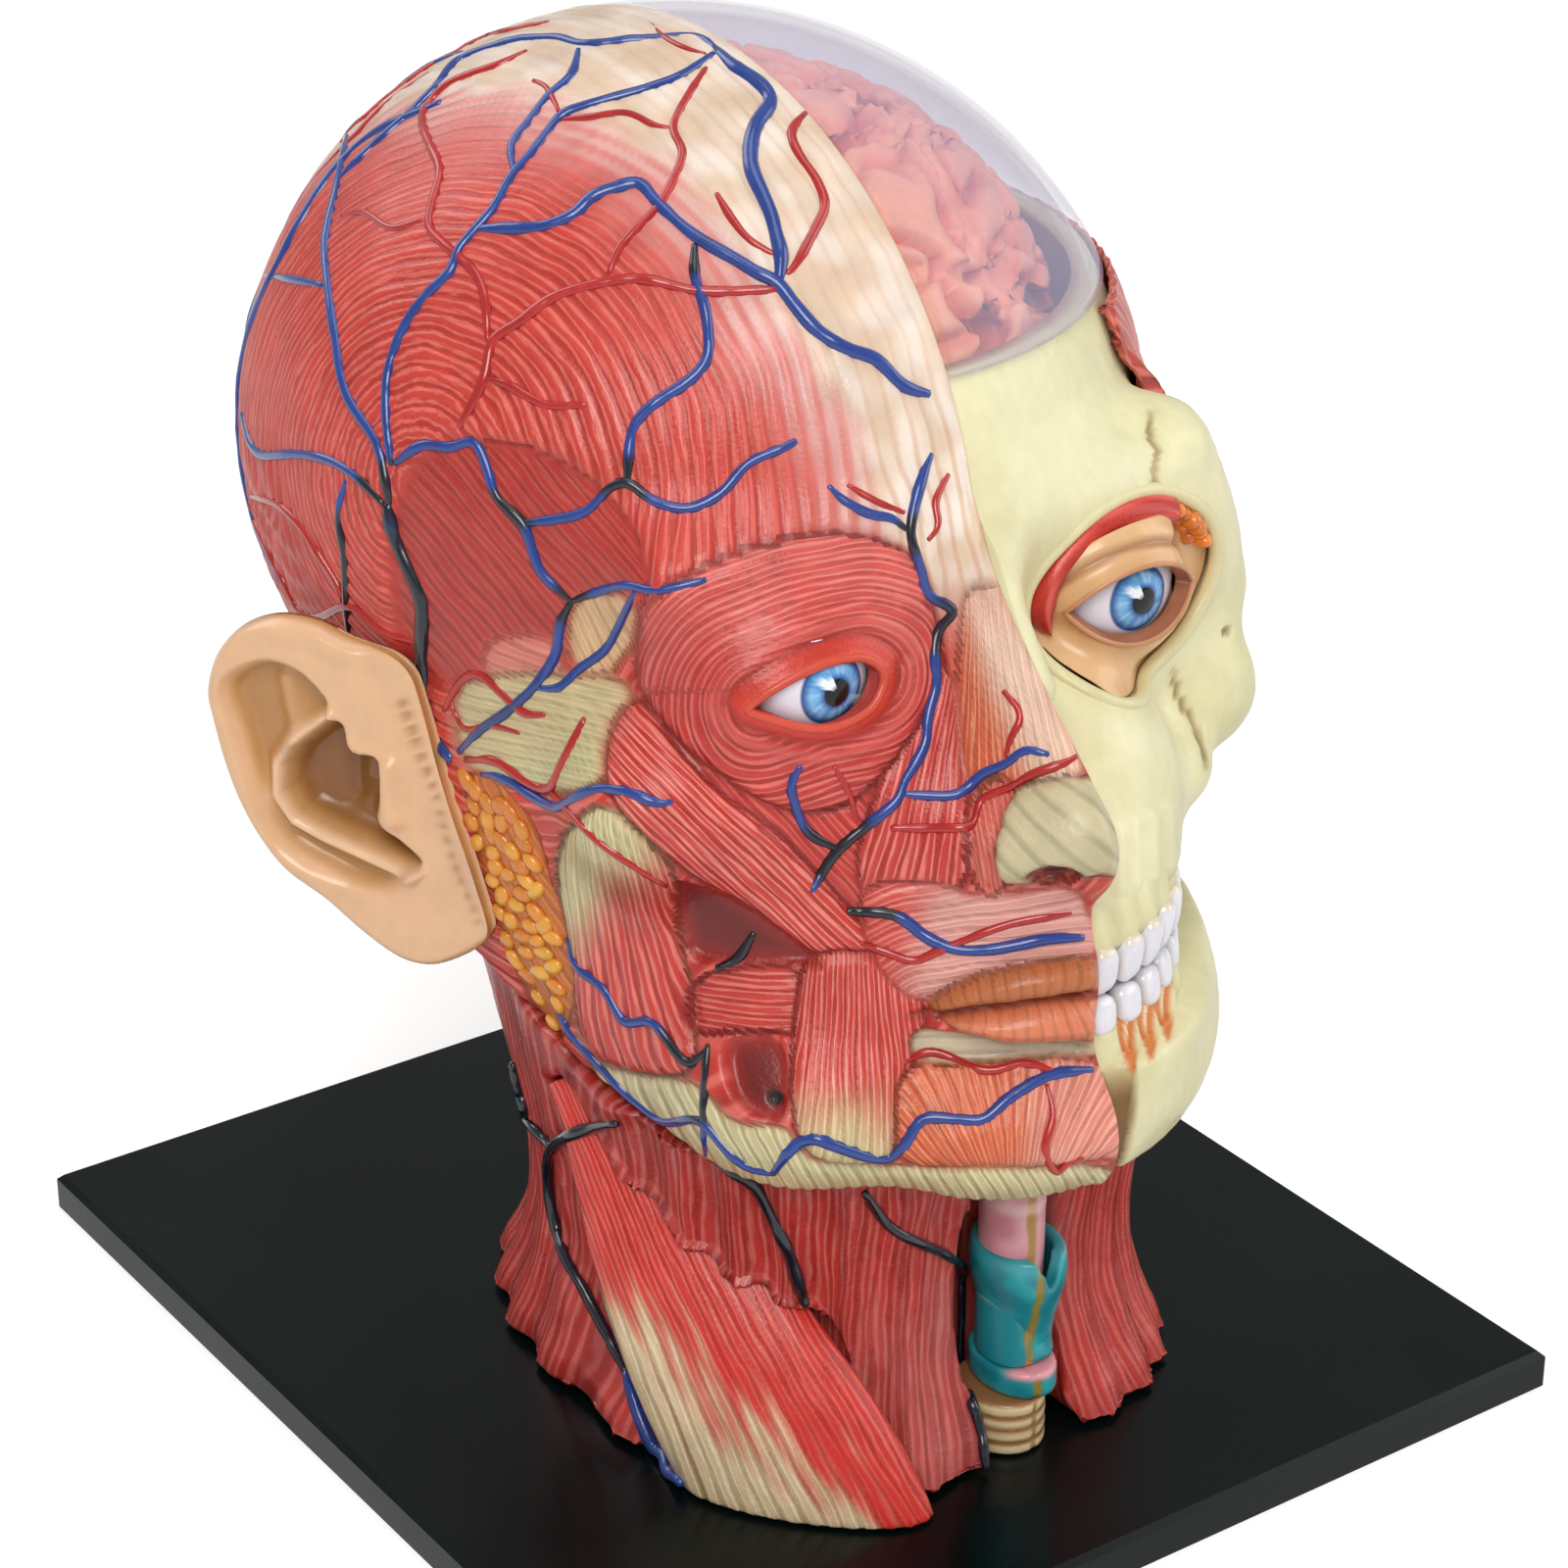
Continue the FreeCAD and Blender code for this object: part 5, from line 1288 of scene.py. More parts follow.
def dress_right_rim():
    """Rounded edge of the right eye's opening, with the lid's thickness behind it."""
    line = []
    for pixel in rounded(eye_opening, 3):
        hit, normal, _, _ = face_tree.ray_cast(Vector(camera_position), Vector(photo_ray(pixel)))
        if hit is not None:
            line.append(np.array(hit) - np.array(normal) * 0.3 * np.sign(normal @ Vector(camera_position)))
    line = np.array(line)
    shape = Shape()
    ring_tube(shape, line, 0.5, 8, (214, 78, 58))
    behind = right_eye + unit(line - right_eye) * (eye_radius + 0.04)
    first = shape.add(np.vstack([line, behind]), (176, 56, 46))
    numbers = grid_numbers(2, len(line), first)
    shape.join(grid_faces(numbers, closed=True))
    return make_piece("lid_edge_right", shape, flesh, "muscle_shell")


def dress_eye_muscle():
    """Red muscle arched over the left lids, and the orange gland beside it."""
    turn = np.radians(np.linspace(196.0, 58.0, 76))
    sides = 22
    round_turn = np.arange(sides) / sides * 2 * math.pi
    shape = Shape()
    rings = []
    paints = []
    for angle in turn:
        outward = np.array([math.cos(angle), 0.0, math.sin(angle)])
        end = min(1.0, (math.degrees(turn[0] - angle) + 4.0) / 26.0)
        place_x, place_z = orbit_place(angle, 0.82)
        middle = np.array([place_x, -32.6, place_z])
        across = outward[None] * np.cos(round_turn)[:, None] * 1.75 * end
        deep = np.array([0.0, 1.0, 0.0]) * np.sin(round_turn)[:, None] * 3.4
        ring = middle + across + deep
        strand = np.cos(round_turn * 6.0 + math.degrees(angle) * 0.05)
        ring = ring + outward * (0.12 * strand)[:, None]
        rings.append(ring)
        paints.append(paint_mix((188, 44, 36), (226, 96, 84), smooth_step(0.2, 1.0, strand)))
    first = shape.add(np.vstack(rings), np.vstack(paints))
    numbers = grid_numbers(len(turn), sides, first)
    shape.join(grid_faces(numbers, closed=True))
    for row in (0, -1):
        tip = shape.add([np.mean(rings[row], axis=0)], (180, 50, 40))
        shape.join(fan(list(numbers[row]), tip))
    make_piece("eye_muscle", shape, flesh, "eye_insert", ["eye_muscle_left"])
    shape = Shape()
    random = np.random.RandomState(5)
    for row, share in ((0, 0.86), (1, 0.8)):
        for step in range(7):
            angle = math.radians(16.0 + step * 7.0 + row * 3.5)
            outward = np.array([math.cos(angle), 0.0, math.sin(angle)])
            place_x, place_z = orbit_place(angle, share)
            middle = np.array([place_x, -33.4 + row * 1.6 + 0.3 * math.sin(step * 2.0), place_z])
            size = np.array([1.05, 1.7, 0.95]) * random.uniform(0.85, 1.12)
            around = np.array([-outward[2], 0.0, outward[0]])
            round_blob(shape, middle, [outward, [0, 1, 0], around], size, 9, 12,
                       np.array([222, 124, 42]) * random.uniform(0.88, 1.08))
    bed_x, bed_z = orbit_place(np.radians(np.linspace(14.0, 66.0, 24)), 0.84)
    tube(shape, np.stack([bed_x, np.full(24, -31.4), bed_z], -1), 1.3, 10, (196, 88, 34))
    make_piece("tear_gland", shape, gland_gloss, "eye_insert", ["lacrimal_gland_left"])


# Teeth and the bone that holds them
tooth_spacing = 3.95
tooth_arch_length = 21.0
tooth_arch_width = 21.6
tooth_arch_depth = 21.2
tooth_arch_y = -33.0
tooth_count = 7
upper_tooth_top = 69.6
upper_tooth_bottom = 64.0
lower_tooth_top = 63.7
lower_tooth_bottom = 59.4
skull_ridge_top = 76.0
upper_ridge_low = 68.4
lower_ridge_high = 60.6
jaw_ridge_bottom = 55.6
ridge_thickness = 3.4
ridge_end = 1.5


def on_tooth_arch(angle, outward=0.0):
    return ((tooth_arch_width + outward) * np.sin(angle),
            tooth_arch_y - (tooth_arch_depth + outward) * np.cos(angle))


def tooth_ridge(shape, far_z, gum_z, upper):
    """Bone over the roots of the teeth, from the gum's edge to the face of the skull or jaw."""
    angles = np.linspace(0.0, ridge_end, 110)
    steps = np.linspace(0.0, 1.0, 15)
    rows = []
    if upper:
        far_angles = np.arctan2(on_tooth_arch(angles)[0], axis_y(far_z) - on_tooth_arch(angles)[1])
        far = level_points(skull_form, left_side, -skull_inset - 0.3, far_angles,
                           np.full(angles.shape, far_z))
    else:
        x, y = on_tooth_arch(angles, 2.6)
        far = np.stack([x, y, np.full(angles.shape, far_z)], -1)
    x, y = on_tooth_arch(angles, 1.15)
    gum = np.stack([x, y, np.full(angles.shape, gum_z)], -1)
    out_x, out_y = np.sin(angles), -np.cos(angles)
    outward = np.stack([out_x, out_y, 0 * out_x], -1)
    root = np.cos(2 * math.pi * angles * tooth_arch_length / tooth_spacing + math.pi)
    for step in steps:
        row = mix(gum, far, step)
        swell = (0.3 * root * (1.0 - step) + 0.25 * math.sin(math.pi * step) - 0.5
                 * (1.0 - min(step * 8.0, 1.0)))
        rows.append(row + outward * swell[:, None])
    grid = np.array(rows)
    inner = grid - outward * ridge_thickness
    skin = Skin(grid, np.broadcast_to(outward, grid.shape), 0.0, bone_paint)
    bone_tint(skin)
    # painted shade in the hollows between the root bulges
    skin.lay(np.broadcast_to(smooth_step(-0.2, -1.0, root), grid.shape[:2]) * 0.3, paint=bone_tone_and_shade)
    if not upper:
        paint_roots(skin)
    low_paint = skin.paint.reshape(-1, 3)
    first = shape.add((grid + outward * np.clip(skin.height, -0.7, 0.2)[..., None]).reshape(-1, 3), low_paint)
    second = shape.add(inner.reshape(-1, 3), (190, 176, 130))
    a = grid_numbers(*grid.shape[:2], first)
    b = grid_numbers(*grid.shape[:2], second)
    shape.join(grid_faces(a))
    shape.join(grid_faces(b))
    for edge in (0, -1):
        shape.join(bridge(list(a[edge]), list(b[edge])))
        shape.join(bridge(list(a[:, edge]), list(b[:, edge])))


def paint_roots(skin):
    """Orange-brown hollows round the roots of the lower teeth, as the photograph shows them."""
    p = skin.points
    x = skin.pixels[..., 0]
    for centre, top, low, half_width in root_hollows:
        along = (skin.pixels[..., 1] - top) / (low - top)
        width = half_width * (1.0 - 0.7 * np.clip(along, 0.0, 1.0) ** 1.5)
        off = np.abs(x - centre - 3.0 * along + 1.5 * np.sin(along * 5.0))
        cover = (smooth_step(width + 1.5, width - 1.5, off) * smooth_step(1.08, 0.85, along)
                 * smooth_step(-0.5, -0.3, along))
        cover = cover * smooth_step(-34.0, -38.0, p[..., 1]) * smooth_step(1.5, 2.5, p[..., 0])
        skin.lay(cover * 0.95, paint=(206, 116, 58), add=-0.35)
        skin.lay(cover * smooth_step(2.4, 0.8, off) * smooth_step(0.8, 0.2, along), paint=(238, 222, 186),
                 add=0.25)


def dress_teeth(name, node, body, low, high, upper):
    shape = Shape()
    for i in range(tooth_count):
        half_width = tooth_spacing / 2 * (0.99 if i not in (1, 2) else 0.95)
        angle = (i + 0.5) * tooth_spacing / tooth_arch_length
        outward = np.array([math.sin(angle), -math.cos(angle), 0.0])
        around = np.array([math.cos(angle), math.sin(angle), 0.0])
        middle = np.array([*on_tooth_arch(angle), (low + high) / 2])
        gum = 1.0 if upper else -1.0
        back = i >= 4

        def change(local, gum=gum, i=i, back=back):
            out = local.copy()
            toward_gum = 0.5 + 0.5 * local[:, 2] * gum
            out[:, 0] *= 1.0 - 0.2 * toward_gum ** 2
            out[:, 1] *= 1.0 - (0.05 if back else 0.35) * (1.0 - toward_gum) + 0.02 * i
            out[:, 1] *= 1.0 + 0.15 * toward_gum
            edge = (1.0 - toward_gum) ** 3
            if back:
                out[:, 2] += gum * 0.12 * edge * np.cos(local[:, 0] * math.pi * 1.6)
            else:
                out[:, 2] += gum * 0.05 * edge * np.abs(local[:, 0])
            return out

        def paint(local, gum=gum):
            toward_gum = smooth_step(0.55, 1.0, local[:, 2] * gum)
            colours = paint_mix((226, 225, 234), (222, 208, 178), toward_gum)
            side_shade = smooth_step(0.8, 1.0, np.abs(local[:, 0]))
            return paint_mix(colours, (190, 178, 160), 0.6 * side_shade)
        round_blob(shape, middle, [around, outward, [0, 0, 1]],
                   [half_width, 1.75, (high - low) / 2 - 0.03], 17, 26,
                   paint, 3.2, change)
    return make_piece(name, shape, tooth_gloss, body, [node])


def dress_jaw_ridge():
    shape = Shape()
    tooth_ridge(shape, jaw_ridge_bottom, lower_ridge_high, False)
    make_piece("jaw_tooth_ridge", shape, bone, "jaw")


def paint_mandible(skin):
    bone_tint(skin)
    p = skin.points
    low = smooth_step(58.0, 53.0, p[:, 2]) * smooth_step(-20.0, -30.0, p[:, 1])
    edge = 3.0 + 0.35 * noise(p, 4.0, 48)
    skin.lay(smooth_step(edge + 0.7, edge - 0.1, p[:, 0]) * low, paint=(122, 88, 44), add=-0.5)
    paint_roots(skin)
    spot = np.hypot(p[:, 1] + 44.0, p[:, 2] - 52.0)
    skin.lay(smooth_step(1.5, 0.8, spot) * smooth_step(20.0, 26.0, p[:, 0]), paint=(120, 92, 50), add=-0.4)
    skin.height = np.clip(skin.height, -0.9, 0.1)


def paint_temporalis(skin):
    p = skin.points
    away = p - np.array([40.0, -2.0, 76.0])
    turn = np.arctan2(away[:, 1], away[:, 2])
    line_share = smooth_step(80.0, 96.0, p[:, 2])
    base = paint_mix((206, 186, 140), (184, 66, 56), line_share)
    line = paint_mix((228, 216, 180), (222, 124, 110), line_share)
    skin.ridges(turn * 32.0, np.linalg.norm(away, axis=-1), 2.1, np.ones(len(p)), 0.24, base, line, 0.7)
    skin.height -= 1.1


def paint_brain(skin):
    """Winding folds with deep furrows between them, and painted shade that darkens down into the furrows."""
    p = skin.points
    q = np.stack([p[:, 0] * 1.05, p[:, 1], p[:, 2] * 1.05], -1)
    warp = np.stack([noise(q, 11.0, 61), noise(q, 11.0, 62), noise(q, 11.0, 63)], -1)
    q = q + warp * 3.6
    first = noise(q, 9.6, 64)
    second = noise(q + 31.0, 8.4, 65)
    furrow = np.minimum(np.abs(first) * 9.6, np.abs(second) * 10.0 + 0.7)
    cut = np.exp(-(furrow / 0.8) ** 2)
    roll = smooth_step(0.0, 3.4, furrow)
    flat_side = smooth_step(1.6, 0.6, np.abs(p[:, 0]))
    skin.height = (-1.6 * cut + 1.1 * (roll - 1.0) - 0.1) * (1.0 - 0.7 * flat_side)
    # painted shade: the colour darkens from the folds' tops down into the furrows
    crown = paint_mix((238, 126, 74), (250, 166, 120), roll)
    side = smooth_step(10.0, 34.0, np.abs(p[:, 0]))
    crown = paint_mix(crown, (238, 154, 116), 0.4 * side * roll)
    skin.paint = paint_mix(crown, (206, 92, 46), 0.8 * cut)
    skin.lay(smooth_step(0.3, 1.0, noise(p, 6.0, 66)) * 0.25, paint=(214, 140, 84))


cap_inset = 0.17


def dress_cap():
    """Clear dome of two skins over the saw cut."""
    rows = 46
    columns = 100
    angles = math.pi * np.arange(columns) / (columns - 1)
    grids = []
    for level in (-cap_inset, -cap_wall + cap_inset):
        share = np.linspace(0.0, 1.0, rows)[:, None]
        half = head_half_sizes + level
        lift = math.asin((cap_cut_z + 0.02 - head_centre_z) / half[2])
        rise = mix(lift, math.pi / 2, share) + 0 * angles
        grid = head_centre + half * np.stack([np.sin(angles) * np.cos(rise), -np.cos(angles) * np.cos(rise),
                                              np.sin(rise)], -1)
        grid[:, [0, -1], 0] = 0.0
        grids.append(grid)
    shape = Shape()
    numbers = grid_numbers(rows, columns)
    wall_shape(shape, grids[0], grid_faces(numbers), grids[1],
               faces_outside(numbers, np.ones((rows, columns))), cap_film, cap_film)
    return make_piece("clear_dome", shape, dome_clear, "cap", ["skull_cap"])


def clear_material(name, colour, alpha):
    """Clear plastic film, denser where it is seen edge on."""
    nodes = Nodes(bpy.data.materials.new(name))
    facing = nodes.new("ShaderNodeLayerWeight", {"Blend": 0.32}).outputs["Facing"]
    dense = nodes.ranged(facing, 0.0, 1.0, *alpha)
    ripple = nodes.noise(nodes.new("ShaderNodeTexCoord").outputs["Object"], 60.0, 1.0)
    bump = nodes.new("ShaderNodeBump", {"Height": ripple, "Distance": 0.0001}).outputs["Normal"]
    return nodes.finish(nodes.new("ShaderNodeBsdfPrincipled", {
        "Base Color": (*to_linear(colour), 1.0), "Roughness": 0.07, "Alpha": dense, "Normal": bump,
        "Coat Weight": 0.6, "Coat Roughness": 0.04}))


cap_film = (214, 210, 236)
bone = surface_material("bone", roughness=0.4, coat=0.15, stroke=0.03, stroke_size=(1.5, 3.0), grain_size=0.8,
                        grain_depth=0.04, blotch=0.05, blotch_size=9.0, specular=0.4)
skin_gloss = surface_material("skin_gloss", roughness=0.36, coat=0.35, stroke=0.02, stroke_size=(1.0, 2.0),
                              grain_size=0.5, grain_depth=0.02, blotch=0.05, blotch_size=5.0)
gland_gloss = surface_material("gland_gloss", roughness=0.3, coat=0.5, stroke=0.05, stroke_size=(0.6, 0.8),
                               grain_size=0.4, grain_depth=0.03, blotch=0.1, blotch_size=2.0)
tooth_gloss = surface_material("tooth_gloss", roughness=0.16, coat=0.8, stroke=0.02, stroke_size=(0.5, 3.0),
                               grain_size=0.6, grain_depth=0.012, blotch=0.03, blotch_size=2.0)
brain_gloss = surface_material("brain_gloss", roughness=0.42, coat=0.2, stroke=0.05, stroke_size=(0.8, 1.2),
                               grain_size=0.5, grain_depth=0.04, blotch=0.07, blotch_size=4.0)
dome_clear = clear_material("dome_clear", (205, 203, 238), (0.05, 0.5))
dress_right_rim()
dress_eye("eye_right", right_eye, "eyeball_right", "right_eye")
dress_eye("eye_left", left_eye, "eyeball_left", "left_eye")
orbit_rim = dress_skull()
dress_left_lids()
dress_eye_muscle()
dress_teeth("teeth_upper", "upper_teeth_left", "figure", upper_tooth_bottom, upper_tooth_top, True)
dress_teeth("teeth_lower", "lower_teeth_left", "jaw", lower_tooth_bottom, lower_tooth_top, False)
dress_jaw_ridge()
recast("jaw_bone", "mandible_left", 0.6, paint_mandible, bone, "jaw", relax=6)
recast("temple_muscle", "temporalis_left", 0.6, paint_temporalis, flesh, "figure", relax=3)
recast("brain_half_left", "brain_left", 0.75, paint_brain, brain_gloss, "brain", relax=3)
recast("brain_half_right", "brain_right", 0.75, paint_brain, brain_gloss, "figure", relax=3)
dress_cap()


# Outer ear, drawn in the photograph's pixels on its own flared plane
ear_place = np.array([-45.4, 0.0, 77.0])
ear_flare = math.radians(34.0)
ear_inward = np.array([math.cos(ear_flare), math.sin(ear_flare), 0.0])
ear_outline = [
    (205, 707), (211, 739), (222, 779), (237, 819), (257, 856), (284, 891), (324, 923), (364, 958),
    (401, 984),
    (431, 992), (456, 987), (483, 973), (504, 948), (498, 906), (484, 859), (466, 814), (449, 774),
    (431, 722),
    (420, 690), (401, 673), (376, 665), (349, 657), (314, 641), (275, 635), (240, 645), (215, 670)]
ear_bowl = [
    (227, 697), (245, 682), (270, 676), (302, 687), (329, 714), (344, 739), (359, 767), (384, 779),
    (386, 814),
    (384, 839), (404, 859), (425, 884), (421, 896), (401, 912), (364, 912), (324, 894), (289, 871),
    (267, 841),
    (250, 794), (237, 749), (225, 719)]
ear_shell_hollow = [
    (292, 769), (318, 748), (339, 734), (352, 769), (384, 779), (384, 814), (379, 844), (404, 866),
    (424, 888),
    (389, 882), (344, 862), (302, 842), (284, 806)]
ear_fold = [(336, 732), (310, 748), (290, 764), (277, 784), (277, 816), (295, 842), (327, 860), (364, 877),
            (401, 894), (426, 899)]
ear_upper_fold = [(297, 757), (288, 728), (283, 700)]
ear_front_bump = [(396, 786), (400, 810), (402, 836)]
ear_inner_bump = [(350, 765), (366, 786), (362, 806)]
ear_deep_line = [(338, 746), (341, 790), (343, 828)]
ear_notch_line = [(398, 866), (420, 886)]
ear_stitch_line = [(404, 712), (414, 740), (429, 779), (448, 819), (458, 864), (470, 894), (486, 928),
                   (492, 950)]
ear_middle = np.array([345.0, 808.0])


def closed_spline(points, step):
    p = np.asarray(points, float)
    count = len(p)
    line = spline(np.vstack([p[-2:], p, p[:2]]), step)
    start = np.argmin(np.linalg.norm(line - p[0], axis=1))
    end = len(line) - 1 - np.argmin(np.linalg.norm(line[::-1] - p[0], axis=1))
    if end <= start:
        end = start + count * 10
    return line[start:end]


def on_ear_plane(pixels):
    """Points of the ear's plane that the photograph shows at the pixels."""
    across = (pixels[..., 0] - photo_width / 2) / focal_pixels
    down = (pixels[..., 1] - photo_width / 2) / focal_pixels
    rays = view_forward + across[..., None] * view_right - down[..., None] * view_up
    far = ((ear_place - camera_position) @ ear_inward) / (rays @ ear_inward)
    return camera_position + rays * far[..., None]


def bump_along(pixels, line, width):
    gap, _ = polyline_distance(pixels, line)
    return np.exp(-(gap / width) ** 2)


def ear_relief(pixels):
    """Height of the ear's outer face under its rim, and its colour, with painted shade in the hollows and a
    painted highlight along the fold.
    """
    edge = inside_distance(pixels, np.array(closed_spline(ear_outline, 6.0)))
    bowl = inside_distance(pixels, np.array(closed_spline(ear_bowl, 6.0)))
    hollow = inside_distance(pixels, np.array(closed_spline(ear_shell_hollow, 6.0)))
    lobe = smooth_step(880.0, 930.0, pixels[..., 1] + 0.25 * (pixels[..., 0] - 340.0))
    front = smooth_step(380.0, 410.0, pixels[..., 0] - 0.28 * (pixels[..., 1] - 780.0))
    plain = np.maximum(lobe, front)
    roll = np.clip((edge - 15.0) / 15.0, -1.0, 1.0)
    height = -1.1 * (1.0 - np.sqrt(1.0 - roll ** 2)) * smooth_step(34.0, 14.0, edge)
    height = mix(height, -0.75, plain)
    rounding = np.clip(1.0 - edge / 11.0, 0.0, 1.0)
    height = height - 1.5 * (1.0 - np.sqrt(np.maximum(1.0 - rounding ** 2, 0.0)))
    inside = smooth_step(-6.0, 15.0, bowl)
    height = mix(height, -2.9, inside)
    height = height + 2.1 * bump_along(pixels, ear_fold, 10.0) * smooth_step(-10.0, 4.0, bowl)
    height = height + 1.0 * bump_along(pixels, ear_upper_fold, 12.0) * inside
    height = height - 2.1 * smooth_step(-6.0, 20.0, hollow)
    height = height - 0.9 * bump_along(pixels, ear_deep_line, 10.0)
    height = height - 0.8 * bump_along(pixels, ear_notch_line, 8.0)
    height = height + 1.1 * bump_along(pixels, ear_front_bump, 13.0)
    height = height + 0.8 * bump_along(pixels, ear_inner_bump, 12.0)
    gap, share = polyline_distance(pixels, ear_stitch_line)
    length = np.sum(np.linalg.norm(np.diff(np.array(ear_stitch_line, float), axis=0), axis=1))
    wave = np.cos(2 * math.pi * (share * length / 15.0 + 0.25 * noise(np.stack([share * 30, gap * 0,
                                                                                gap * 0], -1),
                                                                       1.0, 71)))
    strip = np.exp(-(gap / 8.0) ** 2) * smooth_step(0.0, 0.04, share) * smooth_step(1.0, 0.96, share)
    height = height + strip * (0.28 * wave - 0.2)
    depth = np.clip(-height - 0.9, 0.0, 4.0)
    # painted shade: the skin colour darkens with depth in the hollows
    paint = paint_mix((230, 184, 142), (190, 140, 84), smooth_step(0.0, 1.6, depth))
    paint = paint_mix(paint, (140, 90, 40), smooth_step(1.6, 3.6, depth))
    # painted highlight along the raised fold
    paint = paint_mix(paint, (238, 200, 166), 0.5 * bump_along(pixels, ear_fold, 8.0))
    # painted shade in the notches between the stitches
    paint = paint_mix(paint, (150, 96, 50), np.clip(strip * (0.5 - 0.5 * wave) * 0.4, 0.0, 1.0))
    rosy = smooth_step(0.2, 1.0, noise(np.stack([pixels[..., 0], pixels[..., 1], 0 * edge], -1), 60.0, 72))
    paint = paint_mix(paint, (232, 168, 138), 0.4 * rosy)
    return height, paint, edge


def dress_ear():
    sectors = 260
    turn = np.arange(sectors) / sectors * 2 * math.pi - math.pi
    line = closed_spline(ear_outline, 3.0)
    away = line - ear_middle
    angles = np.arctan2(away[:, 1], away[:, 0])
    order = np.argsort(angles)
    radius = np.interp(turn, angles[order], np.linalg.norm(away, axis=1)[order], period=2 * math.pi)
    share = 1.0 - (1.0 - np.linspace(0.0, 1.0, 76)[1:]) ** 1.5
    ring = np.stack([np.cos(turn), np.sin(turn)], -1)
    pixels = ear_middle + ring[None] * (radius * share[:, None])[..., None]
    height, paint, edge = ear_relief(pixels)
    place = on_ear_plane(pixels)
    outer = place + ear_inward * (-height)[..., None]
    rounding = np.clip(1.0 - edge / 14.0, 0.0, 1.0)
    thick = np.maximum(3.0, 1.3 - height) - 1.4 * (1.0 - np.sqrt(np.maximum(1.0 - rounding ** 2, 0.0)))
    thick = np.maximum(thick, 0.3 - height)
    inner = place + ear_inward * thick[..., None]
    for points, gap in ((outer, 0.75), (inner, -0.6)):
        level = muscle_form(points)
        lifted = gap + 0.5 * np.log1p(np.exp(np.clip((level - gap) / 0.5, -40.0, 40.0)))
        points += form_normals(muscle_form, points) * (lifted - level)[..., None]
    outer[-1] = (outer[-1] + inner[-1]) / 2
    shape = Shape()
    first = shape.add(outer.reshape(-1, 3), paint.reshape(-1, 3))
    a = grid_numbers(len(share), sectors, first)
    back_paint = paint_mix((222, 176, 134), (196, 146, 104), smooth_step(20.0, 60.0, edge))
    second = shape.add(inner[:-1].reshape(-1, 3), back_paint[:-1].reshape(-1, 3))
    b = grid_numbers(len(share) - 1, sectors, second)
    shape.join(grid_faces(a, closed=True))
    shape.join(grid_faces(np.vstack([b, a[-1:]]), closed=True))
    tips = shape.add([outer[0].mean(axis=0), inner[0].mean(axis=0)], paint[0, :1].mean(axis=0))
    shape.join(fan(list(a[0])[::-1], tips))
    shape.join(fan(list(b[0])[::-1], tips + 1))
    tube(shape, np.array([[-44.0, 3.5, 77.0], [-42.0, 3.5, 77.0], [-38.4, 3.5, 77.0]]), 2.5, 28,
         (214, 168, 124))
    return make_piece("outer_ear_skin", shape, skin_gloss, "outer_ear", ["ear_right"])


# Neck and voice box
neck_y = -11.0
neck_front_half_depth = 39.0
neck_back_half_depth = 44.0
neck_right_half_width = 36.5
neck_left_half_width = 33.0
flute_count = 13
throat_seam_x = 1.0
strap_outline = [(565, 1200), (600, 1160), (730, 1170), (960, 1550), (760, 1570), (680, 1520), (620, 1370)]


def paint_neck(skin, half_width, left):
    p = skin.points
    ahead = (neck_y - p[:, 1])
    deep = np.where(ahead > 0, np.abs(ahead / neck_front_half_depth) ** 1.5,
                    np.abs(ahead / neck_back_half_depth) ** 1.1)
    wide = np.abs(p[:, 0] / half_width) ** 1.3
    turn = np.arctan2(wide, np.sign(ahead) * deep)
    rope = np.abs(np.cos(flute_count * turn))
    outside = smooth_step(0.55, 0.75, np.hypot(wide, deep))
    across = turn * 39.0
    top = smooth_step(30.0, 52.0, p[:, 2])
    base = paint_mix((192, 46, 39), (150, 34, 30), 0.6 * top)
    if left:
        base = paint_mix(base, (214, 88, 56), smooth_step(22.0, 30.0, p[:, 0]) * smooth_step(-12.0, -26.0,
                                                                                             p[:, 1]))
        line_colour = (222, 120, 108)
    else:
        low = smooth_step(30.0, 12.0, p[:, 2]) * smooth_step(-20.0, -34.0, p[:, 1])
        base = paint_mix(base, (176, 74, 70), 0.7 * low)
        line_colour = (220, 126, 116)
    back = smooth_step(-5.0, 10.0, p[:, 1])
    slant = across + p[:, 2] * mix(0.1, 0.4, back) * (-1 if left else 1) * 0.5
    skin.ridges(slant, p[:, 2], 2.6, outside, 0.12, base, np.asarray(line_colour), 0.5)
    skin.lay(smooth_step(0.42, 0.05, rope) * outside * 0.45, paint=(126, 28, 24), add=0.5)
    skin.lay((1.0 - outside), paint=(170, 70, 60))
    skin.lay(smooth_step(0.6, 1.2, noise(p, 9.0, 81)) * outside * 0.4, paint=(224, 96, 70))
    under_strap = smooth_step(-34.0, -6.0, outline_distance(skin.pixels, strap_outline)) * skin.seen
    skin.height = skin.height - 0.25 * outside - 0.9 * under_strap
    foot = smooth_step(8.5, 4.6, p[:, 2])
    scallop = smooth_step(0.0, 1.0, 1.0 - rope)
    skin.height = skin.height - foot * (0.6 + 0.7 * scallop)
    # painted shade at the sunken foot, next to the plate
    skin.lay(foot * 0.5, paint=(150, 50, 44))


def paint_neck_right(skin):
    paint_neck(skin, neck_right_half_width, False)


def paint_neck_left(skin):
    paint_neck(skin, neck_left_half_width, True)


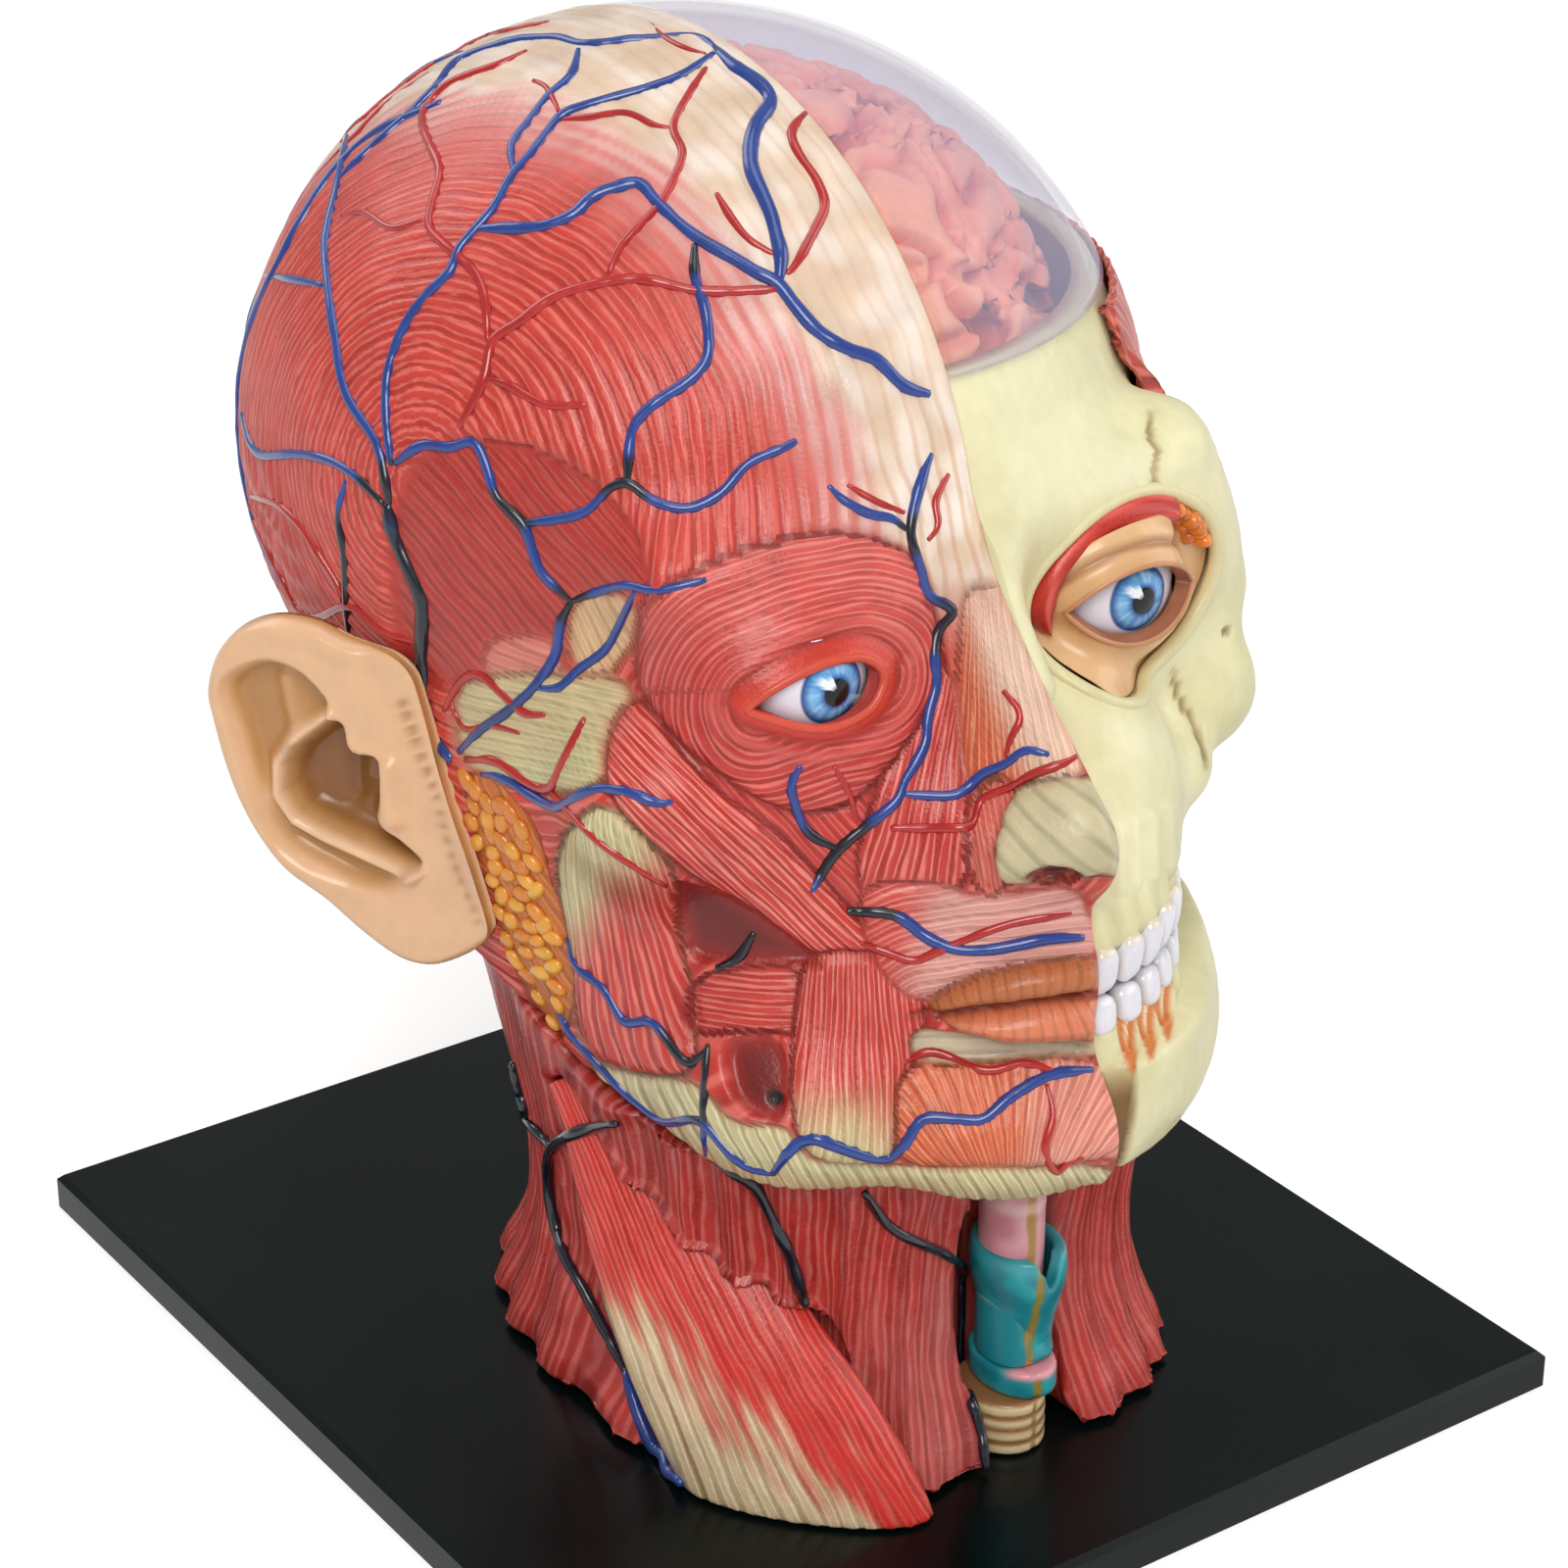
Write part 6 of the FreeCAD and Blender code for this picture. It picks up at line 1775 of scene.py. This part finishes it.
def paint_sternomastoid(skin):
    """Red fibres that turn into a cream tendon towards the lower outer edge."""
    px = skin.pixels
    across, along = fibre_lines(px, "fan", (347, 566, 800))
    streak = noise(np.stack([across / 9.0, along / 90.0, 0 * along], -1), 1.0, 83)
    border = np.array([[585.0, 1300.0], [885.0, 1560.0]])
    way = unit(border[1] - border[0])
    off = (px - border[0]) @ np.array([-way[1], way[0]])
    tendon = smooth_step(-50.0, 30.0, off + 50.0 * streak)
    facing = skin.seen
    base = paint_mix((206, 40, 32), (226, 196, 152), tendon)
    line = paint_mix((232, 112, 98), (242, 230, 200), tendon)
    skin.ridges(across / pixels_per_mm, along / pixels_per_mm, 1.75, 0.25 + 0.75 * facing, 0.14, base,
                line, 0.6)
    brown = smooth_step(0.35, 0.8, noise(np.stack([across / 7.0, along / 160.0, 0 * along + 4.0], -1),
                                         1.0, 84))
    skin.lay(brown * tendon * 0.55, paint=(150, 96, 56), add=-0.15)
    bright = smooth_step(40.0, 8.0, np.abs(off + 30.0)) * smooth_step(1250.0, 1420.0, px[:, 1])
    skin.lay(bright * 0.5 * (1.0 - tendon), paint=(222, 34, 28))
    skin.height = skin.height - 0.2


def paint_cartilage(skin):
    p = skin.points
    clouds = smooth_step(-0.6, 0.8, noise(p, 2.6, 85))
    skin.paint = paint_mix((16, 128, 142), (40, 164, 172), clouds)
    seam = np.abs(p[:, 0] - throat_seam_x + 0.2 * noise(p, 1.5, 86))
    front = smooth_step(-44.0, -46.5, p[:, 1])
    skin.lay(smooth_step(0.6, 0.25, seam) * front, paint=(152, 128, 52), add=-0.2)
    edge_light = smooth_step(26.2, 27.6, p[:, 2])
    skin.lay(edge_light * 0.5, paint=(90, 190, 196))
    skin.height -= 0.05


def paint_cricoid(skin):
    paint_cartilage(skin)
    top = smooth_step(13.4, 14.2, skin.points[:, 2])
    skin.lay(top * smooth_step(-44.0, -46.0, skin.points[:, 1]), paint=(222, 150, 160))


def paint_membrane(skin):
    p = skin.points
    skin.paint = paint_mix((214, 140, 152), (232, 172, 178), smooth_step(-0.5, 0.6, noise(p, 3.0, 87)))
    skin.lay(smooth_step(22.6, 22.0, p[:, 2]), paint=(22, 138, 150), add=0.12)
    seam = np.abs(p[:, 0] - throat_seam_x + 0.3 * noise(p, 2.0, 88))
    skin.lay(smooth_step(0.75, 0.3, seam) * smooth_step(-42.5, -44.5, p[:, 1]), paint=(176, 128, 60),
             add=-0.15)
    skin.lay(smooth_step(1.0, 0.3, np.abs(p[:, 2] - 34.5)) * 0.6, paint=(240, 206, 200), add=0.1)
    skin.height -= 0.1


trachea_low_z = 4.6
trachea_high_z = 11.2
trachea_rings = 4


def paint_trachea(skin):
    p = skin.points
    pitch = (trachea_high_z - trachea_low_z) / trachea_rings
    wave = 0.5 - 0.5 * np.cos(2 * math.pi * (p[:, 2] - trachea_low_z) / pitch)
    skin.paint = paint_mix((150, 104, 62), (226, 204, 158), smooth_step(0.1, 0.6, wave))
    seam = np.abs(p[:, 0] - throat_seam_x + 0.3 * noise(p, 2.0, 89))
    skin.lay(smooth_step(0.5, 0.2, seam) * smooth_step(-44.0, -46.0, p[:, 1]) * 0.7, paint=(150, 110, 56),
             add=-0.15)
    skin.height -= 0.05


dress_ear()
recast("neck_muscles_right", "neck_right", 0.75, paint_neck_right, flesh, "figure", relax=4)
recast("neck_muscles_left", "neck_left", 0.75, paint_neck_left, flesh, "figure", relax=4)
recast("sternomastoid", "sternomastoid_right", 0.5, paint_sternomastoid, flesh, "figure",
       relax=5)
recast("thyroid_plates", "thyroid_cartilage", 0.35, paint_cartilage, skin_gloss, "figure",
       relax=4, span_shares=(0.22, 1.0))
recast("cricoid_ring", "cricoid_cartilage", 0.35, paint_cricoid, skin_gloss, "figure",
       relax=3, span_shares=(0.24, 0.92))
recast("throat_membrane", "thyrohyoid_membrane", 0.4, paint_membrane, skin_gloss, "figure",
       relax=4, span_shares=(0.15, 0.94))
recast("windpipe_rings", "trachea", 0.35, paint_trachea, skin_gloss, "figure", relax=2,
       span_shares=(0.02, 0.86))


# CAD nodes that stay, each with its own finish
def finish_node(node, material):
    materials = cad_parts[node].data.materials
    materials.clear()
    materials.append(material)


plate_gloss = surface_material("plate_gloss", (4, 13, 13), roughness=0.3, coat=0.08, stroke=0.0,
                               grain_size=1.2,
                               grain_depth=0.01, blotch=0.3, blotch_size=30.0, rough_change=0.08,
                               specular=0.18)
plastic_ivory = surface_material("plastic_ivory", (206, 198, 168), roughness=0.4, grain_depth=0.02)
base_bone = surface_material("base_bone", (214, 206, 164), roughness=0.42, grain_size=1.0, grain_depth=0.06,
                             blotch=0.1)
tongue_pink = surface_material("tongue_pink", (196, 92, 86), roughness=0.35, coat=0.5, grain_size=0.7,
                               grain_depth=0.08, blotch=0.1, blotch_size=3.0)
wall_pink = surface_material("wall_pink", (214, 150, 140), roughness=0.36, grain_depth=0.03, blotch=0.1)
stem_pink = surface_material("stem_pink", (222, 168, 132), roughness=0.4, grain_size=0.8, grain_depth=0.06,
                             blotch=0.08, blotch_size=3.0)
for node, material in (("base_plate", plate_gloss), ("stand_post", plate_gloss),
                       ("spine_column", plastic_ivory),
                       ("skull_base", base_bone), ("nasal_septum", wall_pink), ("tongue", tongue_pink),
                       ("brain_stem", stem_pink), ("cerebellum", stem_pink), ("shell_pins", plastic_ivory)):
    finish_node(node, material)


# Vessels and gland laid on the face, along routes in the photograph's pixels
blue_routes = [
    (0.62, [(355, 134), (345, 184), (332, 245), (334, 287), (342, 344), (353, 402), (384, 452),
            (393, 490), (397, 515)]),
    (0.5, [(271, 281), (296, 285), (330, 291)]),
    (0.6, [(345, 184), (384, 145), (414, 119), (445, 88), (468, 61), (521, 42), (567, 38), (598, 45),
           (652, 39),
           (678, 36), (709, 34), (732, 50)]),
    (0.85, [(732, 50), (751, 69), (774, 84), (787, 103), (770, 130), (766, 168), (785, 214), (797, 260),
            (795, 285)]),
    (0.6, [(728, 54), (694, 77), (652, 92), (598, 107), (571, 119), (544, 153), (521, 180), (502, 214),
           (468, 253),
           (460, 276), (430, 306), (407, 344), (395, 383), (394, 429), (399, 474)]),
    (0.55, [(590, 50), (583, 77), (560, 96), (537, 126), (521, 149), (525, 176)]),
    (0.75, [(487, 233), (525, 233), (556, 230), (586, 218), (606, 199), (629, 191), (652, 187),
            (671, 207), (709, 241),
            (743, 260), (774, 279), (792, 287), (807, 306), (834, 337), (865, 356), (895, 367),
            (922, 394), (949, 402)]),
    (0.6, [(709, 249), (709, 283), (720, 318), (722, 364), (701, 390), (671, 409), (648, 432), (642, 459),
           (640, 492)]),
    (0.6, [(403, 473), (430, 454), (460, 457), (483, 450), (497, 477), (506, 507), (533, 534), (542, 557),
           (552, 584),
           (583, 614)]),
    (0.55, [(533, 534), (567, 530), (598, 522), (621, 499), (640, 492), (667, 511), (701, 519),
            (736, 503), (763, 473),
            (800, 457), (812, 450)]),
    (0.5, [(583, 614), (613, 603), (640, 597), (667, 603), (697, 597), (720, 591)]),
    (0.6, [(583, 614), (571, 637), (567, 668), (544, 702), (514, 729), (491, 744), (468, 767)]),
    (0.5, [(648, 603), (632, 637), (617, 664), (590, 683), (571, 702), (548, 702)]),
    (0.55, [(246, 423), (263, 463), (299, 463), (334, 469), (365, 488), (391, 515)]),
    (0.5, [(353, 490), (345, 522), (351, 568), (353, 614), (355, 645)]),
    (0.6, [(491, 790), (514, 794), (544, 813), (567, 825), (586, 813), (613, 804), (644, 809), (667, 819),
           (686, 819)]),
    (0.6, [(951, 463), (940, 491), (930, 533), (931, 554), (940, 582), (947, 607), (974, 623), (958, 642),
           (954, 667),
           (956, 698), (947, 730), (944, 761), (921, 800), (916, 817), (856, 867), (828, 910)]),
    (0.5, [(846, 496), (863, 512), (891, 526), (909, 528), (930, 544)]),
    (0.55, [(817, 782), (807, 800), (810, 817), (824, 849), (856, 867)]),
    (0.55, [(921, 810), (951, 812), (979, 810), (1003, 789), (1028, 779), (1045, 765), (1070, 770)]),
    (0.6, [(579, 957), (588, 986), (615, 1008), (638, 1044), (664, 1042), (691, 1075), (704, 1086),
           (722, 1071)]),
    (0.6, [(568, 1030), (584, 1057), (620, 1097), (642, 1120), (673, 1146), (704, 1142), (718, 1146),
           (740, 1173),
           (762, 1191), (789, 1198)]),
    (0.5, [(722, 1066), (718, 1111), (718, 1146), (720, 1182)]),
    (0.65, [(789, 1198), (807, 1173), (829, 1162), (861, 1173), (901, 1184), (923, 1169), (941, 1142),
            (977, 1142),
            (1004, 1142), (1030, 1120), (1071, 1097), (1115, 1091)]),
    (0.65, [(865, 930), (914, 934), (946, 957), (981, 970), (1021, 968), (1066, 959), (1106, 957)]),
    (0.9, [(395, 515), (399, 538), (414, 576), (430, 614), (430, 668), (433, 721), (445, 756), (460, 775)]),
    (0.6, [(769, 952), (754, 977), (731, 988)]),
]
# Ends and stretches of the blue vessels that turn black, as places and radii in pixels
black_places = [((425, 640), 120), ((640, 492), 26), ((583, 614), 22), ((525, 515), 26), ((858, 866), 42),
                ((930, 545), 20),
                ((958, 640), 28), ((700, 1085), 40), ((720, 1120), 26), ((750, 970), 50),
                ((880, 930), 36), ((395, 500), 30),
                ((710, 265), 18), ((355, 560), 40)]
red_routes = [
    (0.55, [(822, 115), (807, 134), (815, 157), (834, 184), (842, 210), (830, 237), (811, 272), (803, 279)]),
    (0.45, [(731, 197), (746, 222), (765, 245), (792, 260)]),
    (0.6, [(793, 295), (717, 297), (659, 285), (621, 287), (567, 302), (529, 329), (502, 348), (495, 383),
           (479, 417),
           (468, 436)]),
    (0.5, [(720, 69), (701, 99), (686, 130), (697, 153), (690, 176), (674, 207), (652, 230), (632, 253),
           (621, 279)]),
    (0.45, [(571, 122), (606, 119), (640, 115), (667, 128), (686, 130)]),
    (0.4, [(544, 82), (556, 86), (571, 115)]),
    (0.4, [(663, 21), (678, 38), (701, 50), (720, 55)]),
    (0.55, [(537, 52), (506, 67), (464, 82), (445, 96), (430, 119), (437, 145), (449, 172), (443, 199),
            (437, 230),
            (453, 249), (483, 276), (495, 306), (497, 348)]),
    (0.4, [(349, 220), (372, 216), (399, 233), (430, 224)]),
    (0.5, [(495, 386), (521, 394), (556, 413), (598, 413)]),
    (0.6, [(475, 775), (506, 777), (537, 798), (560, 806), (571, 783), (583, 760), (596, 733)]),
    (0.5, [(453, 725), (468, 698), (487, 687), (518, 714), (537, 729), (556, 729)]),
    (0.5, [(257, 507), (284, 515), (307, 538), (326, 568), (345, 599), (349, 618)]),
    (0.5, [(252, 515), (269, 553), (284, 584), (307, 626), (326, 630), (349, 618), (365, 622), (391, 645),
           (426, 656)]),
    (0.4, [(865, 495), (895, 512), (923, 523)]),
    (0.45, [(968, 484), (954, 512), (958, 537), (947, 551)]),
    (0.4, [(1024, 705), (1042, 730), (1031, 754), (1026, 772)]),
    (0.5, [(1102, 772), (1077, 782), (1056, 789), (1031, 803), (1000, 817), (993, 842), (958, 845),
           (909, 845)]),
    (0.4, [(851, 782), (867, 810), (874, 838)]),
    (0.5, [(923, 1084), (946, 1073), (972, 1079), (1008, 1093), (1044, 1084), (1075, 1093)]),
    (0.45, [(1068, 1106), (1075, 1137), (1066, 1173), (1079, 1198), (1088, 1187), (1106, 1182)]),
    (0.5, [(879, 963), (905, 972), (932, 981), (954, 972), (986, 959), (1030, 943), (1093, 932)]),
    (0.45, [(345, 140), (400, 88), (470, 45), (560, 22)]),
    (0.45, [(560, 806), (600, 850), (640, 880), (680, 905)]),
    (0.4, [(460, 720), (475, 745), (500, 740), (530, 748)]),
]
# Vessels on the back of the head, which the photograph doesn't show: places on the head in degrees
# round from the face and up from its middle
back_routes = [
    ("blue", 0.7, [(104, -14), (116, -4), (122, 10), (118, 26), (124, 42), (112, 56)]),
    ("blue", 0.55, [(122, 10), (136, 16), (148, 30), (150, 46), (142, 58)]),
    ("blue", 0.5, [(116, -4), (132, -10), (146, -8), (158, 2), (166, 16)]),
    ("blue", 0.5, [(146, -8), (154, -22), (150, -34)]),
    ("red", 0.55, [(108, -22), (124, -18), (138, -26), (150, -20), (162, -10), (168, 4)]),
    ("red", 0.5, [(124, -18), (128, 0), (138, 8), (140, 26), (132, 38), (136, 54)]),
    ("red", 0.4, [(138, 8), (152, 12), (160, 26), (170, 34)]),
]
neck_routes = [
    ("black", 0.75, [(480, 1050), (500, 1090), (530, 1130), (564, 1170)]),
    ("black", 0.7, [(630, 1145), (600, 1152), (566, 1168), (560, 1200), (566, 1240), (580, 1285), (596, 1314),
                    (627, 1372), (640, 1400)]),
    ("blue", 0.8, [(640, 1400), (649, 1430), (662, 1466), (678, 1500), (692, 1524)]),
    ("black", 0.75, [(725, 1180), (748, 1194), (770, 1207), (788, 1238), (806, 1283), (821, 1332)]),
    ("black", 0.6, [(881, 1216), (904, 1247), (931, 1265), (971, 1283), (991, 1310), (989, 1359), (989, 1403),
                    (1000, 1457), (1018, 1512)]),
]
vessel_colours = {"blue": (30, 62, 140), "red": (176, 30, 26), "black": (14, 18, 34)}
vessel_raise_share = 0.25
route_step = 4.5
back_route_step = 2.0
face_middle = (640, 620)
neck_middle = (800, 1300)


def cast_route(tree, route, toward=face_middle):
    """Points and normals on a surface under a route in pixels, pulled inwards where it misses."""
    places = []
    normals = []
    for pixel in spline(route, route_step):
        for pull in range(0, 60, 3):
            way = unit(np.asarray(toward, float) - pixel)
            hit, normal, _, _ = tree.ray_cast(Vector(camera_position), Vector(photo_ray(pixel + way * pull)))
            if hit is not None:
                places.append(np.array(hit))
                normals.append(np.array(normal))
                break
    return np.array(places), np.array(normals)


def cast_back(route):
    """Points and normals on the face piece under a route of directions from the head's middle."""
    places = []
    normals = []
    for round_degrees, up_degrees in spline(route, back_route_step):
        turn = math.radians(round_degrees)
        rise = math.radians(up_degrees)
        way = np.array([-math.sin(turn) * math.cos(rise), -math.cos(turn) * math.cos(rise), math.sin(rise)])
        hit, normal, _, _ = face_tree.ray_cast(Vector(head_centre + way * 120.0), Vector(-way))
        if hit is not None:
            places.append(np.array(hit))
            normals.append(np.array(normal))
    return np.array(places), np.array(normals)


def soften(line, times=2):
    line = np.array(line, float)
    for _ in range(times):
        line[1:-1] = line[1:-1] * 0.5 + (line[:-2] + line[2:]) * 0.25
    return line


def lay_vessel(shape, places, normals, radius, colour, black):
    """Tube half sunk in the surface, thinner at its ends, a little uneven as if painted by hand."""
    if len(places) < 4:
        return
    line = soften(places, 3)
    out = unit(soften(normals, 4))
    line = line + out * radius * vessel_raise_share
    share = np.linspace(0.0, 1.0, len(line))
    ends = np.minimum(np.minimum(share, 1.0 - share) * len(line) / 5.0, 1.0)
    uneven = 1.0 + 0.16 * noise(line, 3.0, 91)
    radii = radius * uneven * (0.62 + 0.38 * ends)
    limit = np.array([0.0, head_centre_y + head_half_depth - 0.05, head_centre_z + head_half_height - 0.2])
    line[:, 2] = np.minimum(line[:, 2], limit[2] - radii)
    line[:, 1] = np.minimum(line[:, 1], limit[1] - radii)
    line[:, 0] = np.minimum(line[:, 0], -radii * 0.6)
    paint = np.repeat(np.asarray(colour, float)[None], len(line), axis=0)
    if black:
        pixels = to_photo(line)
        for place, size in black_places:
            gap = np.linalg.norm(pixels - place, axis=1)
            paint = paint_mix(paint, vessel_colours["black"], smooth_step(size * 1.2, size * 0.7, gap))
    tube(shape, line, radii, 10, paint)


def dress_vessels():
    for kind, routes in (("blue", blue_routes), ("red", red_routes)):
        shape = Shape()
        for radius, route in routes:
            places, normals = cast_route(face_tree, route)
            lay_vessel(shape, places, normals, radius, vessel_colours[kind], black=kind == "blue")
        for back_kind, radius, route in back_routes:
            if back_kind == kind:
                places, normals = cast_back(route)
                lay_vessel(shape, places, normals, radius, vessel_colours[kind], black=False)
        make_piece("vessels_" + kind, shape, vessel_gloss, "muscle_shell")


def dress_neck_vessels():
    points = []
    faces = []
    count = 0
    for name in ("neck_muscles_right", "neck_muscles_left", "sternomastoid"):
        mesh = bpy.data.objects[name].data
        own = np.zeros(len(mesh.vertices) * 3)
        mesh.vertices.foreach_get("co", own)
        own = own.reshape(-1, 3) / metres_per_mm
        points.append(own)
        faces += [tuple(i + count for i in face.vertices) for face in mesh.polygons]
        count += len(own)
    tree = mesh_tree(np.vstack(points), faces)
    shape = Shape()
    for kind, radius, route in neck_routes:
        places, normals = cast_route(tree, route, toward=neck_middle)
        keep = np.concatenate([[True], np.linalg.norm(np.diff(places, axis=0), axis=1) < 6.0])
        lay_vessel(shape, places[keep], normals[keep], radius, vessel_colours[kind], black=False)
    make_piece("vessels_neck", shape, vessel_gloss, "figure")


parotid_outline = [(470, 790), (490, 800), (525, 830), (545, 870), (560, 930), (575, 990), (572, 1040),
                   (560, 1065),
                   (540, 1020), (515, 960), (495, 890), (480, 840)]
lobe_spacing = 12.6
lobe_tries = 4000


def dress_parotid():
    """Yellow lobes of the gland before the ear, packed side by side."""
    random = np.random.RandomState(12)
    outline = np.array(parotid_outline, float)
    chosen = []
    for _ in range(lobe_tries):
        pixel = random.uniform(outline.min(axis=0), outline.max(axis=0))
        if inside_distance(pixel[None], outline)[0] < 1.0:
            continue
        if all(math.hypot(*(pixel - other)) > lobe_spacing for other in chosen):
            chosen.append(pixel)
    shape = Shape()
    for pixel in chosen:
        hit = face_tree.ray_cast(Vector(camera_position), Vector(photo_ray(pixel)))[0]
        if hit is None:
            continue
        out = np.array(form_normals(muscle_form, np.array(hit)[None])[0])
        across = unit(np.cross(out, random.normal(size=3)))
        other = np.cross(out, across)
        size = np.array([random.uniform(1.15, 1.6), random.uniform(0.85, 1.15), random.uniform(0.5, 0.7)])
        tone = random.uniform(0.0, 1.0)
        paint = paint_mix((234, 172, 60), (214, 122, 38), tone)
        round_blob(shape, np.array(hit) + out * 0.05, [across, other, out], size, 8, 12, paint)
    make_piece("parotid_gland", shape, gland_gloss, "muscle_shell")


vessel_gloss = surface_material("vessel_gloss", roughness=0.25, coat=0.6, stroke=0.04, stroke_size=(0.6, 2.0),
                                grain_size=0.5, grain_depth=0.02, blotch=0.12, blotch_size=3.0)
dress_vessels()
dress_neck_vessels()
dress_parotid()


# Camera, floor and light
camera_reach = 20.0
light_target = (0.0, 0.0, 0.08)
floor_half_size = 3.0
floor_grey = 0.86
floor_lift = 0.3
floor_roughness = 0.9
floor_glow = 0.9
floor_fade = (0.3, 0.9)
world_strength = 0.36
# Name, place, size, power and colour of each lamp
lamps = [
    ("key", (-0.55, -0.75, 0.95), 0.7, 9.0, (1.0, 0.98, 0.95)),
    ("fill", (0.95, -0.55, 0.55), 0.9, 4.0, (1.0, 1.0, 1.0)),
    ("rim", (-0.3, 0.95, 0.9), 0.8, 3.6, (1.0, 1.0, 1.0)),
    ("top", (0.1, 0.0, 1.2), 0.8, 2.6, (1.0, 1.0, 1.0)),
]


def aim(thing, place, target):
    thing.location = Vector(place)
    thing.rotation_euler = (Vector(target) - Vector(place)).to_track_quat("-Z", "Y").to_euler()
    bpy.context.scene.collection.objects.link(thing)


def make_floor():
    """Pale floor that keeps the object's shadow, and is white far off and in mirrored rays."""
    corners = [(-1, -1), (1, -1), (1, 1), (-1, 1)]
    mesh = bpy.data.meshes.new("floor")
    mesh.from_pydata([(x * floor_half_size, y * floor_half_size, 0.0) for x, y in corners], [],
                     [(0, 1, 2, 3)])
    nodes = Nodes(bpy.data.materials.new("floor_white"))
    path = nodes.new("ShaderNodeLightPath").outputs
    seen = path["Is Camera Ray"]
    mirrored = nodes.math("ADD", path["Is Glossy Ray"], path["Is Transmission Ray"], use_clamp=True)
    grey = (floor_grey, floor_grey, floor_grey, 1.0)
    plain = nodes.new("ShaderNodeBsdfPrincipled", {"Base Color": grey, "Roughness": floor_roughness,
                                                   "Specular IOR Level": 0.0}).outputs[0]
    glow = nodes.new("ShaderNodeEmission", {"Color": white, "Strength": floor_glow}).outputs[0]
    lift_colour = (floor_lift, floor_lift, floor_lift, 1.0)
    lift = nodes.new("ShaderNodeEmission", {"Color": lift_colour, "Strength": seen}).outputs[0]
    lifted = nodes.new("ShaderNodeAddShader", {0: plain, 1: lift}).outputs[0]
    place = nodes.new("ShaderNodeTexCoord").outputs["Object"]
    away = nodes.new("ShaderNodeVectorMath", {0: place}, operation="LENGTH").outputs["Value"]
    far = nodes.ranged(away, *floor_fade, 0.0, 1.0, interpolation_type="SMOOTHSTEP")
    flat = nodes.new("ShaderNodeEmission", {"Color": white, "Strength": 1.0}).outputs[0]
    shares = {0: nodes.math("MULTIPLY", far, seen), 1: lifted, 2: flat}
    bright = nodes.new("ShaderNodeMixShader", shares).outputs[0]
    mesh.materials.append(nodes.finish(nodes.new("ShaderNodeMixShader", {0: mirrored, 1: bright, 2: glow})))
    floor = bpy.data.objects.new("floor", mesh)
    bpy.context.scene.collection.objects.link(floor)


def light_world():
    world = bpy.data.worlds.new("studio")
    bpy.context.scene.world = world
    nodes = Nodes(world, "ShaderNodeOutputWorld")
    seen = nodes.new("ShaderNodeLightPath").outputs["Is Camera Ray"]
    dim, full = (nodes.new("ShaderNodeBackground", {"Color": white, "Strength": strength}).outputs[0]
                 for strength in (world_strength, 1.0))
    nodes.finish(nodes.new("ShaderNodeMixShader", {0: seen, 1: dim, 2: full}))


camera_data = bpy.data.cameras.new("camera")
camera_data.sensor_width = sensor_width
camera_data.lens = focal_pixels / photo_width * sensor_width
camera_data.clip_end = camera_reach
camera = bpy.data.objects.new("camera", camera_data)
aim(camera, camera_position * metres_per_mm, camera_target * metres_per_mm)
bpy.context.scene.camera = camera
for name, place, size, power, colour in lamps:
    lamp = bpy.data.lights.new(name, "AREA")
    lamp.shape = "DISK"
    lamp.size = size
    lamp.energy = power
    lamp.color = colour
    aim(bpy.data.objects.new(name, lamp), place, light_target)
make_floor()
light_world()

bpy.context.scene.view_settings.view_transform = "Standard"
